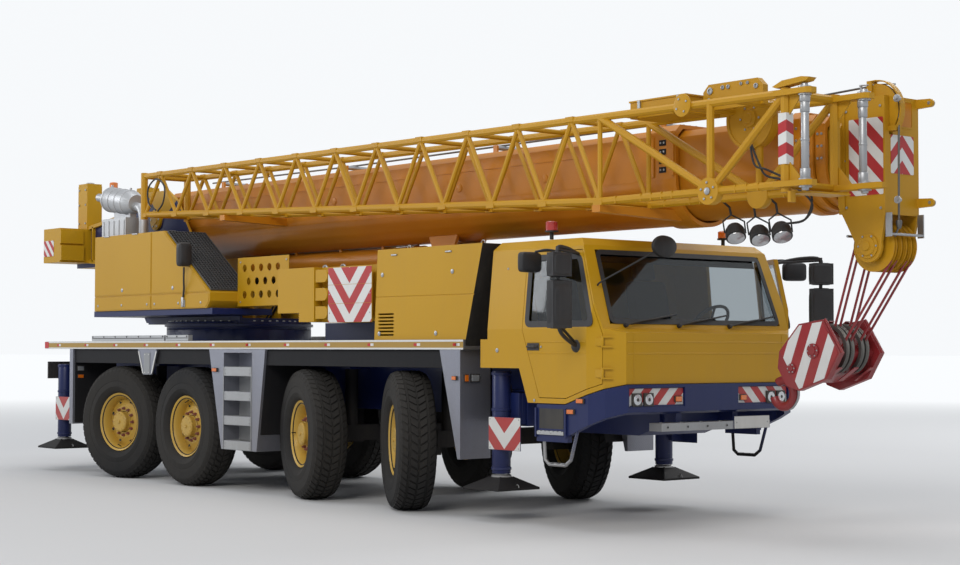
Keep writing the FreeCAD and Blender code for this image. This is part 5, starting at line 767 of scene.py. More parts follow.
def add_windscreen_trim():
    bm = bmesh.new()
    outline = [screen_point(y, z, 0.001) for y, z in ((-1.10, 1.79), (1.10, 1.79), (1.06, 2.44), (-1.06, 2.44))]
    add_frame_strip(bm, outline, 0.045, 0.006, 0, 0.07)
    for y in (-0.93, -0.27, 0.39):
        add_wiper(bm, y, 1.775, 0.36, 0.055)
    # wide-angle mirror on a thin arm before the screen
    head = []
    for dx, grow in ((0.0, 0.80), (0.020, 1.0), (0.045, 0.94), (0.062, 0.62), (0.068, 0.20)):
        head.append([at(2.915 + dx, -0.555 + 0.150 * grow * math.cos(a), 2.470 + 0.098 * grow * math.sin(a))
                     for a in (2 * math.pi * k / 32 for k in range(32))])
    loft(bm, head)
    add_tube(bm, smooth_path([screen_point(-1.135, 2.12, -0.01), screen_point(-1.12, 2.14, 0.06), at(2.86, -0.88, 2.30),
                              at(2.93, -0.62, 2.44)], 6), 0.0085, 8, 0)
    # sun visor band inside
    add_prism(bm, [screen_point(y, z, -0.030) for y, z in ((-1.0, 2.34), (1.0, 2.34), (1.0, 2.42), (-1.0, 2.42))],
              (screen_point(0, 2, -1.0) - screen_point(0, 2, 0.0)) * 0.004)
    piece("windscreen_trim", bm, "carrier", black_seals_and_shade, smooth=40.0)


def door_outline(inset):
    """Corners of the door window, drawn in by an inset, as (station, height)."""
    return ((1.905 + inset, 1.790 + inset), (2.745 - inset * 1.35, 1.790 + inset), (2.535 - inset, 2.385 - inset),
            (1.905 + inset, 2.385 - inset))


def mirror_head(bm, centre, width, height, depth):
    """A rounded mirror housing with its glass facing back."""
    x, y, z = centre
    rings = []
    for dx, grow in ((-0.5, 0.90), (-0.42, 0.99), (0.0, 1.0), (0.34, 0.93), (0.5, 0.74)):
        ring = []
        for k in range(28):
            a = 2 * math.pi * k / 28
            c, s = math.cos(a), math.sin(a)
            px = math.copysign(abs(c) ** 0.35, c) * width / 2 * grow
            pz = math.copysign(abs(s) ** 0.35, s) * height / 2 * grow
            ring.append(Vector((x + dx * depth, y + px, z + pz)))
        rings.append(ring)
    loft(bm, rings)


def door_details(side):
    """Seal, handle, hinges cover and mirrors of one door, closed, for the right; mirrored for the left."""
    bm = bmesh.new()
    hw = cab_half_width
    corners = [at(x, -hw(z) - 0.001, z) for x, z in door_outline(-0.026)]
    add_frame_strip(bm, corners, 0.056, -0.005, 0, 0.08, 0.0)
    # door handle in a recess cup
    y = -hw(1.6) - 0.002
    add_box(bm, at(1.925, y - 0.004, 1.560), at(2.085, y, 1.625), 0)
    add_tube(bm, [at(1.94, y - 0.004, 1.594), at(1.955, y - 0.028, 1.594), at(2.045, y - 0.028, 1.594),
                  at(2.06, y - 0.004, 1.594)], 0.011, 8, 0)
    # mirror heads, brackets and arms
    for zc, h in ((1.950, 0.415), (2.290, 0.215)):
        mirror_head(bm, (2.700 + AXLE_1_X, -1.570, zc), 0.226, h, 0.096)
        add_box(bm, at(2.668, -1.600, zc - 0.03), at(2.700, -1.540, zc + 0.03), 0)
    for z in (1.80, 2.10, 2.20, 2.36):
        add_lathe(bm, ((0.023, 0.0), (0.023, 0.030)), at(2.680, -1.570, z), (0, 0, 1), 14, 0)
    foot = at(2.560, -1.228, 1.600)
    add_lathe(bm, ((0.060, -0.012), (0.060, 0.018), (0.042, 0.040), (0.020, 0.052)), foot, (0.2, -1.0, 0.1), 20, 0)
    add_tube(bm, smooth_path([foot, at(2.60, -1.33, 1.62), at(2.655, -1.50, 1.70), at(2.680, -1.569, 1.80),
                              at(2.680, -1.570, 2.00)], 5), 0.0175, 10, 0)
    add_tube(bm, smooth_path([at(2.680, -1.570, 2.30), at(2.672, -1.565, 2.43), at(2.60, -1.40, 2.440),
                              at(2.52, -1.19, 2.40)], 5), 0.0175, 10, 0)
    # ramp mirror over the front corner
    add_tube(bm, smooth_path([at(2.30, -1.19, 2.425), at(2.26, -1.32, 2.44), at(2.22, -1.42, 2.42)], 5), 0.011, 8, 0)
    mirror_head(bm, (2.20 + AXLE_1_X, -1.46, 2.33), 0.24, 0.18, 0.07)
    # key barrel
    add_lathe(bm, ((0.010, 0.0), (0.010, 0.006)), at(2.11, y, 1.592), (0, -1, 0), 12, 1)
    mesh = mesh_from(bm, (mirror_black, bare_steel), 40.0)
    if side == "right":
        return place_piece("door_trim_right", mesh, "door_right", bevel=0.002)
    mesh.transform(Matrix.Diagonal((1.0, -1.0, 1.0, 1.0)))
    mesh.flip_normals()
    hinge = at(2.856, 1.216, 0)
    turn = Matrix.Translation(hinge) @ Matrix.Rotation(math.radians(-LEFT_DOOR_OPEN), 4, "Z") @ Matrix.Translation(-hinge)
    mesh.transform(turn)
    return place_piece("door_trim_left", mesh, "door_left", bevel=0.002)


LEFT_DOOR_OPEN = 33.0


def seat_form(name, middle, body, base, replaces):
    """A sprung seat: cushion, backrest and headrest as padded forms, facing +X; its pedestal is drawn with the cab's
    fittings.
    """
    x, y, z = base
    parts = []

    def pad(label, size, centre, tilt, crown):
        bm = bmesh.new()
        bmesh.ops.create_cube(bm, size=1.0)
        bmesh.ops.scale(bm, vec=size, verts=bm.verts)
        bmesh.ops.subdivide_edges(bm, edges=bm.edges[:], cuts=5, use_grid_fill=True)
        for v in bm.verts:
            u = [2 * v.co[i] / size[i] for i in range(3)]
            thin = min(range(3), key=lambda i: size[i])
            others = [i for i in range(3) if i != thin]
            bulge = crown * (1 - u[others[0]] ** 2) * (1 - u[others[1]] ** 2)
            v.co[thin] += math.copysign(bulge, u[thin]) if abs(u[thin]) > 0.3 else 0.0
            channel = math.cos(u[others[1]] * math.pi * 3.0)
            if abs(u[thin]) > 0.9 and abs(u[others[1]]) < 0.72:
                v.co[thin] -= math.copysign(0.008 * max(0.0, channel - 0.55), u[thin])
            for i in others:
                v.co[i] *= 1 - 0.05 * u[thin] ** 2
        mesh = mesh_from(bm, (seat_cloth,), 60.0)
        mesh.transform(Matrix.Translation(Vector(centre)) @ Matrix.Rotation(math.radians(tilt), 4, "Y"))
        obj = place_piece(label, mesh, body)
        soft = obj.modifiers.new("soft", "SUBSURF")
        soft.levels = soft.render_levels = 1
        parts.append(obj)

    pad(name + "_cushion", (0.50, 0.50, 0.13), (x, y, z), -3.0, 0.025)
    pad(name + "_back", (0.12, 0.48, 0.62), (x - 0.31, y, z + 0.36), -12.0, 0.022)
    pad(name + "_headrest", (0.09, 0.26, 0.17), (x - 0.40, y, z + 0.76), -12.0, 0.015)
    return parts


def add_cab_interior():
    bm = bmesh.new()
    dash = [(2.49, 1.50), (2.45, 1.64), (2.47, 1.69), (2.56, 1.73), (2.75, 1.705), (2.86, 1.66), (2.88, 1.60), (2.88, 1.50)]
    add_prism(bm, [at(x, -1.07, z) for x, z in dash], (0, 2.14, 0), 0)
    hood = [(2.44, 1.66), (2.47, 1.80), (2.58, 1.82), (2.66, 1.72)]
    add_prism(bm, [at(x, 0.36, z) for x, z in hood], (0, 0.46, 0), 0)
    add_box(bm, at(2.425, -0.20, 1.30), at(2.56, 0.16, 1.70), 0)
    for y, z in ((-0.12, 1.62), (0.0, 1.62), (0.10, 1.62), (-0.12, 1.54), (0.0, 1.54)):
        add_lathe(bm, ((0.016, 0.0), (0.016, 0.016)), at(2.425, y, z), (-1, 0, 0), 12, 0)
    hub, tilt = at(2.400, 0.590, 1.810), Vector((-0.170, 0, 0.150)).normalized()
    ring = ring_around(hub, tilt, 0.215, 40)
    add_tube(bm, ring, 0.016, 10, 0, True)
    for k in (2, 14, 28):
        add_tube(bm, [hub - tilt * 0.02, ring[k]], 0.013, 8, 0)
    add_lathe(bm, ((0.07, -0.03), (0.075, -0.005), (0.05, 0.012), (0.0, 0.014)), hub, tilt, 20, 0)
    add_rod(bm, at(2.57, 0.59, 1.66), hub, 0.028, 12, 0)
    for sign in (-1, 1):
        for x0, x1, z0, z1, w in ((1.72, 2.12, 1.40, 1.50, 0.20), (1.80, 2.05, 1.15, 1.40, 0.14),
                                  (1.74, 2.10, 1.137, 1.17, 0.19)):
            add_box(bm, at(x0, sign * 0.59 - w, z0), at(x1, sign * 0.59 + w, z1), 0)
    # bunk behind the seats and the centre console
    add_box(bm, at(1.42, -1.12, 1.62), at(1.60, 1.12, 1.72), 0)
    add_box(bm, at(2.10, -0.16, 1.14), at(2.44, 0.16, 1.42), 0)
    piece("cab_fittings", bm, "carrier", dash_grey, bevel=0.006, replaces=("cab_interior",), slot="seat_fabric")
    for label, y in (("driver_seat", 0.59), ("passenger_seat", -0.59)):
        seat_form(label, y, "carrier", at(1.93, y, 1.565), ())


add_windscreen_trim()
for side in ("right", "left"):
    door_details(side)
add_cab_interior()

# Deck edges, skirts, boards and lamps of the carrier.

strip_mustard = surface("strip_mustard", (0.40, 0.24, 0.035), (0.28, 0.16, 0.02), rough=0.45, vary=0.5, dirt=0.3,
                        dirt_height=1.7)
step_grey = surface("step_grey", (0.45, 0.46, 0.47), (0.30, 0.31, 0.32), rough=0.45, metallic=0.4, vary=0.6, dirt=0.35,
                    dirt_height=1.5, chequer=0.016)
alu_strip = surface("alu_strip", (0.50, 0.51, 0.52), (0.34, 0.35, 0.36), rough=0.4, metallic=0.5, vary=0.5, dirt=0.3,
                    dirt_height=1.8)
hose_black = surface("hose_black", (0.016, 0.016, 0.017), (0.03, 0.03, 0.03), rough=0.6, vary=0.4, dirt=0.2)
concrete_grey = surface("lamp_grey", (0.30, 0.31, 0.32), (0.20, 0.21, 0.22), rough=0.5, vary=0.4, dirt=0.3)


def chevron_finish(name, middle, axis, pitch=0.19, shift=0.0, slope=-1.0):
    """Red and white V stripes folded about the middle of a board."""
    mirror = (1.0, 0.0, 0.0) if axis == "X" else (0.0, 1.0, 0.0)
    return surface(name, (0.72, 0.72, 0.70), (0.58, 0.58, 0.56), rough=0.3, vary=0.3, dirt=0.28, dirt_height=1.9,
                   stripes=((0.42, 0.012, 0.015), (0.0, 0.0, slope), mirror, middle, pitch, shift), bump=0.05)


def slant_finish(name, along, pitch=0.19, shift=0.0):
    """Red and white stripes slanting one way."""
    return surface(name, (0.72, 0.72, 0.70), (0.58, 0.58, 0.56), rough=0.3, vary=0.3, dirt=0.28, dirt_height=1.9,
                   stripes=((0.42, 0.012, 0.015), along, (0.0, 0.0, 0.0), 0.0, pitch, shift), bump=0.05)


def add_deck_edges():
    """White, mustard and white strips along both deck rails, with small reflectors."""
    for side, sign in (("right", -1), ("left", 1)):
        bm = bmesh.new()
        y = sign * 1.2752
        for z0, z1, out, finish in ((1.5665, 1.583, 0.003, 0), (1.583, 1.640, 0.0012, 1), (1.640, 1.6585, 0.003, 0)):
            add_box(bm, at(-7.549, min(y, y + sign * out), z0), at(1.049, max(y, y + sign * out), z1), finish)
        for x in (-7.2, -6.45, -5.7, -4.95, -4.2, -3.45, -2.7, -1.95, -1.2, -0.45, 0.3, 0.9):
            add_box(bm, at(x, min(y, y + sign * 0.004), 1.600), at(x + 0.05, max(y, y + sign * 0.004), 1.626), 2)
            add_box(bm, at(x + 0.05, min(y, y + sign * 0.004), 1.600), at(x + 0.10, max(y, y + sign * 0.004), 1.626), 0)
        add_box(bm, at(-7.549, min(y, y + sign * 0.004), 1.575), at(-7.44, max(y, y + sign * 0.004), 1.655), 2)
        piece("deck_edge_" + side, bm, "carrier", board_white, strip_mustard, board_red)
        bm = bmesh.new()
        for x0, x1, split in ((-6.29, -4.50, 6), (-4.46, -3.95, 2)):
            y0, y1 = sorted((sign * 1.205, sign * 1.262))
            add_box(bm, at(x0, y0, 1.662), at(x1, y1, 1.728), 0)
            add_box(bm, at(x0 + 0.01, y0 - 0.002, 1.690), at(x1 - 0.01, y1 + 0.002, 1.698), 1)
            for k in range(split + 1):
                x = x0 + 0.03 + (x1 - x0 - 0.06) * k / split
                add_bolts(bm, [at(x, sign * 1.262, 1.712)], (0, sign, 0), 0.010, 0.006, 1)
        piece("deck_rail_box_" + side, bm, "carrier", alu_strip, black_seals_and_shade, bevel=0.003)


def add_deck_top():
    """Tread joints and lashing rings on the deck."""
    bm = bmesh.new()
    for x in (-7.0, -6.2, -2.5, -2.3, 0.4):
        for sign in (-1, 1):
            y = sign * 1.05
            ring = ring_around(at(x, y, 1.622), (1, 0, 0), 0.032, 16)
            add_tube(bm, ring, 0.007, 8, 0, True)
            add_box(bm, at(x - 0.012, y - 0.02, 1.6005), at(x + 0.012, y + 0.02, 1.618), 0)
    for x in (-6.85, -5.6, -4.2, -3.4):
        for sign in (-1, 1):
            y = sign * 0.80
            for k in range(4):
                add_bolts(bm, [at(x + 0.05 * k, y, 1.6005)], (0, 0, 1), 0.011, 0.007, 0)
    piece("deck_fittings", bm, "carrier", bare_steel)


def add_steps():
    """Light-grey ladder step covers in both skirts, ribbed on top."""
    for side, sign in (("right", -1), ("left", 1)):
        bm = bmesh.new()
        for k in range(4):
            z = 0.46 + 0.27 * k
            y0, y1 = sorted((sign * 1.2735, sign * 1.2755))
            add_box(bm, at(-3.14, y0, z + 0.004), at(-2.60, y1, z + 0.096), 0)
            y0, y1 = sorted((sign * 1.10, sign * 1.272))
            for r in range(6):
                add_box(bm, at(-3.12 + 0.09 * r, y0, z + 0.1002), at(-3.09 + 0.09 * r, y1, z + 0.1035), 0)
            for x in (-3.12, -2.62):
                add_bolts(bm, [at(x, sign * 1.2755, z + 0.03), at(x, sign * 1.2755, z + 0.07)], (0, sign, 0), 0.008, 0.004, 1)
        for x in (-3.155, -2.585):
            y0, y1 = sorted((sign * 1.2735, sign * 1.2785))
            add_box(bm, at(x - 0.006, y0, 0.465), at(x + 0.006, y1, 1.37), 1)
        piece("ladder_steps_" + side, bm, "carrier", step_grey, bare_steel, bevel=0.0015)


def marker_lamp(bm, centre, way, size, lens, frame_finish=0):
    """A framed rectangular lamp facing a direction."""
    way = Vector(way).normalized()
    side = Vector((0, 0, 1)).cross(way).normalized()
    up = way.cross(side)
    w, h = size[0] / 2, size[1] / 2
    for grow, depth, finish in ((1.0, 0.014, frame_finish), (0.78, 0.022, lens)):
        ring = [Vector(centre) + side * (sx * w * grow) + up * (sz * h * grow)
                for sx, sz in ((-1, -1), (1, -1), (1, 1), (-1, 1))]
        add_prism(bm, ring, way * depth, finish)


def add_side_lamps():
    """Marker lamps on the skirts and bumper, and the middle bracket with its light strips."""
    for side, sign in (("right", -1), ("left", 1)):
        bm = bmesh.new()
        marker_lamp(bm, at(1.0005, sign * 1.10, 1.30), (1, 0, 0), (0.11, 0.075), 1)
        marker_lamp(bm, at(1.0005, sign * 1.205, 1.30), (1, 0, 0), (0.05, 0.075), 2)
        marker_lamp(bm, at(-6.7695, sign * 1.17, 1.32), (1, 0, 0), (0.10, 0.07), 1)
        marker_lamp(bm, at(-6.7695, sign * 1.17, 1.22), (1, 0, 0), (0.09, 0.05), 2)
        marker_lamp(bm, at(-3.33, sign * 1.2745, 1.335), (0, sign, 0), (0.11, 0.045), 2)
        marker_lamp(bm, at(0.93, sign * 1.2745, 1.30), (0, sign, 0), (0.07, 0.04), 2)
        # bracket between the axles: light strips along its edges and a lamp box
        y = sign * 1.2745
        for x0, x1 in ((-5.085, -4.975), (-4.665, -4.775)):
            pts = [at(x0, y, 1.540), at(x0 + 0.022, y, 1.540), at(x1 + 0.022, y, 1.275), at(x1, y, 1.275)]
            add_prism(bm, pts, (0, sign * 0.005, 0), 3)
        y0, y1 = sorted((y, y + sign * 0.004))
        add_box(bm, at(-4.945, y0, 1.27), at(-4.805, y1, 1.52), 4)
        add_bolts(bm, [at(-4.92, y + sign * 0.004, 1.29), at(-4.83, y + sign * 0.004, 1.29),
                       at(-4.92, y + sign * 0.004, 1.50), at(-4.83, y + sign * 0.004, 1.50)], (0, sign, 0), 0.007, 0.004, 3)
        piece("side_lamps_" + side, bm, "carrier", black_seals_and_shade, lens_clear, lens_orange, board_white, concrete_grey,
              bevel=0.0015)


def add_rear():
    """Rear lamp carriers, their clusters and the bare plate's light."""
    bm = bmesh.new()
    for sign in (-1, 1):
        y0, y1 = sorted((sign * 0.62, sign * 1.18))
        add_box(bm, at(-7.668, y0, 1.18), at(-7.642, y1, 1.40), 0)
        for k, finish in enumerate((2, 1, 3, 2)):
            centre = at(-7.668, sign * (0.70 + 0.135 * k), 1.29)
            add_lathe(bm, ((0.055, 0.0), (0.055, 0.012), (0.050, 0.016)), centre, (-1, 0, 0), 24, 0)
            add_lathe(bm, ((0.047, 0.014), (0.045, 0.024), (0.030, 0.030), (0.0, 0.032)), centre, (-1, 0, 0), 24, finish)
        marker_lamp(bm, at(-7.552, sign * 1.215, 1.612), (-1, 0, 0), (0.09, 0.06), 2)
        for z in (1.20, 1.38):
            add_bolts(bm, [at(-7.668, sign * 0.635, z), at(-7.668, sign * 1.165, z)], (-1, 0, 0), 0.009, 0.005, 0)
    piece("rear_lamps", bm, "carrier", black_seals_and_shade, lens_orange, lens_red, lens_clear, bevel=0.0015)


def add_bumper_lamps():
    """Chevron panels with paired square headlamps, fog lamps and side markers on the bumper."""
    for side, sign in (("right", -1), ("left", 1)):
        bm = bmesh.new()
        y0, y1 = sorted((sign * 0.352, sign * 1.022))
        add_box(bm, at(2.9665, y0, 1.082), at(2.9705, y1, 1.234), 0)
        for y in (0.79, 0.93):
            centre = at(2.969, sign * y, 1.138)
            ring = []
            for grow, depth in ((1.0, 0.0), (1.0, 0.0205), (0.88, 0.0225)):
                w = 0.056 * grow
                ring.append([centre + Vector((depth, s * w, t * w)) for s, t in ((-1, -1), (1, -1), (1, 1), (-1, 1))])
            loft(bm, ring, 1)
            add_lathe(bm, ((0.047, 0.0222), (0.045, 0.0245), (0.030, 0.0255), (0.0, 0.0258)), centre, (1, 0, 0), 28, 2)
            add_lathe(bm, ((0.016, 0.0250), (0.014, 0.0268), (0.0, 0.0270)), centre, (1, 0, 0), 16, 1)
        marker_lamp(bm, at(2.969, sign * 0.42, 1.138), (1, 0, 0), (0.09, 0.055), 3, 1)
        for x, z in ((2.62, 1.125), (2.50, 1.03)):
            marker_lamp(bm, at(x, sign * 1.2495, z), (0, sign, 0), (0.10, 0.045), 3, 1)
        piece("bumper_lamps_" + side, bm, "carrier",
              chevron_finish("headlamp_stripes_" + side, 0.0, "Y", 0.21, 0.03, 1.0), black_seals_and_shade, lens_clear,
              lens_orange, bevel=0.0015)
    bm = bmesh.new()
    # treads on the step bar, each with a dark disc as painted shade for its grip hole, and the stirrups' steps
    for k in range(6):
        y = -0.625 + 0.25 * k
        add_lathe(bm, ((0.016, 0.0), (0.016, 0.004), (0.011, 0.006)), at(2.965, y, 0.9315), (0, 0, 1), 14, 0)
        add_lathe(bm, ((0.010, 0.0), (0.010, 0.0065)), at(2.965, y, 0.9315), (0, 0, 1), 12, 1)
        add_lathe(bm, ((0.014, 0.0), (0.014, 0.003)), at(3.0498, y, 0.897), (1, 0, 0), 14, 0)
        add_lathe(bm, ((0.010, 0.0), (0.010, 0.0035)), at(3.0498, y, 0.897), (1, 0, 0), 12, 1)
    for sign in (-1, 1):
        for x in (2.20, 2.28, 2.36):
            add_box(bm, at(x, sign * 1.225 - 0.022, 0.5735), at(x + 0.05, sign * 1.225 + 0.022, 0.5785), 0)
    piece("step_treads", bm, "carrier", bare_steel, hole_shade_and_black)
    bm = bmesh.new()
    add_panel(bm, [at(3.0565, 0.218, 0.866), at(3.0565, 0.682, 0.866), at(3.0565, 0.682, 0.970),
                   at(3.0565, 0.218, 0.970)], 0.003, 0, 0.012)
    add_bolts(bm, [at(3.0590, y, 0.918) for y in (0.245, 0.655)], (1, 0, 0), 0.007, 0.003, 1)
    piece("blank_plate", bm, "carrier", plate_white, bare_steel)


def add_front_panel():
    """Crease lines round the cab's front and doors, the step wells as flat black sheets of painted shade, their treads
    and small covers.
    """
    bm = bmesh.new()
    for z in (1.528, 1.628):
        add_prism(bm, [at(2.9702, -1.03, z), at(2.9735, -1.03, z + 0.004), at(2.9735, -1.03, z + 0.008),
                       at(2.9702, -1.03, z + 0.013)], (0, 2.06, 0), 0)
        add_prism(bm, [at(2.9702, -1.03, z), at(2.845, -1.20, z), at(2.847, -1.203, z + 0.009), at(2.9725, -1.032, z + 0.009)],
                  (0, 0, 0.004), 0)
    for y in (-0.96, 0.96):
        add_box(bm, at(2.9702, y - 0.004, 1.275), at(2.9725, y + 0.004, 1.708), 0)
    for sign in (-1, 1):
        y = sign * 1.2502
        for x, z, r in ((1.508, 1.560, 0.020), (1.60, 2.30, 0.010)):
            add_lathe(bm, ((r, 0.0), (r, 0.004), (r * 0.6, 0.006), (0.0, 0.006)),
                      at(x, sign * cab_half_width(z), z), (0, sign, 0), 20, 1)
        add_lathe(bm, ((0.013, 0.0), (0.013, 0.004), (0.0, 0.005)), at(2.02, y, 1.118), (0, sign, 0), 14, 1)
    piece("front_panel_trim", bm, "carrier", paint_yellow, bare_steel)
    bm = bmesh.new()
    for sign in (-1, 1):
        y = sign * 1.2503
        y0, y1 = sorted((y, y + sign * 0.002))
        # a flat black sheet stands in for the step well's recess: painted shade
        add_box(bm, at(2.085, y0, 0.875), at(2.402, y1, 1.050), 0)
        y0, y1 = sorted((y, y + sign * 0.018))
        add_box(bm, at(2.072, y0, 0.822), at(2.415, y1, 0.852), 1)
        for k in range(6):
            add_box(bm, at(2.085 + 0.054 * k, y0, 0.852), at(2.115 + 0.054 * k, y1, 0.857), 1)
        for x in (2.11, 2.25, 2.38):
            add_bolts(bm, [at(x, y + sign * 0.018, 0.837)], (0, sign, 0), 0.007, 0.003, 1)
        for x in (2.052, 2.436):
            add_box(bm, at(x - 0.010, y0, 0.80), at(x + 0.010, y1, 1.055), 2)
    piece("cab_step_wells", bm, "carrier", black_seals_and_shade, alu_strip, paint_navy, bevel=0.0015)
    # door creases ride on their doors
    for side in ("right", "left"):
        bm = bmesh.new()
        for z in (1.528, 1.628):
            x0 = 1.875 + (1.70 - z) * 0.384 + 0.012
            add_prism(bm, [at(x0, -1.2502, z), at(x0, -1.2532, z + 0.004), at(x0, -1.2532, z + 0.009),
                           at(x0, -1.2502, z + 0.013)], (2.680 - x0, 0, 0), 0)
        mesh = mesh_from(bm, (paint_yellow,), 34.0)
        if side == "left":
            mesh.transform(Matrix.Diagonal((1.0, -1.0, 1.0, 1.0)))
            mesh.flip_normals()
            hinge = at(2.856, 1.216, 0)
            mesh.transform(Matrix.Translation(hinge) @ Matrix.Rotation(math.radians(-LEFT_DOOR_OPEN), 4, "Z")
                           @ Matrix.Translation(-hinge))
        place_piece("door_creases_" + side, mesh, "door_" + side)


def add_outriggers():
    """V boards on the jacks' outer faces, clamp rings and feed pipes on the casings, and the pads' collars and ribs."""
    for end, station in (("front", 1.35), ("rear", -7.40)):
        for side, sign in (("right", -1), ("left", 1)):
            tag = end + "_" + side
            bm = bmesh.new()
            y = sign * 1.1555
            x0, x1 = station - 0.073, station + 0.368
            add_panel(bm, [at(x0, y, 0.652), at(x1, y, 0.652), at(x1, y, 0.948), at(x0, y, 0.948)],
                      0.002 if sign > 0 else -0.002, 0, 0.008)
            for x in (x0 + 0.02, x1 - 0.02):
                for z in (0.67, 0.93):
                    add_bolts(bm, [at(x, y, z)], (0, sign, 0), 0.006, 0.003, 1)
            piece("outrigger_board_" + tag, bm, "outrigger_arm_" + tag,
                  chevron_finish("board_stripes_" + tag, station + 0.147 + AXLE_1_X, "X", 0.289, 0.804), bare_steel)
            bm = bmesh.new()
            # clamp rings and feed pipes on the jack casing
            for z in (0.46, 1.00, 1.33):
                add_lathe(bm, ((0.0855, 0.0), (0.0935, 0.004), (0.0935, 0.026), (0.0855, 0.030)),
                          at(station, sign * 1.064, z), (0, 0, 1), 36, 0, True)
            for dx in (-0.03, 0.03):
                add_tube(bm, smooth_path([at(station + dx, sign * 0.984, 1.25), at(station + dx, sign * 0.965, 1.12),
                                          at(station + dx * 2, sign * 0.968, 0.98)], 4), 0.011, 8, 1)
            piece("jack_fittings_" + tag, bm, "outrigger_arm_" + tag, paint_navy, hose_black)
            bm = bmesh.new()
            centre = at(station, sign * 1.064, 0)
            for k in range(4):
                angle = math.pi / 4 + k * math.pi / 2
                way = Vector((math.cos(angle), math.sin(angle), 0))
                flat = Vector((-way.y, way.x, 0)) * 0.008
                low = centre + way * 0.315 + Vector((0, 0, 0.309))
                high = centre + way * 0.105 + Vector((0, 0, 0.404))
                foot = centre + way * 0.105 + Vector((0, 0, 0.309))
                add_prism(bm, [low - flat, high - flat, foot - flat], flat * 2, 0)
            add_lathe(bm, ((0.064, 0.398), (0.094, 0.398), (0.094, 0.412), (0.078, 0.424), (0.064, 0.424)), centre,
                      (0, 0, 1), 36, 1, True)
            ring = ring_around(centre + Vector((0.225, 0, 0.316)), (0, 1, 0), 0.020, 14)
            add_tube(bm, ring, 0.005, 8, 1, True)
            piece("pad_fittings_" + tag, bm, "jack_" + tag, black_guards_and_shade, bare_steel)


def add_housing_details():
    """Latches, hinges, lifting eyes and the roof grille of the engine housing."""
    bm = bmesh.new()
    for sign in (-1, 1):
        face = sign * 1.2435
        for x, z in ((-0.30, 1.72), (0.60, 1.72), (-0.25, 2.30), (0.85, 2.30)):
            centre = at(x, face, z)
            add_lathe(bm, ((0.022, 0.0), (0.022, 0.005), (0.016, 0.007), (0.0, 0.008)), centre, (0, sign, 0), 18, 0)
            add_box(bm, centre + Vector((-0.016, -0.0015 if sign > 0 else -0.0105, -0.003)),
                    centre + Vector((0.016, 0.0105 if sign > 0 else 0.0015, 0.003)), 0)
        for x in (-0.10, 0.75):
            for z in (2.49,):
                add_rod(bm, at(x, face + sign * 0.004, z), at(x + 0.09, face + sign * 0.004, z), 0.009, 10, 0)
    for x, y in ((-0.20, -0.95), (0.95, -0.95), (-0.20, 0.95), (0.95, 0.95)):
        add_tube(bm, ring_around(at(x, y, 2.575), (0, 1, 0), 0.026, 16), 0.007, 8, 0, True)
        add_lathe(bm, ((0.020, 0.0), (0.016, 0.012)), at(x, y, 2.5495), (0, 0, 1), 14, 0)
    piece("housing_fittings", bm, "carrier", bare_steel)
    bm = bmesh.new()
    for x0, x1, y0, y1 in ((0.05, 0.85, -0.72, -0.12), (0.05, 0.85, 0.12, 0.72)):
        add_box(bm, at(x0, y0, 2.5502), at(x1, y1, 2.556), 0)
        count = 15
        for k in range(count):
            x = x0 + 0.03 + (x1 - x0 - 0.06) * k / count
            add_prism(bm, [at(x, y0 + 0.02, 2.556), at(x + 0.026, y0 + 0.02, 2.556), at(x + 0.010, y0 + 0.02, 2.568)],
                      (0, y1 - y0 - 0.04, 0), 0)
    piece("housing_roof_grille", bm, "carrier", black_seals_and_shade)


def add_slab_details():
    """V boards in three leaves before the slabs, and lifting slots in the slabs' top."""
    for side, sign in (("right", -1), ("left", 1)):
        bm = bmesh.new()
        y = sign * 1.2555
        for z0, z1 in ((1.842, 2.030), (2.034, 2.222), (2.226, 2.398)):
            pts = [at(-1.165, y, z0), at(-0.415, y, z0), at(-0.415, y, z1), at(-1.165, y, z1)]
            if sign > 0:
                pts.reverse()
            add_panel(bm, pts, 0.003, 0, 0.006)
            for x in (-1.14, -0.44):
                add_bolts(bm, [at(x, y + sign * 0.003, (z0 + z1) / 2)], (0, sign, 0), 0.008, 0.003, 1)
        piece("ballast_board_" + side, bm, "carrier",
              chevron_finish("ballast_stripes_" + side, -0.79 + AXLE_1_X, "X", 0.28, 0.05, -0.9), bare_steel)
    bm = bmesh.new()
    for sign in (-1, 1):
        for x in (-1.95, -1.62):
            add_tube(bm, ring_around(at(x, sign * 0.75, 2.421), (0, 1, 0), 0.045, 18), 0.012, 8, 0, True)
            add_lathe(bm, ((0.060, 0.0), (0.060, 0.004), (0.052, 0.006)), at(x, sign * 0.75, 2.4172), (0, 0, 1), 20, 0)
    piece("ballast_fittings", bm, "carrier", bare_steel)


add_deck_edges()
add_deck_top()
add_steps()
add_side_lamps()
add_rear()
add_bumper_lamps()
add_front_panel()
add_outriggers()
add_housing_details()
add_slab_details()
recolour("skirt_panels", step_grey, at(-3.15, -1.274, 0.45), at(-2.59, 1.274, 1.38))
for end, station in (("front", 1.35), ("rear", -7.40)):
    for side, sign in (("right", -1), ("left", 1)):
        recolour("jack_" + end + "_" + side, chrome, at(station - 0.07, sign * 1.064 - 0.07, 0.402),
                 at(station + 0.07, sign * 1.064 + 0.07, 2.0))
        recolour("jack_" + end + "_" + side, black_guards_and_shade, at(station - 0.30, sign * 1.064 - 0.30, 0.28),
                 at(station + 0.30, sign * 1.064 + 0.30, 0.401))
recolour("door_right", mirror_black, at(2.40, -1.80, 1.55), at(2.80, -1.262, 2.60))
recolour("door_left", mirror_black, at(2.60, 1.43, 1.55), at(3.60, 2.60, 2.60))
recolour("bumper", bare_steel, at(1.9, -1.3, 0.50), at(2.7, -1.19, 0.757))
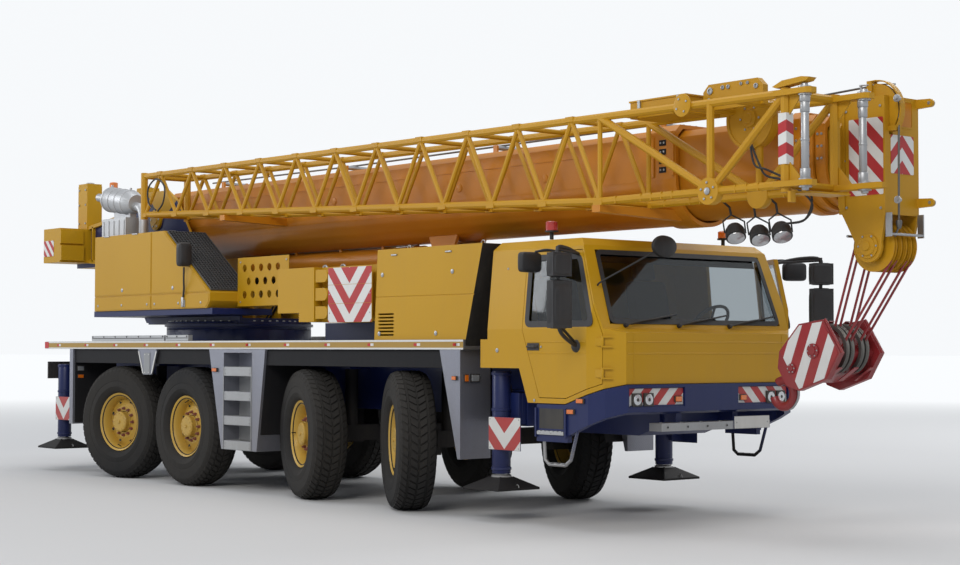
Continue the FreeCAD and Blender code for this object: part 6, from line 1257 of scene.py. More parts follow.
# the far side's stirrup is painted black as painted shade; the near one keeps bare steel
recolour("bumper", black_guards_and_shade, at(1.9, 1.19, 0.50), at(2.7, 1.3, 0.757))
recolour("bumper", bare_steel, at(2.89, -0.71, 0.855), at(3.06, 0.71, 0.94))
# the housing's face towards the cab, in the narrow gap behind it, is painted black as painted shade
recolour("engine_housing", black_seals_and_shade, at(1.05, -1.20, 1.61), at(1.32, 1.20, 2.53))
# Superstructure: turntable, cover, silencer, winch and the operator's cab.

lagging = surface("silencer_lagging", (0.52, 0.53, 0.54), (0.30, 0.30, 0.31), rough=0.42, metallic=0.75, vary=0.8,
                  dirt=0.22, dirt_height=1.0, bump=1.0, bump_scale=26.0)
grate_dark = surface("grate_dark", (0.075, 0.077, 0.08), (0.04, 0.04, 0.042), rough=0.5, vary=0.5, dirt=0.35)
cable_steel = surface("wire_rope", (0.17, 0.165, 0.155), (0.08, 0.075, 0.07), rough=0.45, metallic=0.7, vary=0.8,
                      dirt=0.3, bump=1.0, bump_scale=300.0)
beacon_orange = surface("beacon_orange", (0.80, 0.20, 0.01), (0.55, 0.12, 0.01), rough=0.15, coat=0.9, vary=0.3,
                        dirt=0.05, bump=0.5, bump_scale=120.0)
screen_dark = surface("screen_dark", (0.02, 0.03, 0.035), (0.015, 0.02, 0.022), rough=0.1, coat=0.6, vary=0.2, dirt=0.0)


def add_cover_panels():
    """Door leaves on the cover's side with rounded rims, catches and vents, and the bar grating before it."""
    bm = bmesh.new()
    y = -1.2752
    upper = [(-6.187, 2.222), (-4.800, 2.222), (-4.800, 2.937), (-6.187, 2.937)]
    front = [(-4.772, 2.222), (-3.505, 2.222), (-4.510, 2.937), (-4.772, 2.937)]
    low = [(-6.187, 2.042), (-4.800, 2.042), (-4.800, 2.190), (-6.187, 2.190)]
    toe = [(-4.772, 2.042), (-3.545, 2.042), (-3.478, 2.115), (-3.478, 2.190), (-4.772, 2.190)]
    for outline in (upper, front, low, toe):
        add_panel(bm, [at(x, y, z) for x, z in outline], 0.0045, 0, 0.022)
    for x in (-6.10, -5.50, -4.88, -4.70, -4.15, -3.65):
        add_lathe(bm, ((0.016, 0.0), (0.016, 0.004), (0.010, 0.006), (0.0, 0.0065)), at(x, y - 0.004, 2.095), (0, -1, 0), 16, 1)
    for x in (-5.49, -4.28):
        add_lathe(bm, ((0.024, 0.0), (0.024, 0.004), (0.018, 0.007), (0.0, 0.008)), at(x, y - 0.004, 2.275), (0, -1, 0), 20, 1)
        add_box(bm, at(x - 0.016, y - 0.0125, 2.271), at(x + 0.016, y - 0.004, 2.279), 1)
    for x0 in (-5.95, -5.25):
        add_rod(bm, at(x0, y - 0.003, 2.944), at(x0 + 0.13, y - 0.003, 2.944), 0.010, 10, 1)
    piece("cover_panels", bm, "superstructure", paint_yellow, bare_steel, bevel=0.004)
    bm = bmesh.new()
    start, end = at(-4.472, 0, 2.932), at(-3.488, 0, 2.228)
    run = end - start
    way = run.normalized()
    up = Vector((0, 1, 0)).cross(way).normalized()
    if up.z < 0:
        up = -up
    y0, y1 = -1.245, -0.745
    corners = [start + Vector((0, y0, 0)), end + Vector((0, y0, 0)), end + Vector((0, y1, 0)), start + Vector((0, y1, 0))]
    # a black sheet under the bars is painted shade of the space beneath the grating
    add_prism(bm, [c + up * 0.0005 for c in corners], up * 0.0035, 1)
    for k in range(13):
        y = y0 + (y1 - y0) * k / 12
        a = start + Vector((0, y - 0.003, 0)) + up * 0.004
        add_prism(bm, [a, a + run, a + run + up * 0.020, a + up * 0.020], (0, 0.006, 0), 0)
    for k in range(31):
        a = start + run * (k / 30) + up * 0.004 - way * 0.0025
        low_y, high_y = Vector((0, y0, 0)), Vector((0, y1, 0))
        add_prism(bm, [a + low_y, a + high_y, a + high_y + up * 0.016, a + low_y + up * 0.016], way * 0.005, 0)
    for k in range(16):
        x = -6.10 + 1.50 * k / 15
        add_prism(bm, [at(x, -1.15, 2.9505), at(x + 0.05, -1.15, 2.9505), at(x + 0.02, -1.15, 2.964)], (0, 0.08, 0), 0)
    piece("cover_grating", bm, "superstructure", grate_dark, black_seals_and_shade)


def add_stalk_mirror():
    """Black rounded mirror on a bent stalk beside the cover's front."""
    bm = bmesh.new()
    mirror_head(bm, (-3.91 + AXLE_1_X, -1.345, 2.645), 0.17, 0.275, 0.085)
    add_tube(bm, smooth_path([at(-4.03, -1.288, 2.14), at(-3.99, -1.30, 2.26), at(-3.935, -1.335, 2.36),
                              at(-3.915, -1.345, 2.50)], 5), 0.011, 10, 0)
    add_lathe(bm, ((0.020, 0.0), (0.020, 0.10), (0.014, 0.11)), at(-4.03, -1.290, 2.055), (0, 0, 1), 16, 1)
    add_box(bm, at(-4.07, -1.286, 2.05), at(-3.99, -1.2795, 2.13), 1)
    add_bolts(bm, [at(-4.06, -1.286, 2.065), at(-4.0, -1.286, 2.065)], (0, -1, 0), 0.006, 0.004, 1)
    piece("stalk_mirror", bm, "superstructure", mirror_black, bare_steel, smooth=40.0)


def add_silencer_details():
    """Straps, seams and a tail pipe on the lagged silencer, and ribs on its box."""
    bm = bmesh.new()
    tilt = math.radians(8.0)
    axis = Vector((-math.cos(tilt), 0, math.sin(tilt)))
    nose = at(-5.790, -0.930, 3.366)
    for t in (0.135, 0.30, 0.46, 0.62):
        add_lathe(bm, ((0.1553, 0.0), (0.1615, 0.003), (0.1615, 0.025), (0.1553, 0.028)), nose + axis * t, axis, 40, 0, True)
    for t in (0.15, 0.635):
        add_box(bm, nose + axis * t + Vector((-0.014, -0.012, 0.155)), nose + axis * t + Vector((0.014, 0.012, 0.185)), 0)
    add_lathe(bm, ((0.052, 0.85), (0.052, 0.985), (0.044, 0.985), (0.044, 0.86)), nose, axis, 28, 1, True)
    for k in range(5):
        x = -6.32 + 0.13 * k
        for y0, y1 in ((-1.1085, -1.0995), (-0.7805, -0.7715)):
            add_box(bm, at(x, y0, 2.98), at(x + 0.02, y1, 3.16), 0)
    add_tube(bm, smooth_path([at(-5.80, -0.93, 3.33), at(-5.68, -0.93, 3.30), at(-5.62, -0.93, 3.18),
                              at(-5.62, -0.93, 2.952)], 5), 0.055, 16, 0)
    add_lathe(bm, ((0.085, 0.0), (0.085, 0.012), (0.060, 0.016)), at(-5.62, -0.93, 2.9505), (0, 0, 1), 24, 0)
    add_bolts(bm, [at(-5.62 + 0.07 * math.cos(a), -0.93 + 0.07 * math.sin(a), 2.962) for a in (0.6, 2.2, 3.7, 5.3)],
              (0, 0, 1), 0.008, 0.006, 1)
    piece("silencer_fittings", bm, "superstructure", lagging, bare_steel, bevel=0.0015)


def add_turntable_details():
    """Ring bolts, pin caps, cheek ribs, hoses, the tail's markers and the winch's rope."""
    bm = bmesh.new()
    centre = at(-4.875, 0, 0)
    add_lathe(bm, ((0.8805, 1.835), (0.905, 1.838), (0.905, 1.868), (0.8805, 1.871)), centre, (0, 0, 1), 72, 0, True)
    add_bolts(bm, [centre + Vector((0.845 * math.cos(a), 0.845 * math.sin(a), 1.895))
                   for a in (2 * math.pi * k / 54 for k in range(54))], (0, 0, 1), 0.016, 0.014, 1)
    for sign in (-1, 1):
        cap = at(-6.050, sign * 0.5235, 3.200)
        add_lathe(bm, ((0.135, -0.030), (0.135, -0.006), (0.125, 0.0), (0.060, 0.0), (0.055, 0.010), (0.0, 0.011)), cap,
                  (0, sign, 0), 36, 2)
        add_bolts(bm, [cap + Vector((0.098 * math.cos(a), 0, 0.098 * math.sin(a)))
                       for a in (2 * math.pi * k / 6 for k in range(6))], (0, sign, 0), 0.012, 0.010, 1)
    piece("turntable_fittings", bm, "superstructure", paint_navy, bare_steel, paint_yellow)
    bm = bmesh.new()
    for sign in (-1, 1):
        y0, y1 = sorted((sign * 0.4935, sign * 0.535))
        rail = ((-8.20, 2.745), (-6.95, 2.635), (-6.34, 1.96), (-6.28, 1.99), (-6.92, 2.685), (-8.20, 2.795))
        add_prism(bm, [at(x, y0, z) for x, z in rail], (0, y1 - y0, 0), 0)
        crown = ((-8.20, 3.160), (-6.90, 3.318), (-6.34, 3.546), (-6.32, 3.510), (-6.90, 3.274), (-8.20, 3.115))
        add_prism(bm, [at(x, y0, z) for x, z in crown], (0, y1 - y0, 0), 0)
        for x, z0, z1 in ((-7.72, 2.72, 3.20), (-6.92, 2.66, 3.29)):
            add_box(bm, at(x, y0, z0), at(x + 0.03, y1, z1), 0)
        for x, z, r in ((-7.35, 2.98, 0.12), (-6.55, 2.95, 0.15)):
            add_lathe(bm, ((r, 0.0), (r, 0.010), (r - 0.02, 0.012), (r - 0.025, 0.004), (0.0, 0.003)),
                      at(x, sign * 0.4935, z), (0, sign, 0), 32, 0)
        # steps of the tail box, post caps and their pads
        y2, y3 = sorted((sign * 0.62, sign * 0.9525))
        add_box(bm, at(-7.812, y2, 2.74), at(-7.770, y3, 2.94), 0)
        add_box(bm, at(-7.812, y2, 2.965), at(-7.785, y3, 3.145), 0)
        y4, y5 = sorted((sign * 0.3335, sign * 0.5465))
        add_box(bm, at(-8.086, y4, 3.7605), at(-7.834, y5, 3.785), 0)
        add_lathe(bm, ((0.055, 0.0), (0.055, 0.018), (0.045, 0.022)), at(-7.96, sign * 0.44, 3.785), (0, 0, 1), 24, 1)
        for z in (3.25, 3.50, 3.70):
            add_bolts(bm, [at(-8.05, sign * 0.5505, z), at(-7.87, sign * 0.5505, z)], (0, sign, 0), 0.014, 0.012, 1)
        add_tube(bm, smooth_path([at(-8.29, sign * 0.86, 2.80), at(-8.325, sign * 0.86, 2.84), at(-8.325, sign * 0.86, 3.06),
                                  at(-8.29, sign * 0.86, 3.10)], 4), 0.010, 8, 1)
    piece("tail_ribs", bm, "superstructure", paint_yellow, bare_steel, bevel=0.003)
    bm = bmesh.new()
    for sign in (-1, 1):
        pts = [at(x, sign * 0.9515, z) for x, z in ((-8.275, 2.80), (-7.99, 2.80), (-7.99, 3.01), (-8.275, 3.01))]
        add_panel(bm, pts if sign < 0 else pts[::-1], 0.003, 0, 0.01)
        for x, z in ((-8.26, 2.815), (-8.005, 2.995)):
            add_bolts(bm, [at(x, sign * 0.9545, z)], (0, sign, 0), 0.006, 0.003, 1)
    piece("tail_markers_side", bm, "superstructure", slant_finish("tail_stripes_side", (1.0, 0.0, 1.0), 0.15), bare_steel)
    bm = bmesh.new()
    for y0, y1 in ((-0.93, -0.66), (0.66, 0.93)):
        add_panel(bm, [at(-8.2915, y, z) for y, z in ((y0, 2.74), (y0, 3.15), (y1, 3.15), (y1, 2.74))], 0.003, 0, 0.01)
    piece("tail_markers_back", bm, "superstructure", chevron_finish("tail_stripes_back", 0.0, "Y", 0.17, 0.03))
    bm = bmesh.new()
    drum = at(-7.300, 0, 3.050)
    profile = [(0.2405, -0.300)]
    for k in range(25):
        y = -0.300 + 0.024 * k
        profile += [(0.2405, y), (0.2575, y + 0.005), (0.2625, y + 0.012), (0.2575, y + 0.019)]
    profile.append((0.2405, 0.300))
    add_lathe(bm, profile, drum, (0, 1, 0), 40, 0)
    add_tube(bm, smooth_path([drum + Vector((-0.02, 0.05, 0.252)), drum + Vector((0.30, 0.04, 0.315)),
                              drum + Vector((0.80, 0.02, 0.480))], 4), 0.010, 8, 0)
    piece("winch_rope", bm, "superstructure", cable_steel)
    bm = bmesh.new()
    for sign in (-1, 1):
        add_bolts(bm, [drum + Vector((0.285 * math.cos(a), sign * 0.3305, 0.285 * math.sin(a)))
                       for a in (2 * math.pi * k / 12 for k in range(12))], (0, sign, 0), 0.013, 0.012, 0)
    for k in range(5):
        y = 0.10 + 0.045 * k
        add_tube(bm, smooth_path([at(-4.42, y, 1.94), at(-4.25, y, 2.12), at(-4.31, y + 0.02, 2.36),
                                  at(-4.60, y + 0.03, 2.44), at(-4.95, y + 0.03, 2.30), at(-5.20, y + 0.02, 1.96)], 5),
                 0.013, 8, 1)
    piece("turntable_hoses", bm, "superstructure", bare_steel, hose_black)


def add_beacon(name, where, base, radius, height, finish, body):
    """A warning beacon on its stem: base ring, ribbed dome."""
    bm = bmesh.new()
    add_lathe(bm, ((0.018, -base), (0.018, 0.0), (radius * 1.1, 0.002), (radius * 1.1, 0.018)), where, (0, 0, 1), 28, 1)
    profile = [(radius, 0.018)]
    for k in range(5):
        t = 0.018 + (height - 0.03) * (k + 1) / 5
        profile += [(radius * 0.985, t - 0.006), (radius, t)]
    profile += [(radius * 0.8, height - 0.004), (radius * 0.4, height), (0.0, height + 0.001)]
    add_lathe(bm, profile, where, (0, 0, 1), 28, 0)
    piece(name, bm, body, finish, black_seals_and_shade)


def add_crane_cab():
    """Window seals, rails, roof rack, screen wiper and the operator's place."""
    bm = bmesh.new()
    y = 1.2253
    add_frame_strip(bm, [at(-4.995, y, 2.495), at(-4.995, y, 3.305), at(-4.235, y, 3.305), at(-4.235, y, 2.495)],
                    0.030, 0.004, 0, 0.05)
    for x0, x1, z0, z1, side_y in ((-4.605, -3.495, 2.745, 3.305, 0.5047),):
        add_frame_strip(bm, [at(x0, side_y, z0), at(x1, side_y, z0), at(x1, side_y, z1), at(x0, side_y, z1)], 0.030, 0.004,
                        0, 0.05)
    for (x0, z0), (x1, z1) in (((-3.700, 3.412), (-3.332, 2.902)), ((-3.326, 2.885), (-3.192, 2.312)),
                               ((-3.194, 2.288), (-3.286, 2.035))):
        for y0, y1 in ((0.545, 0.575), (1.155, 1.185)):
            way = Vector((z0 - z1, 0, x1 - x0)).normalized()
            if way.x < 0:
                way = -way
            lift = way * 0.005
            add_prism(bm, [at(x0, y0, z0) + way * 0.0006, at(x1, y0, z1) + way * 0.0006, at(x1, y1, z1) + way * 0.0006,
                           at(x0, y1, z0) + way * 0.0006], lift, 0)
    add_tube(bm, [at(-3.20, 0.86, 2.36), at(-3.225, 0.80, 2.55), at(-3.275, 0.70, 2.78)], 0.007, 8, 0)
    add_tube(bm, [at(-3.24, 0.69, 2.58), at(-3.275, 0.70, 2.78), at(-3.315, 0.71, 2.90)], 0.006, 8, 0)
    for z in (2.35, 3.10):
        add_box(bm, at(-3.56, 1.255, z - 0.05), at(-3.535, 1.268, z + 0.05), 0)
    add_box(bm, at(-4.20, 1.2555, 2.60), at(-4.16, 1.275, 2.78), 0)
    piece_door = bmesh.new()
    add_tube(piece_door, [at(-4.195, 1.256, 2.62), at(-4.195, 1.285, 2.64), at(-4.195, 1.285, 2.80), at(-4.195, 1.256, 2.82)],
             0.010, 8, 0)
    add_frame_strip(piece_door, [at(-4.175, 1.2553, 2.445), at(-4.175, 1.2553, 3.265), at(-3.575, 1.2553, 3.265),
                                 at(-3.575, 1.2553, 2.445)], 0.026, 0.004, 0, 0.04)
    for z in (2.08, 2.24):
        add_frame_strip(piece_door, [at(-4.14, 1.2553, z - 0.06), at(-4.14, 1.2553, z + 0.06), at(-3.61, 1.2553, z + 0.06),
                                     at(-3.61, 1.2553, z - 0.06)], 0.012, 0.003, 1, 0.02)
    piece("crane_door_trim", piece_door, "crane_door", black_seals_and_shade, paint_yellow)
    for x in (-4.85, -4.40, -3.95):
        add_rod(bm, at(x, 0.60, 3.4405), at(x, 0.60, 3.475), 0.010, 10, 1)
        add_rod(bm, at(x, 1.13, 3.4405), at(x, 1.13, 3.475), 0.010, 10, 1)
        add_rod(bm, at(x, 0.60, 3.480), at(x, 1.13, 3.480), 0.011, 10, 1)
    for y in (0.60, 1.13):
        add_rod(bm, at(-4.95, y, 3.480), at(-3.80, y, 3.480), 0.011, 10, 1)
    add_tube(bm, smooth_path([at(-5.06, 1.10, 2.30), at(-5.10, 1.10, 2.34), at(-5.10, 1.10, 3.05), at(-5.06, 1.10, 3.10)], 4),
             0.011, 8, 1)
    for z in (2.10, 2.30, 2.50):
        add_rod(bm, at(-5.074, 0.62, z), at(-5.074, 0.95, z), 0.009, 8, 1)
    piece("crane_cab_trim", bm, "superstructure", black_seals_and_shade, bare_steel, smooth=40.0)
    bm = bmesh.new()
    add_box(bm, at(-4.1745, 1.240, 2.4455), at(-3.5755, 1.246, 3.2645), 0)
    piece("crane_door_pane", bm, "crane_door", window_glass)
    bm = bmesh.new()
    middle = 0.865
    for sign in (-1, 1):
        y0, y1 = sorted((middle + sign * 0.252, middle + sign * 0.298))
        add_box(bm, at(-4.60, y0, 1.945), at(-4.15, y1, 2.50), 0)
        add_box(bm, at(-4.58, y0 - 0.012, 2.50), at(-4.13, y1 + 0.012, 2.56), 0)
        foot = at(-4.24, (y0 + y1) / 2, 2.56)
        add_lathe(bm, ((0.030, 0.0), (0.026, 0.02), (0.012, 0.035), (0.009, 0.12), (0.020, 0.135), (0.022, 0.17),
                       (0.0, 0.185)), foot, (0.1, 0, 1), 16, 0)
        for k in range(4):
            add_lathe(bm, ((0.010, 0.0), (0.010, 0.008)), at(-4.34 - 0.05 * k, (y0 + y1) / 2, 2.56), (0, 0, 1), 12, 2)
    add_box(bm, at(-4.64, middle - 0.16, 1.945), at(-4.36, middle + 0.16, 2.28), 0)
    add_box(bm, at(-4.66, middle - 0.20, 2.28), at(-4.30, middle + 0.20, 2.345), 0)
    panel = [at(x, 0.60, z) for x, z in ((-3.48, 2.48), (-3.38, 2.52), (-3.44, 2.76), (-3.54, 2.74))]
    add_prism(bm, panel, (0, 0.26, 0), 0)
    add_prism(bm, [at(-3.5425, 0.62, 2.515), at(-3.5525, 0.62, 2.72), at(-3.5555, 0.62, 2.72), at(-3.5465, 0.62, 2.515)],
              (0, 0.22, 0), 1)
    add_rod(bm, at(-3.45, 0.73, 1.95), at(-3.45, 0.73, 2.50), 0.022, 12, 0)
    for y in (0.74, 0.99):
        add_prism(bm, [at(-3.52, y, 1.96), at(-3.40, y, 2.06), at(-3.385, y, 2.05), at(-3.50, y, 1.95)], (0, 0.10, 0), 0)
    piece("crane_cab_fittings", bm, "superstructure", dash_grey, screen_dark, lens_red, bevel=0.004,
          replaces=("crane_cab_interior",), slot="seat_fabric")
    seat_form("operator_seat", middle, "superstructure", at(-4.44, middle, 2.415), ())


def add_platform_rails():
    """Step treads and a handrail on the left platform and the right step plate."""
    bm = bmesh.new()
    for x in (-5.56, -5.16):
        add_rod(bm, at(x, 1.14, 2.031), at(x, 1.14, 2.95), 0.014, 12, 0)
        add_lathe(bm, ((0.030, 0.0), (0.030, 0.008), (0.020, 0.012)), at(x, 1.14, 2.0305), (0, 0, 1), 16, 0)
    add_tube(bm, smooth_path([at(-5.56, 1.14, 2.94), at(-5.54, 1.14, 2.985), at(-5.36, 1.14, 3.0), at(-5.18, 1.14, 2.985),
                              at(-5.16, 1.14, 2.94)], 5), 0.014, 12, 0)
    add_rod(bm, at(-5.56, 1.14, 2.50), at(-5.16, 1.14, 2.50), 0.012, 12, 0)
    for k in range(5):
        add_box(bm, at(-5.58 + 0.1 * k, 0.52, 2.0305), at(-5.54 + 0.1 * k, 1.10, 2.036), 1)
    for x in (-3.38, -3.10, -2.82, -2.54):
        add_box(bm, at(x, -0.893, 2.0905), at(x + 0.14, -0.70, 2.096), 1)
    for x, z in ((-3.40, 2.10), (-3.40, 2.55), (-2.46, 2.10), (-2.46, 2.55)):
        add_bolts(bm, [at(x, -0.908, z)], (0, -1, 0), 0.012, 0.008, 2)
    piece("platform_rails", bm, "superstructure", paint_yellow, grate_dark, bare_steel)


add_cover_panels()
add_stalk_mirror()
add_silencer_details()
add_turntable_details()
add_beacon("beacon_tail", at(-7.30, -0.44, 3.66), 0.24, 0.055, 0.11, beacon_orange, "superstructure")
add_crane_cab()
add_platform_rails()
recolour("turntable", paint_yellow, at(-9.0, -1.3, 2.04), at(-3.0, 1.3, 4.0))
recolour("upper_engine_cover", lagging, at(-7.5, -1.3, 2.955), at(-5.5, -0.6, 4.0))
# Boom, fly jib, boom head, hook block and derrick cylinder.


def jib_level(ends, station):
    return ends[0] + (ends[1] - ends[0]) * (station + 5.10) / 9.96


def jib_top(station):
    return jib_level((3.640, 3.545), station)


def jib_foot(station):
    """The jib's lower chord, level before its post."""
    if station > 2.79:
        return 2.840
    return 3.180 + (2.840 - 3.180) * (station + 5.10) / 7.89


def add_boom_details():
    """Collar ribs, adjuster covers, rope guides and pipes on the boom's sections."""
    bm = bmesh.new()
    for sign in (-1, 1):
        y = sign * 0.4162
        for x0 in (2.662, 2.905):
            y0, y1 = sorted((y, y + sign * 0.012))
            add_box(bm, at(x0, y0, 3.10), at(x0 + 0.028, y1, 3.46), 0)
        for k in range(4):
            z = 3.135 + 0.080 * k
            add_box(bm, at(2.750, min(y, y + sign * 0.004), z), at(2.835, max(y, y + sign * 0.004), z + 0.052), 1)
            add_bolts(bm, [at(2.772, y + sign * 0.004, z + 0.026), at(2.813, y + sign * 0.004, z + 0.026)], (0, sign, 0),
                      0.010, 0.008, 2)
        # long weld ribs and pads along the base section
        y = sign * 0.3902
        for x0, x1 in ((-5.30, -3.55), (-3.15, -0.95), (-0.55, 1.65)):
            y0, y1 = sorted((y, y + sign * 0.007))
            add_box(bm, at(x0, y0, 3.355), at(x1, y1, 3.372), 0)
        for x in (-2.30, -0.10, 1.20):
            add_lathe(bm, ((0.042, 0.0), (0.042, 0.006), (0.030, 0.009), (0.0, 0.010)), at(x, y, 3.20), (0, sign, 0), 24, 0)
    for x in (2.70, 2.80, 2.90):
        for y in (-0.26, -0.10, 0.10, 0.26):
            add_bolts(bm, [at(x, y, 3.5562)], (0, 0, 1), 0.014, 0.012, 2)
    piece("boom_collar_fittings", bm, "boom", paint_boom, hole_shade_and_black, bare_steel, bevel=0.002)
    bm = bmesh.new()
    for x in (-5.0, -2.4, 0.2, 2.55):
        for y in (-0.16, 0.16):
            add_box(bm, at(x - 0.03, y - 0.012, 3.531), at(x + 0.03, y + 0.012, 3.625), 0)
        add_rod(bm, at(x, -0.17, 3.600), at(x, 0.17, 3.600), 0.024, 16, 1)
    for k, y in enumerate((0.30, 0.335, 0.355)):
        add_tube(bm, [at(-5.5, y, 3.548), at(-0.5, y, 3.548), at(2.60, y, 3.548)], 0.011, 8, 2)
    for x in (-4.2, -3.0, -1.8, -0.6, 0.6, 1.8):
        add_box(bm, at(x, 0.285, 3.5305), at(x + 0.03, 0.375, 3.5635), 0)
    piece("boom_top_guides", bm, "boom", paint_boom, bare_steel, hose_black, bevel=0.0015)
    bm = bmesh.new()
    add_tube(bm, [at(-5.55, 0.02, 3.66), at(-2.4, 0.0, 3.635), at(2.55, -0.05, 3.635), at(2.93, -0.06, 3.640)], 0.010, 8, 0)
    piece("boom_rope", bm, "boom", cable_steel)
    for number, front in ((1, 4.330), (2, 4.440), (3, 4.550)):
        bm = bmesh.new()
        half = 0.390 - 0.028 * number + 0.026
        top = 3.530 - 0.028 * number + 0.026
        for sign in (-1, 1):
            for z in (top - 0.14, top - 0.24, top - 0.34):
                add_bolts(bm, [at(front - 0.035, sign * (half + 0.0002), z), at(front - 0.075, sign * (half + 0.0002), z)],
                          (0, sign, 0), 0.012, 0.009, 1)
        for y in (-0.22, -0.08, 0.08, 0.22):
            add_bolts(bm, [at(front - 0.05, y, top + 0.0002)], (0, 0, 1), 0.012, 0.009, 1)
        piece("collar_bolts_%d" % number, bm, "tele_%d" % number, paint_boom, bare_steel)


def add_jib_details():
    """Silver rods, marked post, plates, pins, the boom-rest pads, hoses and lamps of the fly jib."""
    near, far = -1.180, -0.590
    bm = bmesh.new()
    for x, y in ((5.050, near), (5.135, far)):
        for z0, z1, r in ((2.865, 2.95, 0.040), (2.95, 3.38, 0.0315), (3.16, 3.18, 0.0345), (3.38, 3.46, 0.0365),
                          (3.46, 3.525, 0.042)):
            add_lathe(bm, ((r - 0.002, z0), (r, z0 + 0.003), (r, z1 - 0.003), (r - 0.002, z1)), at(x, y, 0), (0, 0, 1), 24, 0)
    for y, tip in ((near, 5.06), (far, 5.16)):
        for z in (2.840, 3.545):
            add_lathe(bm, ((0.052, 0.0225), (0.052, 0.034), (0.030, 0.036), (0.026, 0.055), (0.0, 0.056)),
                      at(tip - 0.01, y, z), (0, 0, 1), 24, 0)
            add_lathe(bm, ((0.052, 0.0225), (0.052, 0.034), (0.030, 0.036), (0.026, 0.055), (0.0, 0.056)),
                      at(tip - 0.01, y, z), (0, 0, -1), 24, 0)
    piece("jib_rods", bm, "boom", bare_steel)
    bm = bmesh.new()
    add_box(bm, at(4.819, near - 0.041, 2.995), at(4.901, near + 0.041, 3.390), 0)
    piece("jib_post_sleeve", bm, "boom", slant_finish("sleeve_stripes", (-0.35, 0.35, 1.0), 0.175, 0.02))
    bm = bmesh.new()
    # horn plate over the front post, lower cross plate and gusset corners
    horn = [(4.80, 3.585), (5.10, 3.615), (5.13, 3.640), (5.05, 3.652), (4.86, 3.640), (4.76, 3.600)]
    add_prism(bm, [at(x, near - 0.045, z) for x, z in horn], (0, 0.09, 0), 0)
    for z in (2.84, 3.545):
        sign = 1 if z < 3 else -1
        for y in (near, far):
            tri = [at(4.90, y - 0.006, z + sign * 0.02), at(5.03, y - 0.006, z + sign * 0.022),
                   at(4.90, y - 0.006, z + sign * 0.17)]
            add_prism(bm, tri, (0, 0.012, 0), 0)
    add_prism(bm, [at(4.83, near + 0.03, 2.772), at(5.02, near + 0.10, 2.772), at(5.06, far - 0.06, 2.772),
                   at(4.83, far - 0.03, 2.772)], (0, 0, 0.014), 0)
    add_box(bm, at(4.90, near - 0.03, 2.700), at(4.93, near + 0.03, 2.786), 0)
    for y in (near, far):
        sign = -1 if y == near else 1
        gusset = at(4.075, y + sign * 0.0362, 2.840)
        add_bolts(bm, [gusset + Vector((0.07 * math.cos(a), 0, 0.07 * math.sin(a)))
                       for a in (0.4, 1.66, 2.9, 4.2, 5.4)], (0, sign, 0), 0.011, 0.010, 1)
        add_lathe(bm, ((0.030, 0.0), (0.030, 0.012), (0.018, 0.016), (0.0, 0.017)), gusset, (0, sign, 0), 20, 1)
        for x in (3.00, 3.30, 3.42, 3.54, 3.66, 4.35, 4.47, 4.59):
            add_box(bm, at(x, y - 0.0325, 2.8075), at(x + 0.012, y + 0.0325, 2.8725), 0)
        for k in range(12):
            x = -5.10 + 7.89 / 11 * k
            z = jib_foot(x)
            add_box(bm, at(x - 0.055, y - 0.035, z - 0.035), at(x + 0.055, y + 0.035, z + 0.010), 0)
            if k < 11:
                m = x + 7.89 / 22
                add_box(bm, at(m - 0.050, y - 0.035, jib_top(m) - 0.012), at(m + 0.050, y + 0.035, jib_top(m) + 0.034), 0)
    piece("jib_plates", bm, "boom", paint_jib, bare_steel, bevel=0.002)
    bm = bmesh.new()
    # arm plate's pins, box lid and the drum's hub on the far plane
    for x, z, r in ((3.83, 3.700, 0.030), (3.97, 3.715, 0.018), (4.03, 3.715, 0.018), (4.17, 3.725, 0.014), (4.24, 3.725, 0.014),
                    (4.33, 3.690, 0.022), (3.82, 3.620, 0.022)):
        for sign in (-1, 1):
            add_lathe(bm, ((r, 0.0), (r, 0.010), (r * 0.6, 0.012), (r * 0.6, 0.004), (0.0, 0.004)),
                      at(x, -0.885 + sign * 0.0302, z), (0, sign, 0), 20, 1)
    for sign in (-1, 1):
        face = -0.590 + sign * 0.0362
        drum = at(4.005, face, 3.480)
        add_lathe(bm, ((0.254, 0.0), (0.254, 0.012), (0.228, 0.012), (0.228, 0.003), (0.075, 0.003), (0.070, 0.020),
                       (0.045, 0.022), (0.040, 0.034), (0.0, 0.035)), drum, (0, sign, 0), 48, 0)
        add_bolts(bm, [drum + Vector((0.10 * math.cos(a), sign * 0.003, 0.10 * math.sin(a)))
                       for a in (2 * math.pi * k / 6 for k in range(6))], (0, sign, 0), 0.010, 0.010, 1)
    add_box(bm, at(3.03, -1.070, jib_top(3.04) + 0.108), at(3.70, -0.700, jib_top(3.04) + 0.122), 0)
    for x in (3.14, 3.60):
        add_box(bm, at(x, -1.078, jib_top(3.04) + 0.02), at(x + 0.03, -1.0595, jib_top(3.04) + 0.118), 1)
    for x in (3.70, 3.745):
        add_lathe(bm, ((0.095, 0.0), (0.095, 0.012), (0.080, 0.015), (0.0, 0.016)), at(x + 0.10, -1.2115, 3.56), (0, -1, 0), 28, 0)
        add_bolts(bm, [at(x + 0.10 + 0.06 * math.cos(a), -1.2265, 3.56 + 0.06 * math.sin(a)) for a in (0.5, 2.1, 3.6, 5.2)],
                  (0, -1, 0), 0.010, 0.008, 1)
        break
    piece("jib_arm_fittings", bm, "boom", paint_jib, bare_steel, bevel=0.0015)
    bm = bmesh.new()
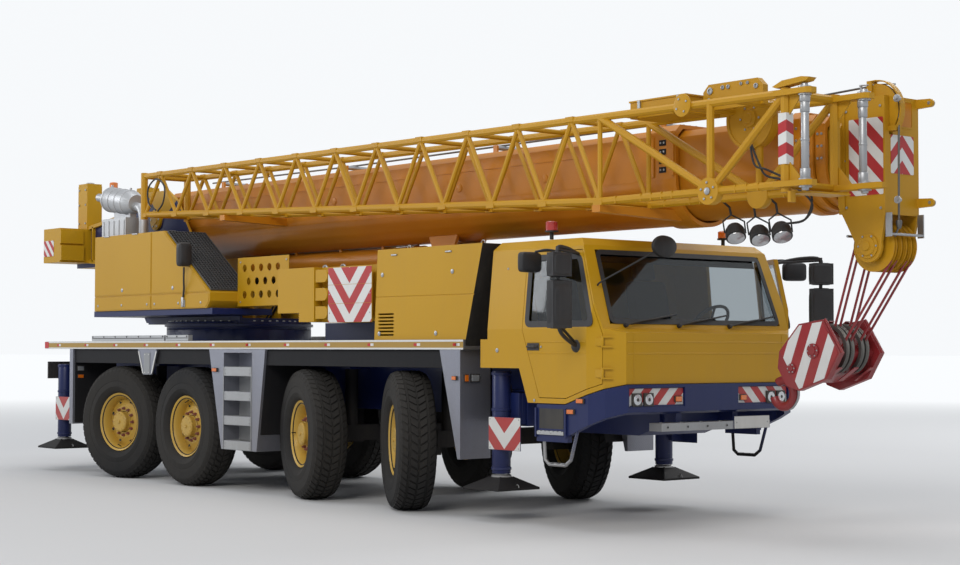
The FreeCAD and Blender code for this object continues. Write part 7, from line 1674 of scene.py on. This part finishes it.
    # control cable loops down to the lamps, and the rear cable drum with its hose
    for k, drop in enumerate((0.0, 0.05)):
        add_tube(bm, smooth_path([at(4.02, far - 0.06, 3.30), at(4.16 + drop, far - 0.16, 3.08), at(4.34, far - 0.22, 3.02 - drop),
                                  at(4.52 - drop, far - 0.14, 2.92), at(4.66, far - 0.05, 2.80 - drop),
                                  at(4.52, far + 0.04, 2.62), at(4.24, far + 0.10, 2.60)], 6), 0.009, 8, 0)
    add_tube(bm, smooth_path([at(-4.77, -1.205, 3.20), at(-4.60, -1.23, 3.30), at(-4.58, -1.23, 3.48), at(-4.77, -1.23, 3.58),
                              at(-4.96, -1.23, 3.48), at(-4.94, -1.23, 3.30), at(-4.78, -1.225, 3.21)], 6), 0.010, 8, 0)
    piece("jib_cables", bm, "boom", hose_black)
    for index, (x, z) in enumerate(((3.66, 2.555), (3.93, 2.525), (4.17, 2.540))):
        bm = bmesh.new()
        way = Vector((0.35, -0.25, -0.55)).normalized()
        centre = at(x, -0.43, z)
        add_lathe(bm, ((0.030, -0.075), (0.060, -0.070), (0.080, -0.035), (0.086, 0.020), (0.086, 0.050), (0.078, 0.056)),
                  centre, way, 32, 0)
        add_lathe(bm, ((0.076, 0.050), (0.072, 0.060), (0.040, 0.066), (0.0, 0.068)), centre, way, 32, 1)
        side = way.cross(Vector((0, 0, 1))).normalized()
        for k in (-1, 1):
            add_tube(bm, [centre + side * (0.090 * k), centre + side * (0.092 * k) + Vector((0, -0.02, 0.10)),
                          centre + Vector((0, -0.05, 0.155))], 0.007, 8, 0)
        add_tube(bm, [centre + Vector((0, -0.05, 0.150)), at(x, -0.50, 2.770), at(x, -0.575, 2.812)], 0.010, 8, 0)
        piece("work_lamp_%d" % (index + 1), bm, "boom", black_seals_and_shade, lens_clear, smooth=40.0)


def add_head_details():
    """Boards, ropes, guards and pin caps of the boom head."""
    bm = bmesh.new()
    add_panel(bm, [at(x, -0.2203, z) for x, z in ((4.706, 2.81), (5.045, 2.81), (5.045, 3.43), (4.706, 3.43))], 0.003, 0, 0.012)
    piece("head_board_side", bm, "boom_head", slant_finish("head_stripes_side", (1.0, 0.0, 1.0), 0.24, 0.07))
    bm = bmesh.new()
    add_panel(bm, [at(x, 0.2203, z) for x, z in ((4.706, 2.81), (4.706, 3.43), (5.045, 3.43), (5.045, 2.81))], 0.003, 0, 0.012)
    piece("head_board_far", bm, "boom_head", slant_finish("head_stripes_far", (1.0, 0.0, 1.0), 0.24, 0.07))
    bm = bmesh.new()
    add_panel(bm, [at(5.0603, y, z) for y, z in ((-0.144, 2.98), (0.151, 2.98), (0.151, 3.29), (-0.144, 3.29))], 0.003, 0, 0.012)
    piece("head_board_front", bm, "boom_head", chevron_finish("head_stripes_front", 0.0, "Y", 0.21, 0.06, 1.0))
    bm = bmesh.new()
    add_panel(bm, [at(5.0603, y, z) for y, z in ((-0.05, 3.35), (0.14, 3.35), (0.14, 3.575), (-0.05, 3.575))], 0.002, 0, 0.03)
    add_frame_strip(bm, [at(5.0623, y, z) for y, z in ((-0.05, 3.35), (0.14, 3.35), (0.14, 3.575), (-0.05, 3.575))], 0.012,
                    0.004, 1, 0.03)
    for sign in (-1, 1):
        cap = at(4.890, sign * 0.2203, 2.400)
        add_lathe(bm, ((0.100, 0.0), (0.100, 0.010), (0.078, 0.012), (0.074, 0.022), (0.040, 0.024), (0.036, 0.036),
                       (0.0, 0.037)), cap, (0, sign, 0), 40, 1)
        add_bolts(bm, [cap + Vector((0.088 * math.cos(a), sign * 0.010, 0.088 * math.sin(a)))
                       for a in (2 * math.pi * k / 6 for k in range(6))], (0, sign, 0), 0.009, 0.008, 2)
        for x, z in ((4.68, 2.72), (4.68, 3.50), (5.02, 2.70), (5.02, 3.52), (4.66, 3.10)):
            add_bolts(bm, [at(x, sign * 0.2203, z)], (0, sign, 0), 0.012, 0.010, 2)
        y0, y1 = sorted((sign * 0.2203, sign * 0.234))
        add_box(bm, at(4.640, y0, 2.70), at(4.668, y1, 3.52), 1)
        for z in (2.755, 3.560):
            add_lathe(bm, ((0.030, 0.0), (0.030, 0.014), (0.015, 0.016)), at(5.186, sign * 0.2203, z), (0, sign, 0), 20, 2)
            add_lathe(bm, ((0.014, -0.034), (0.014, 0.026), (0.0, 0.027)), at(5.186, sign * 0.2203, z), (0, sign, 0), 16, 2)
    top = at(4.925, -0.140, 3.485)
    for sign in (-1, 1):
        add_lathe(bm, ((0.060, 0.0), (0.060, 0.010), (0.040, 0.012), (0.0, 0.013)),
                  top + Vector((0, sign * 0.0172, 0)), (0, sign, 0), 28, 1)
    piece("head_fittings", bm, "boom_head", paint_boom, paint_jib, bare_steel, bevel=0.0015)
    bm = bmesh.new()
    for x, y in ((4.817, -0.205), (5.046, -0.075)):
        add_rod(bm, at(x, y, 3.595), at(x, y, 3.700), 0.008, 10, 0)
        add_lathe(bm, ((0.014, 0.0), (0.014, 0.012)), at(x, y, 3.695), (0, 0, 1), 12, 0)
    add_tube(bm, [at(4.817, -0.205, 3.704), at(5.046, -0.075, 3.704)], 0.0055, 8, 0)
    for y in (-0.207, 0.207):
        add_box(bm, at(5.058, y - 0.006, 2.47), at(5.115, y + 0.006, 2.66), 0)
    add_rod(bm, at(5.103, -0.212, 2.490), at(5.103, 0.212, 2.490), 0.011, 12, 0)
    add_rod(bm, at(4.675, -0.212, 2.490), at(4.675, 0.212, 2.490), 0.011, 12, 0)
    piece("head_guards", bm, "boom_head", bare_steel)
    bm = bmesh.new()
    ring = []
    for k in range(13):
        a = math.radians(95 - 95 * k / 12)
        ring.append(top + Vector((0.2135 * math.cos(a), 0, 0.2135 * math.sin(a))))
    path = [at(3.02, -0.07, 3.642), at(4.30, -0.115, 3.680)] + ring + [at(5.132, -0.140, 2.55), at(5.085, -0.130, 2.475)]
    add_tube(bm, path, 0.009, 8, 0)
    add_lathe(bm, ((0.022, 0.0), (0.026, 0.02), (0.020, 0.055), (0.012, 0.07)), at(5.133, -0.140, 2.60), (0, 0, -1), 16, 0)
    piece("head_rope", bm, "boom_head", cable_steel)


def add_hook_block():
    """Striped cheeks, sheaves, pins and the safety catch of the tilted hook block."""
    tilt = math.radians(57.0)
    centre = at(4.550, 0, 1.670)

    def local(u, w, y=0.0):
        return centre + Vector((u * math.cos(tilt) + w * math.sin(tilt), y, -u * math.sin(tilt) + w * math.cos(tilt)))

    shape = ((-0.150, 0.008), (0.150, 0.008), (0.255, -0.210), (0.182, -0.500), (-0.182, -0.500), (-0.255, -0.210))
    bm = bmesh.new()
    for sign in (-1, 1):
        pts = [local(u, w, sign * 0.2903) for u, w in shape]
        normal = Vector((0, sign * 0.0035, 0))
        add_prism(bm, pts, normal, 0)
    piece("hook_block_stripes", bm, "boom_head",
          surface("hook_stripes", (0.70, 0.70, 0.69), (0.55, 0.55, 0.55), rough=0.34, vary=0.3, dirt=0.25, dirt_height=1.8,
                  stripes=((0.30, 0.012, 0.016), (0.93, 0.0, -0.36), (0.0, 0.0, 0.0), 0.0, 0.185, 0.02), bump=0.05), bevel=0.001)
    bm = bmesh.new()
    across = Vector((0, 1, 0))
    for sign in (-1, 1):
        for w, r in ((-0.200, 0.060), (-0.470, 0.042)):
            add_lathe(bm, ((r, 0.0), (r, 0.012), (r * 0.6, 0.014), (r * 0.55, 0.024), (0.0, 0.025)),
                      local(0, w, sign * 0.2936), across * sign, 32, 0)
            add_bolts(bm, [local(r * 0.8 * math.cos(a), w + r * 0.8 * math.sin(a), sign * 0.3056)
                           for a in (2 * math.pi * k / 6 for k in range(6))], across * sign, 0.007, 0.006, 1)
        rim = [local(u, w, sign * 0.2600) for u, w in ((-0.165, 0.022), (0.165, 0.022))]
        add_tube(bm, rim, 0.012, 8, 0)
    for y in (-0.128, -0.064, 0.064, 0.128):
        add_lathe(bm, ((0.180, -0.020), (0.212, -0.020), (0.212, -0.014), (0.196, 0.0), (0.212, 0.014), (0.212, 0.020),
                       (0.180, 0.020)), local(0, -0.180, y), (0, 1, 0), 44, 2, True)
    for y0, y1 in ((-0.23, -0.18), (-0.03, 0.03), (0.18, 0.23)):
        for u in (-0.232, 0.226):
            ring = [local(u, -0.10, y0), local(u, -0.30, y0), local(u + 0.008, -0.30, y0), local(u + 0.008, -0.10, y0)]
            add_prism(bm, ring, (0, y1 - y0, 0), 0)
    piece("hook_block_fittings", bm, "boom_head", hook_paint, bare_steel, cable_steel, bevel=0.0015)
    bm = bmesh.new()
    nut = local(0, -0.640)
    add_lathe(bm, ((0.078, 0.0), (0.078, 0.052), (0.070, 0.058), (0.052, 0.058)), nut,
              Vector((-math.sin(tilt), 0, -math.cos(tilt))), 6, 0)
    latch = [local(0.030, -0.700, 0.0), local(0.115, -0.760, 0.0), local(0.150, -0.850, 0.0), local(0.135, -0.905, 0.0)]
    add_tube(bm, smooth_path(latch, 4), 0.011, 8, 1)
    piece("hook_catch", bm, "boom_head", hook_paint, bare_steel)


def add_derrick_details():
    """Gland ring, pipes and clamps on the derrick's barrel."""
    bm = bmesh.new()
    foot = at(-4.4617, 0, 2.554)
    way = (1, 0, 0)
    add_lathe(bm, ((0.0935, 3.2805), (0.1255, 3.2805), (0.1255, 3.292), (0.118, 3.300), (0.0935, 3.300)), foot, way, 48, 0,
              True)
    add_bolts(bm, [foot + Vector((3.300, 0.108 * math.cos(a), 0.108 * math.sin(a)))
                   for a in (2 * math.pi * k / 10 for k in range(10))], way, 0.007, 0.007, 1)
    for x in (0.34, 3.14):
        add_lathe(bm, ((0.1252, x), (0.1285, x + 0.003), (0.1285, x + 0.045), (0.1252, x + 0.048)), foot, way, 48, 0, True)
    for y in (-0.045, 0.045):
        add_tube(bm, smooth_path([foot + Vector((0.42, y, 0.118)), foot + Vector((0.48, y, 0.142)),
                                  foot + Vector((1.80, y, 0.142)), foot + Vector((3.02, y, 0.142)),
                                  foot + Vector((3.10, y, 0.120))], 3), 0.011, 8, 1)
    for x in (0.9, 1.8, 2.6):
        add_box(bm, foot + Vector((x, -0.065, 0.112)), foot + Vector((x + 0.04, 0.065, 0.157)), 0)
    piece("derrick_fittings", bm, "derrick_barrel", paint_boom, bare_steel, bevel=0.0015)


def add_cab_beacons():
    """Two warning beacons on black stems over the cab roof."""
    add_beacon("beacon_right", at(1.97, -1.00, 2.62), 0.062, 0.055, 0.105, lens_red, "carrier")
    add_beacon("beacon_left", at(2.21, 1.00, 2.62), 0.062, 0.050, 0.090, beacon_orange, "carrier")


add_boom_details()
add_jib_details()
add_head_details()
add_hook_block()
add_derrick_details()
add_cab_beacons()
recolour("jib", bare_steel, at(5.015, -1.215, 2.865), at(5.085, -1.145, 3.520))
recolour("jib", bare_steel, at(5.100, -0.625, 2.865), at(5.170, -0.555, 3.520))
# Camera, floor and light.

camera_data = bpy.data.cameras.new("photo_camera")
camera = bpy.data.objects.new("photo_camera", camera_data)
bpy.context.scene.collection.objects.link(camera)
bpy.context.scene.camera = camera
camera_data.sensor_fit = "HORIZONTAL"
camera_data.sensor_width = 36.0
camera_data.lens = 36.0 * 1777.6 / 960.0
camera_data.clip_end = 500.0
yaw, pitch, roll = math.radians(140.274), math.radians(2.142), math.radians(0.083)
heading = Vector((math.cos(yaw) * math.cos(pitch), math.sin(yaw) * math.cos(pitch), math.sin(pitch)))
camera.rotation_mode = "QUATERNION"
camera.rotation_quaternion = heading.to_track_quat("-Z", "Y") @ Matrix.Rotation(roll, 4, "Z").to_quaternion()
camera.location = at(13.8451, -11.7063, 1.5718)


PALE = (0.93, 0.95, 0.97)


def stage_plane():
    """A pale floor that fades into the backdrop's colour with distance."""
    mesh = bpy.data.meshes.new("floor")
    bm = bmesh.new()
    bmesh.ops.create_circle(bm, cap_ends=True, segments=96, radius=450.0)
    bm.to_mesh(mesh)
    bm.free()
    floor = bpy.data.objects.new("floor", mesh)
    bpy.context.scene.collection.objects.link(floor)
    material = bpy.data.materials.new("pale_floor")
    material.use_nodes = True
    tree = material.node_tree
    shader = tree.nodes["Principled BSDF"]
    shader.inputs["Roughness"].default_value = 0.9
    shader.inputs["Specular IOR Level"].default_value = 0.1
    shader.inputs["Emission Strength"].default_value = 1.0
    distance = tree.nodes.new("ShaderNodeVectorMath")
    distance.operation = "LENGTH"
    tree.links.new(place_of(tree), distance.inputs[0])
    far = ramp(tree, distance.outputs["Value"], 11.0, 38.0)
    tree.links.new(mixed(tree, far, (0.66, 0.66, 0.66, 1.0), (0.0, 0.0, 0.0, 1.0)), shader.inputs["Base Color"])
    tree.links.new(mixed(tree, far, (0.0, 0.0, 0.0, 1.0), PALE + (1.0,)), shader.inputs["Emission Color"])
    mesh.materials.append(material)


stage_plane()


def area_light(name, where, aim, size, power, color=(1.0, 1.0, 1.0)):
    data = bpy.data.lights.new(name, "AREA")
    data.shape = "RECTANGLE"
    data.size, data.size_y = size
    data.energy = power
    data.color = color
    lamp = bpy.data.objects.new(name, data)
    bpy.context.scene.collection.objects.link(lamp)
    lamp.location = where
    lamp.rotation_euler = (Vector(aim) - Vector(where)).to_track_quat("-Z", "Y").to_euler()


area_light("key", (14.0, -22.0, 16.0), (0.0, 0.0, 1.5), (14.0, 10.0), 3100.0, (1.0, 0.97, 0.93))
area_light("fill", (-20.0, -14.0, 10.0), (0.0, 0.0, 1.5), (12.0, 8.0), 1300.0, (0.95, 0.97, 1.0))
area_light("rim", (2.0, 22.0, 14.0), (0.0, 0.0, 2.0), (16.0, 8.0), 2000.0)
area_light("sky", (0.0, 0.0, 24.0), (0.0, 0.0, 0.0), (22.0, 14.0), 2000.0, (0.97, 0.98, 1.0))

world = bpy.data.worlds.new("studio")
bpy.context.scene.world = world
world.use_nodes = True
tree = world.node_tree
background = tree.nodes["Background"]
background.inputs["Color"].default_value = (0.80, 0.85, 0.92, 1.0)
background.inputs["Strength"].default_value = 0.42
seen = tree.nodes.new("ShaderNodeBackground")
seen.inputs["Color"].default_value = PALE + (1.0,)
seen.inputs["Strength"].default_value = 1.0
path = tree.nodes.new("ShaderNodeLightPath")
direct = math_node(tree, "MAXIMUM", path.outputs["Is Camera Ray"], path.outputs["Is Transmission Ray"])
shown = math_node(tree, "MAXIMUM", direct, math_node(tree, "MULTIPLY", path.outputs["Is Glossy Ray"], 0.6))
swap = tree.nodes.new("ShaderNodeMixShader")
tree.links.new(shown, swap.inputs["Fac"])
tree.links.new(background.outputs[0], swap.inputs[1])
tree.links.new(seen.outputs[0], swap.inputs[2])
tree.links.new(swap.outputs[0], tree.nodes["World Output"].inputs["Surface"])

bpy.context.scene.view_settings.view_transform = "Standard"

import json
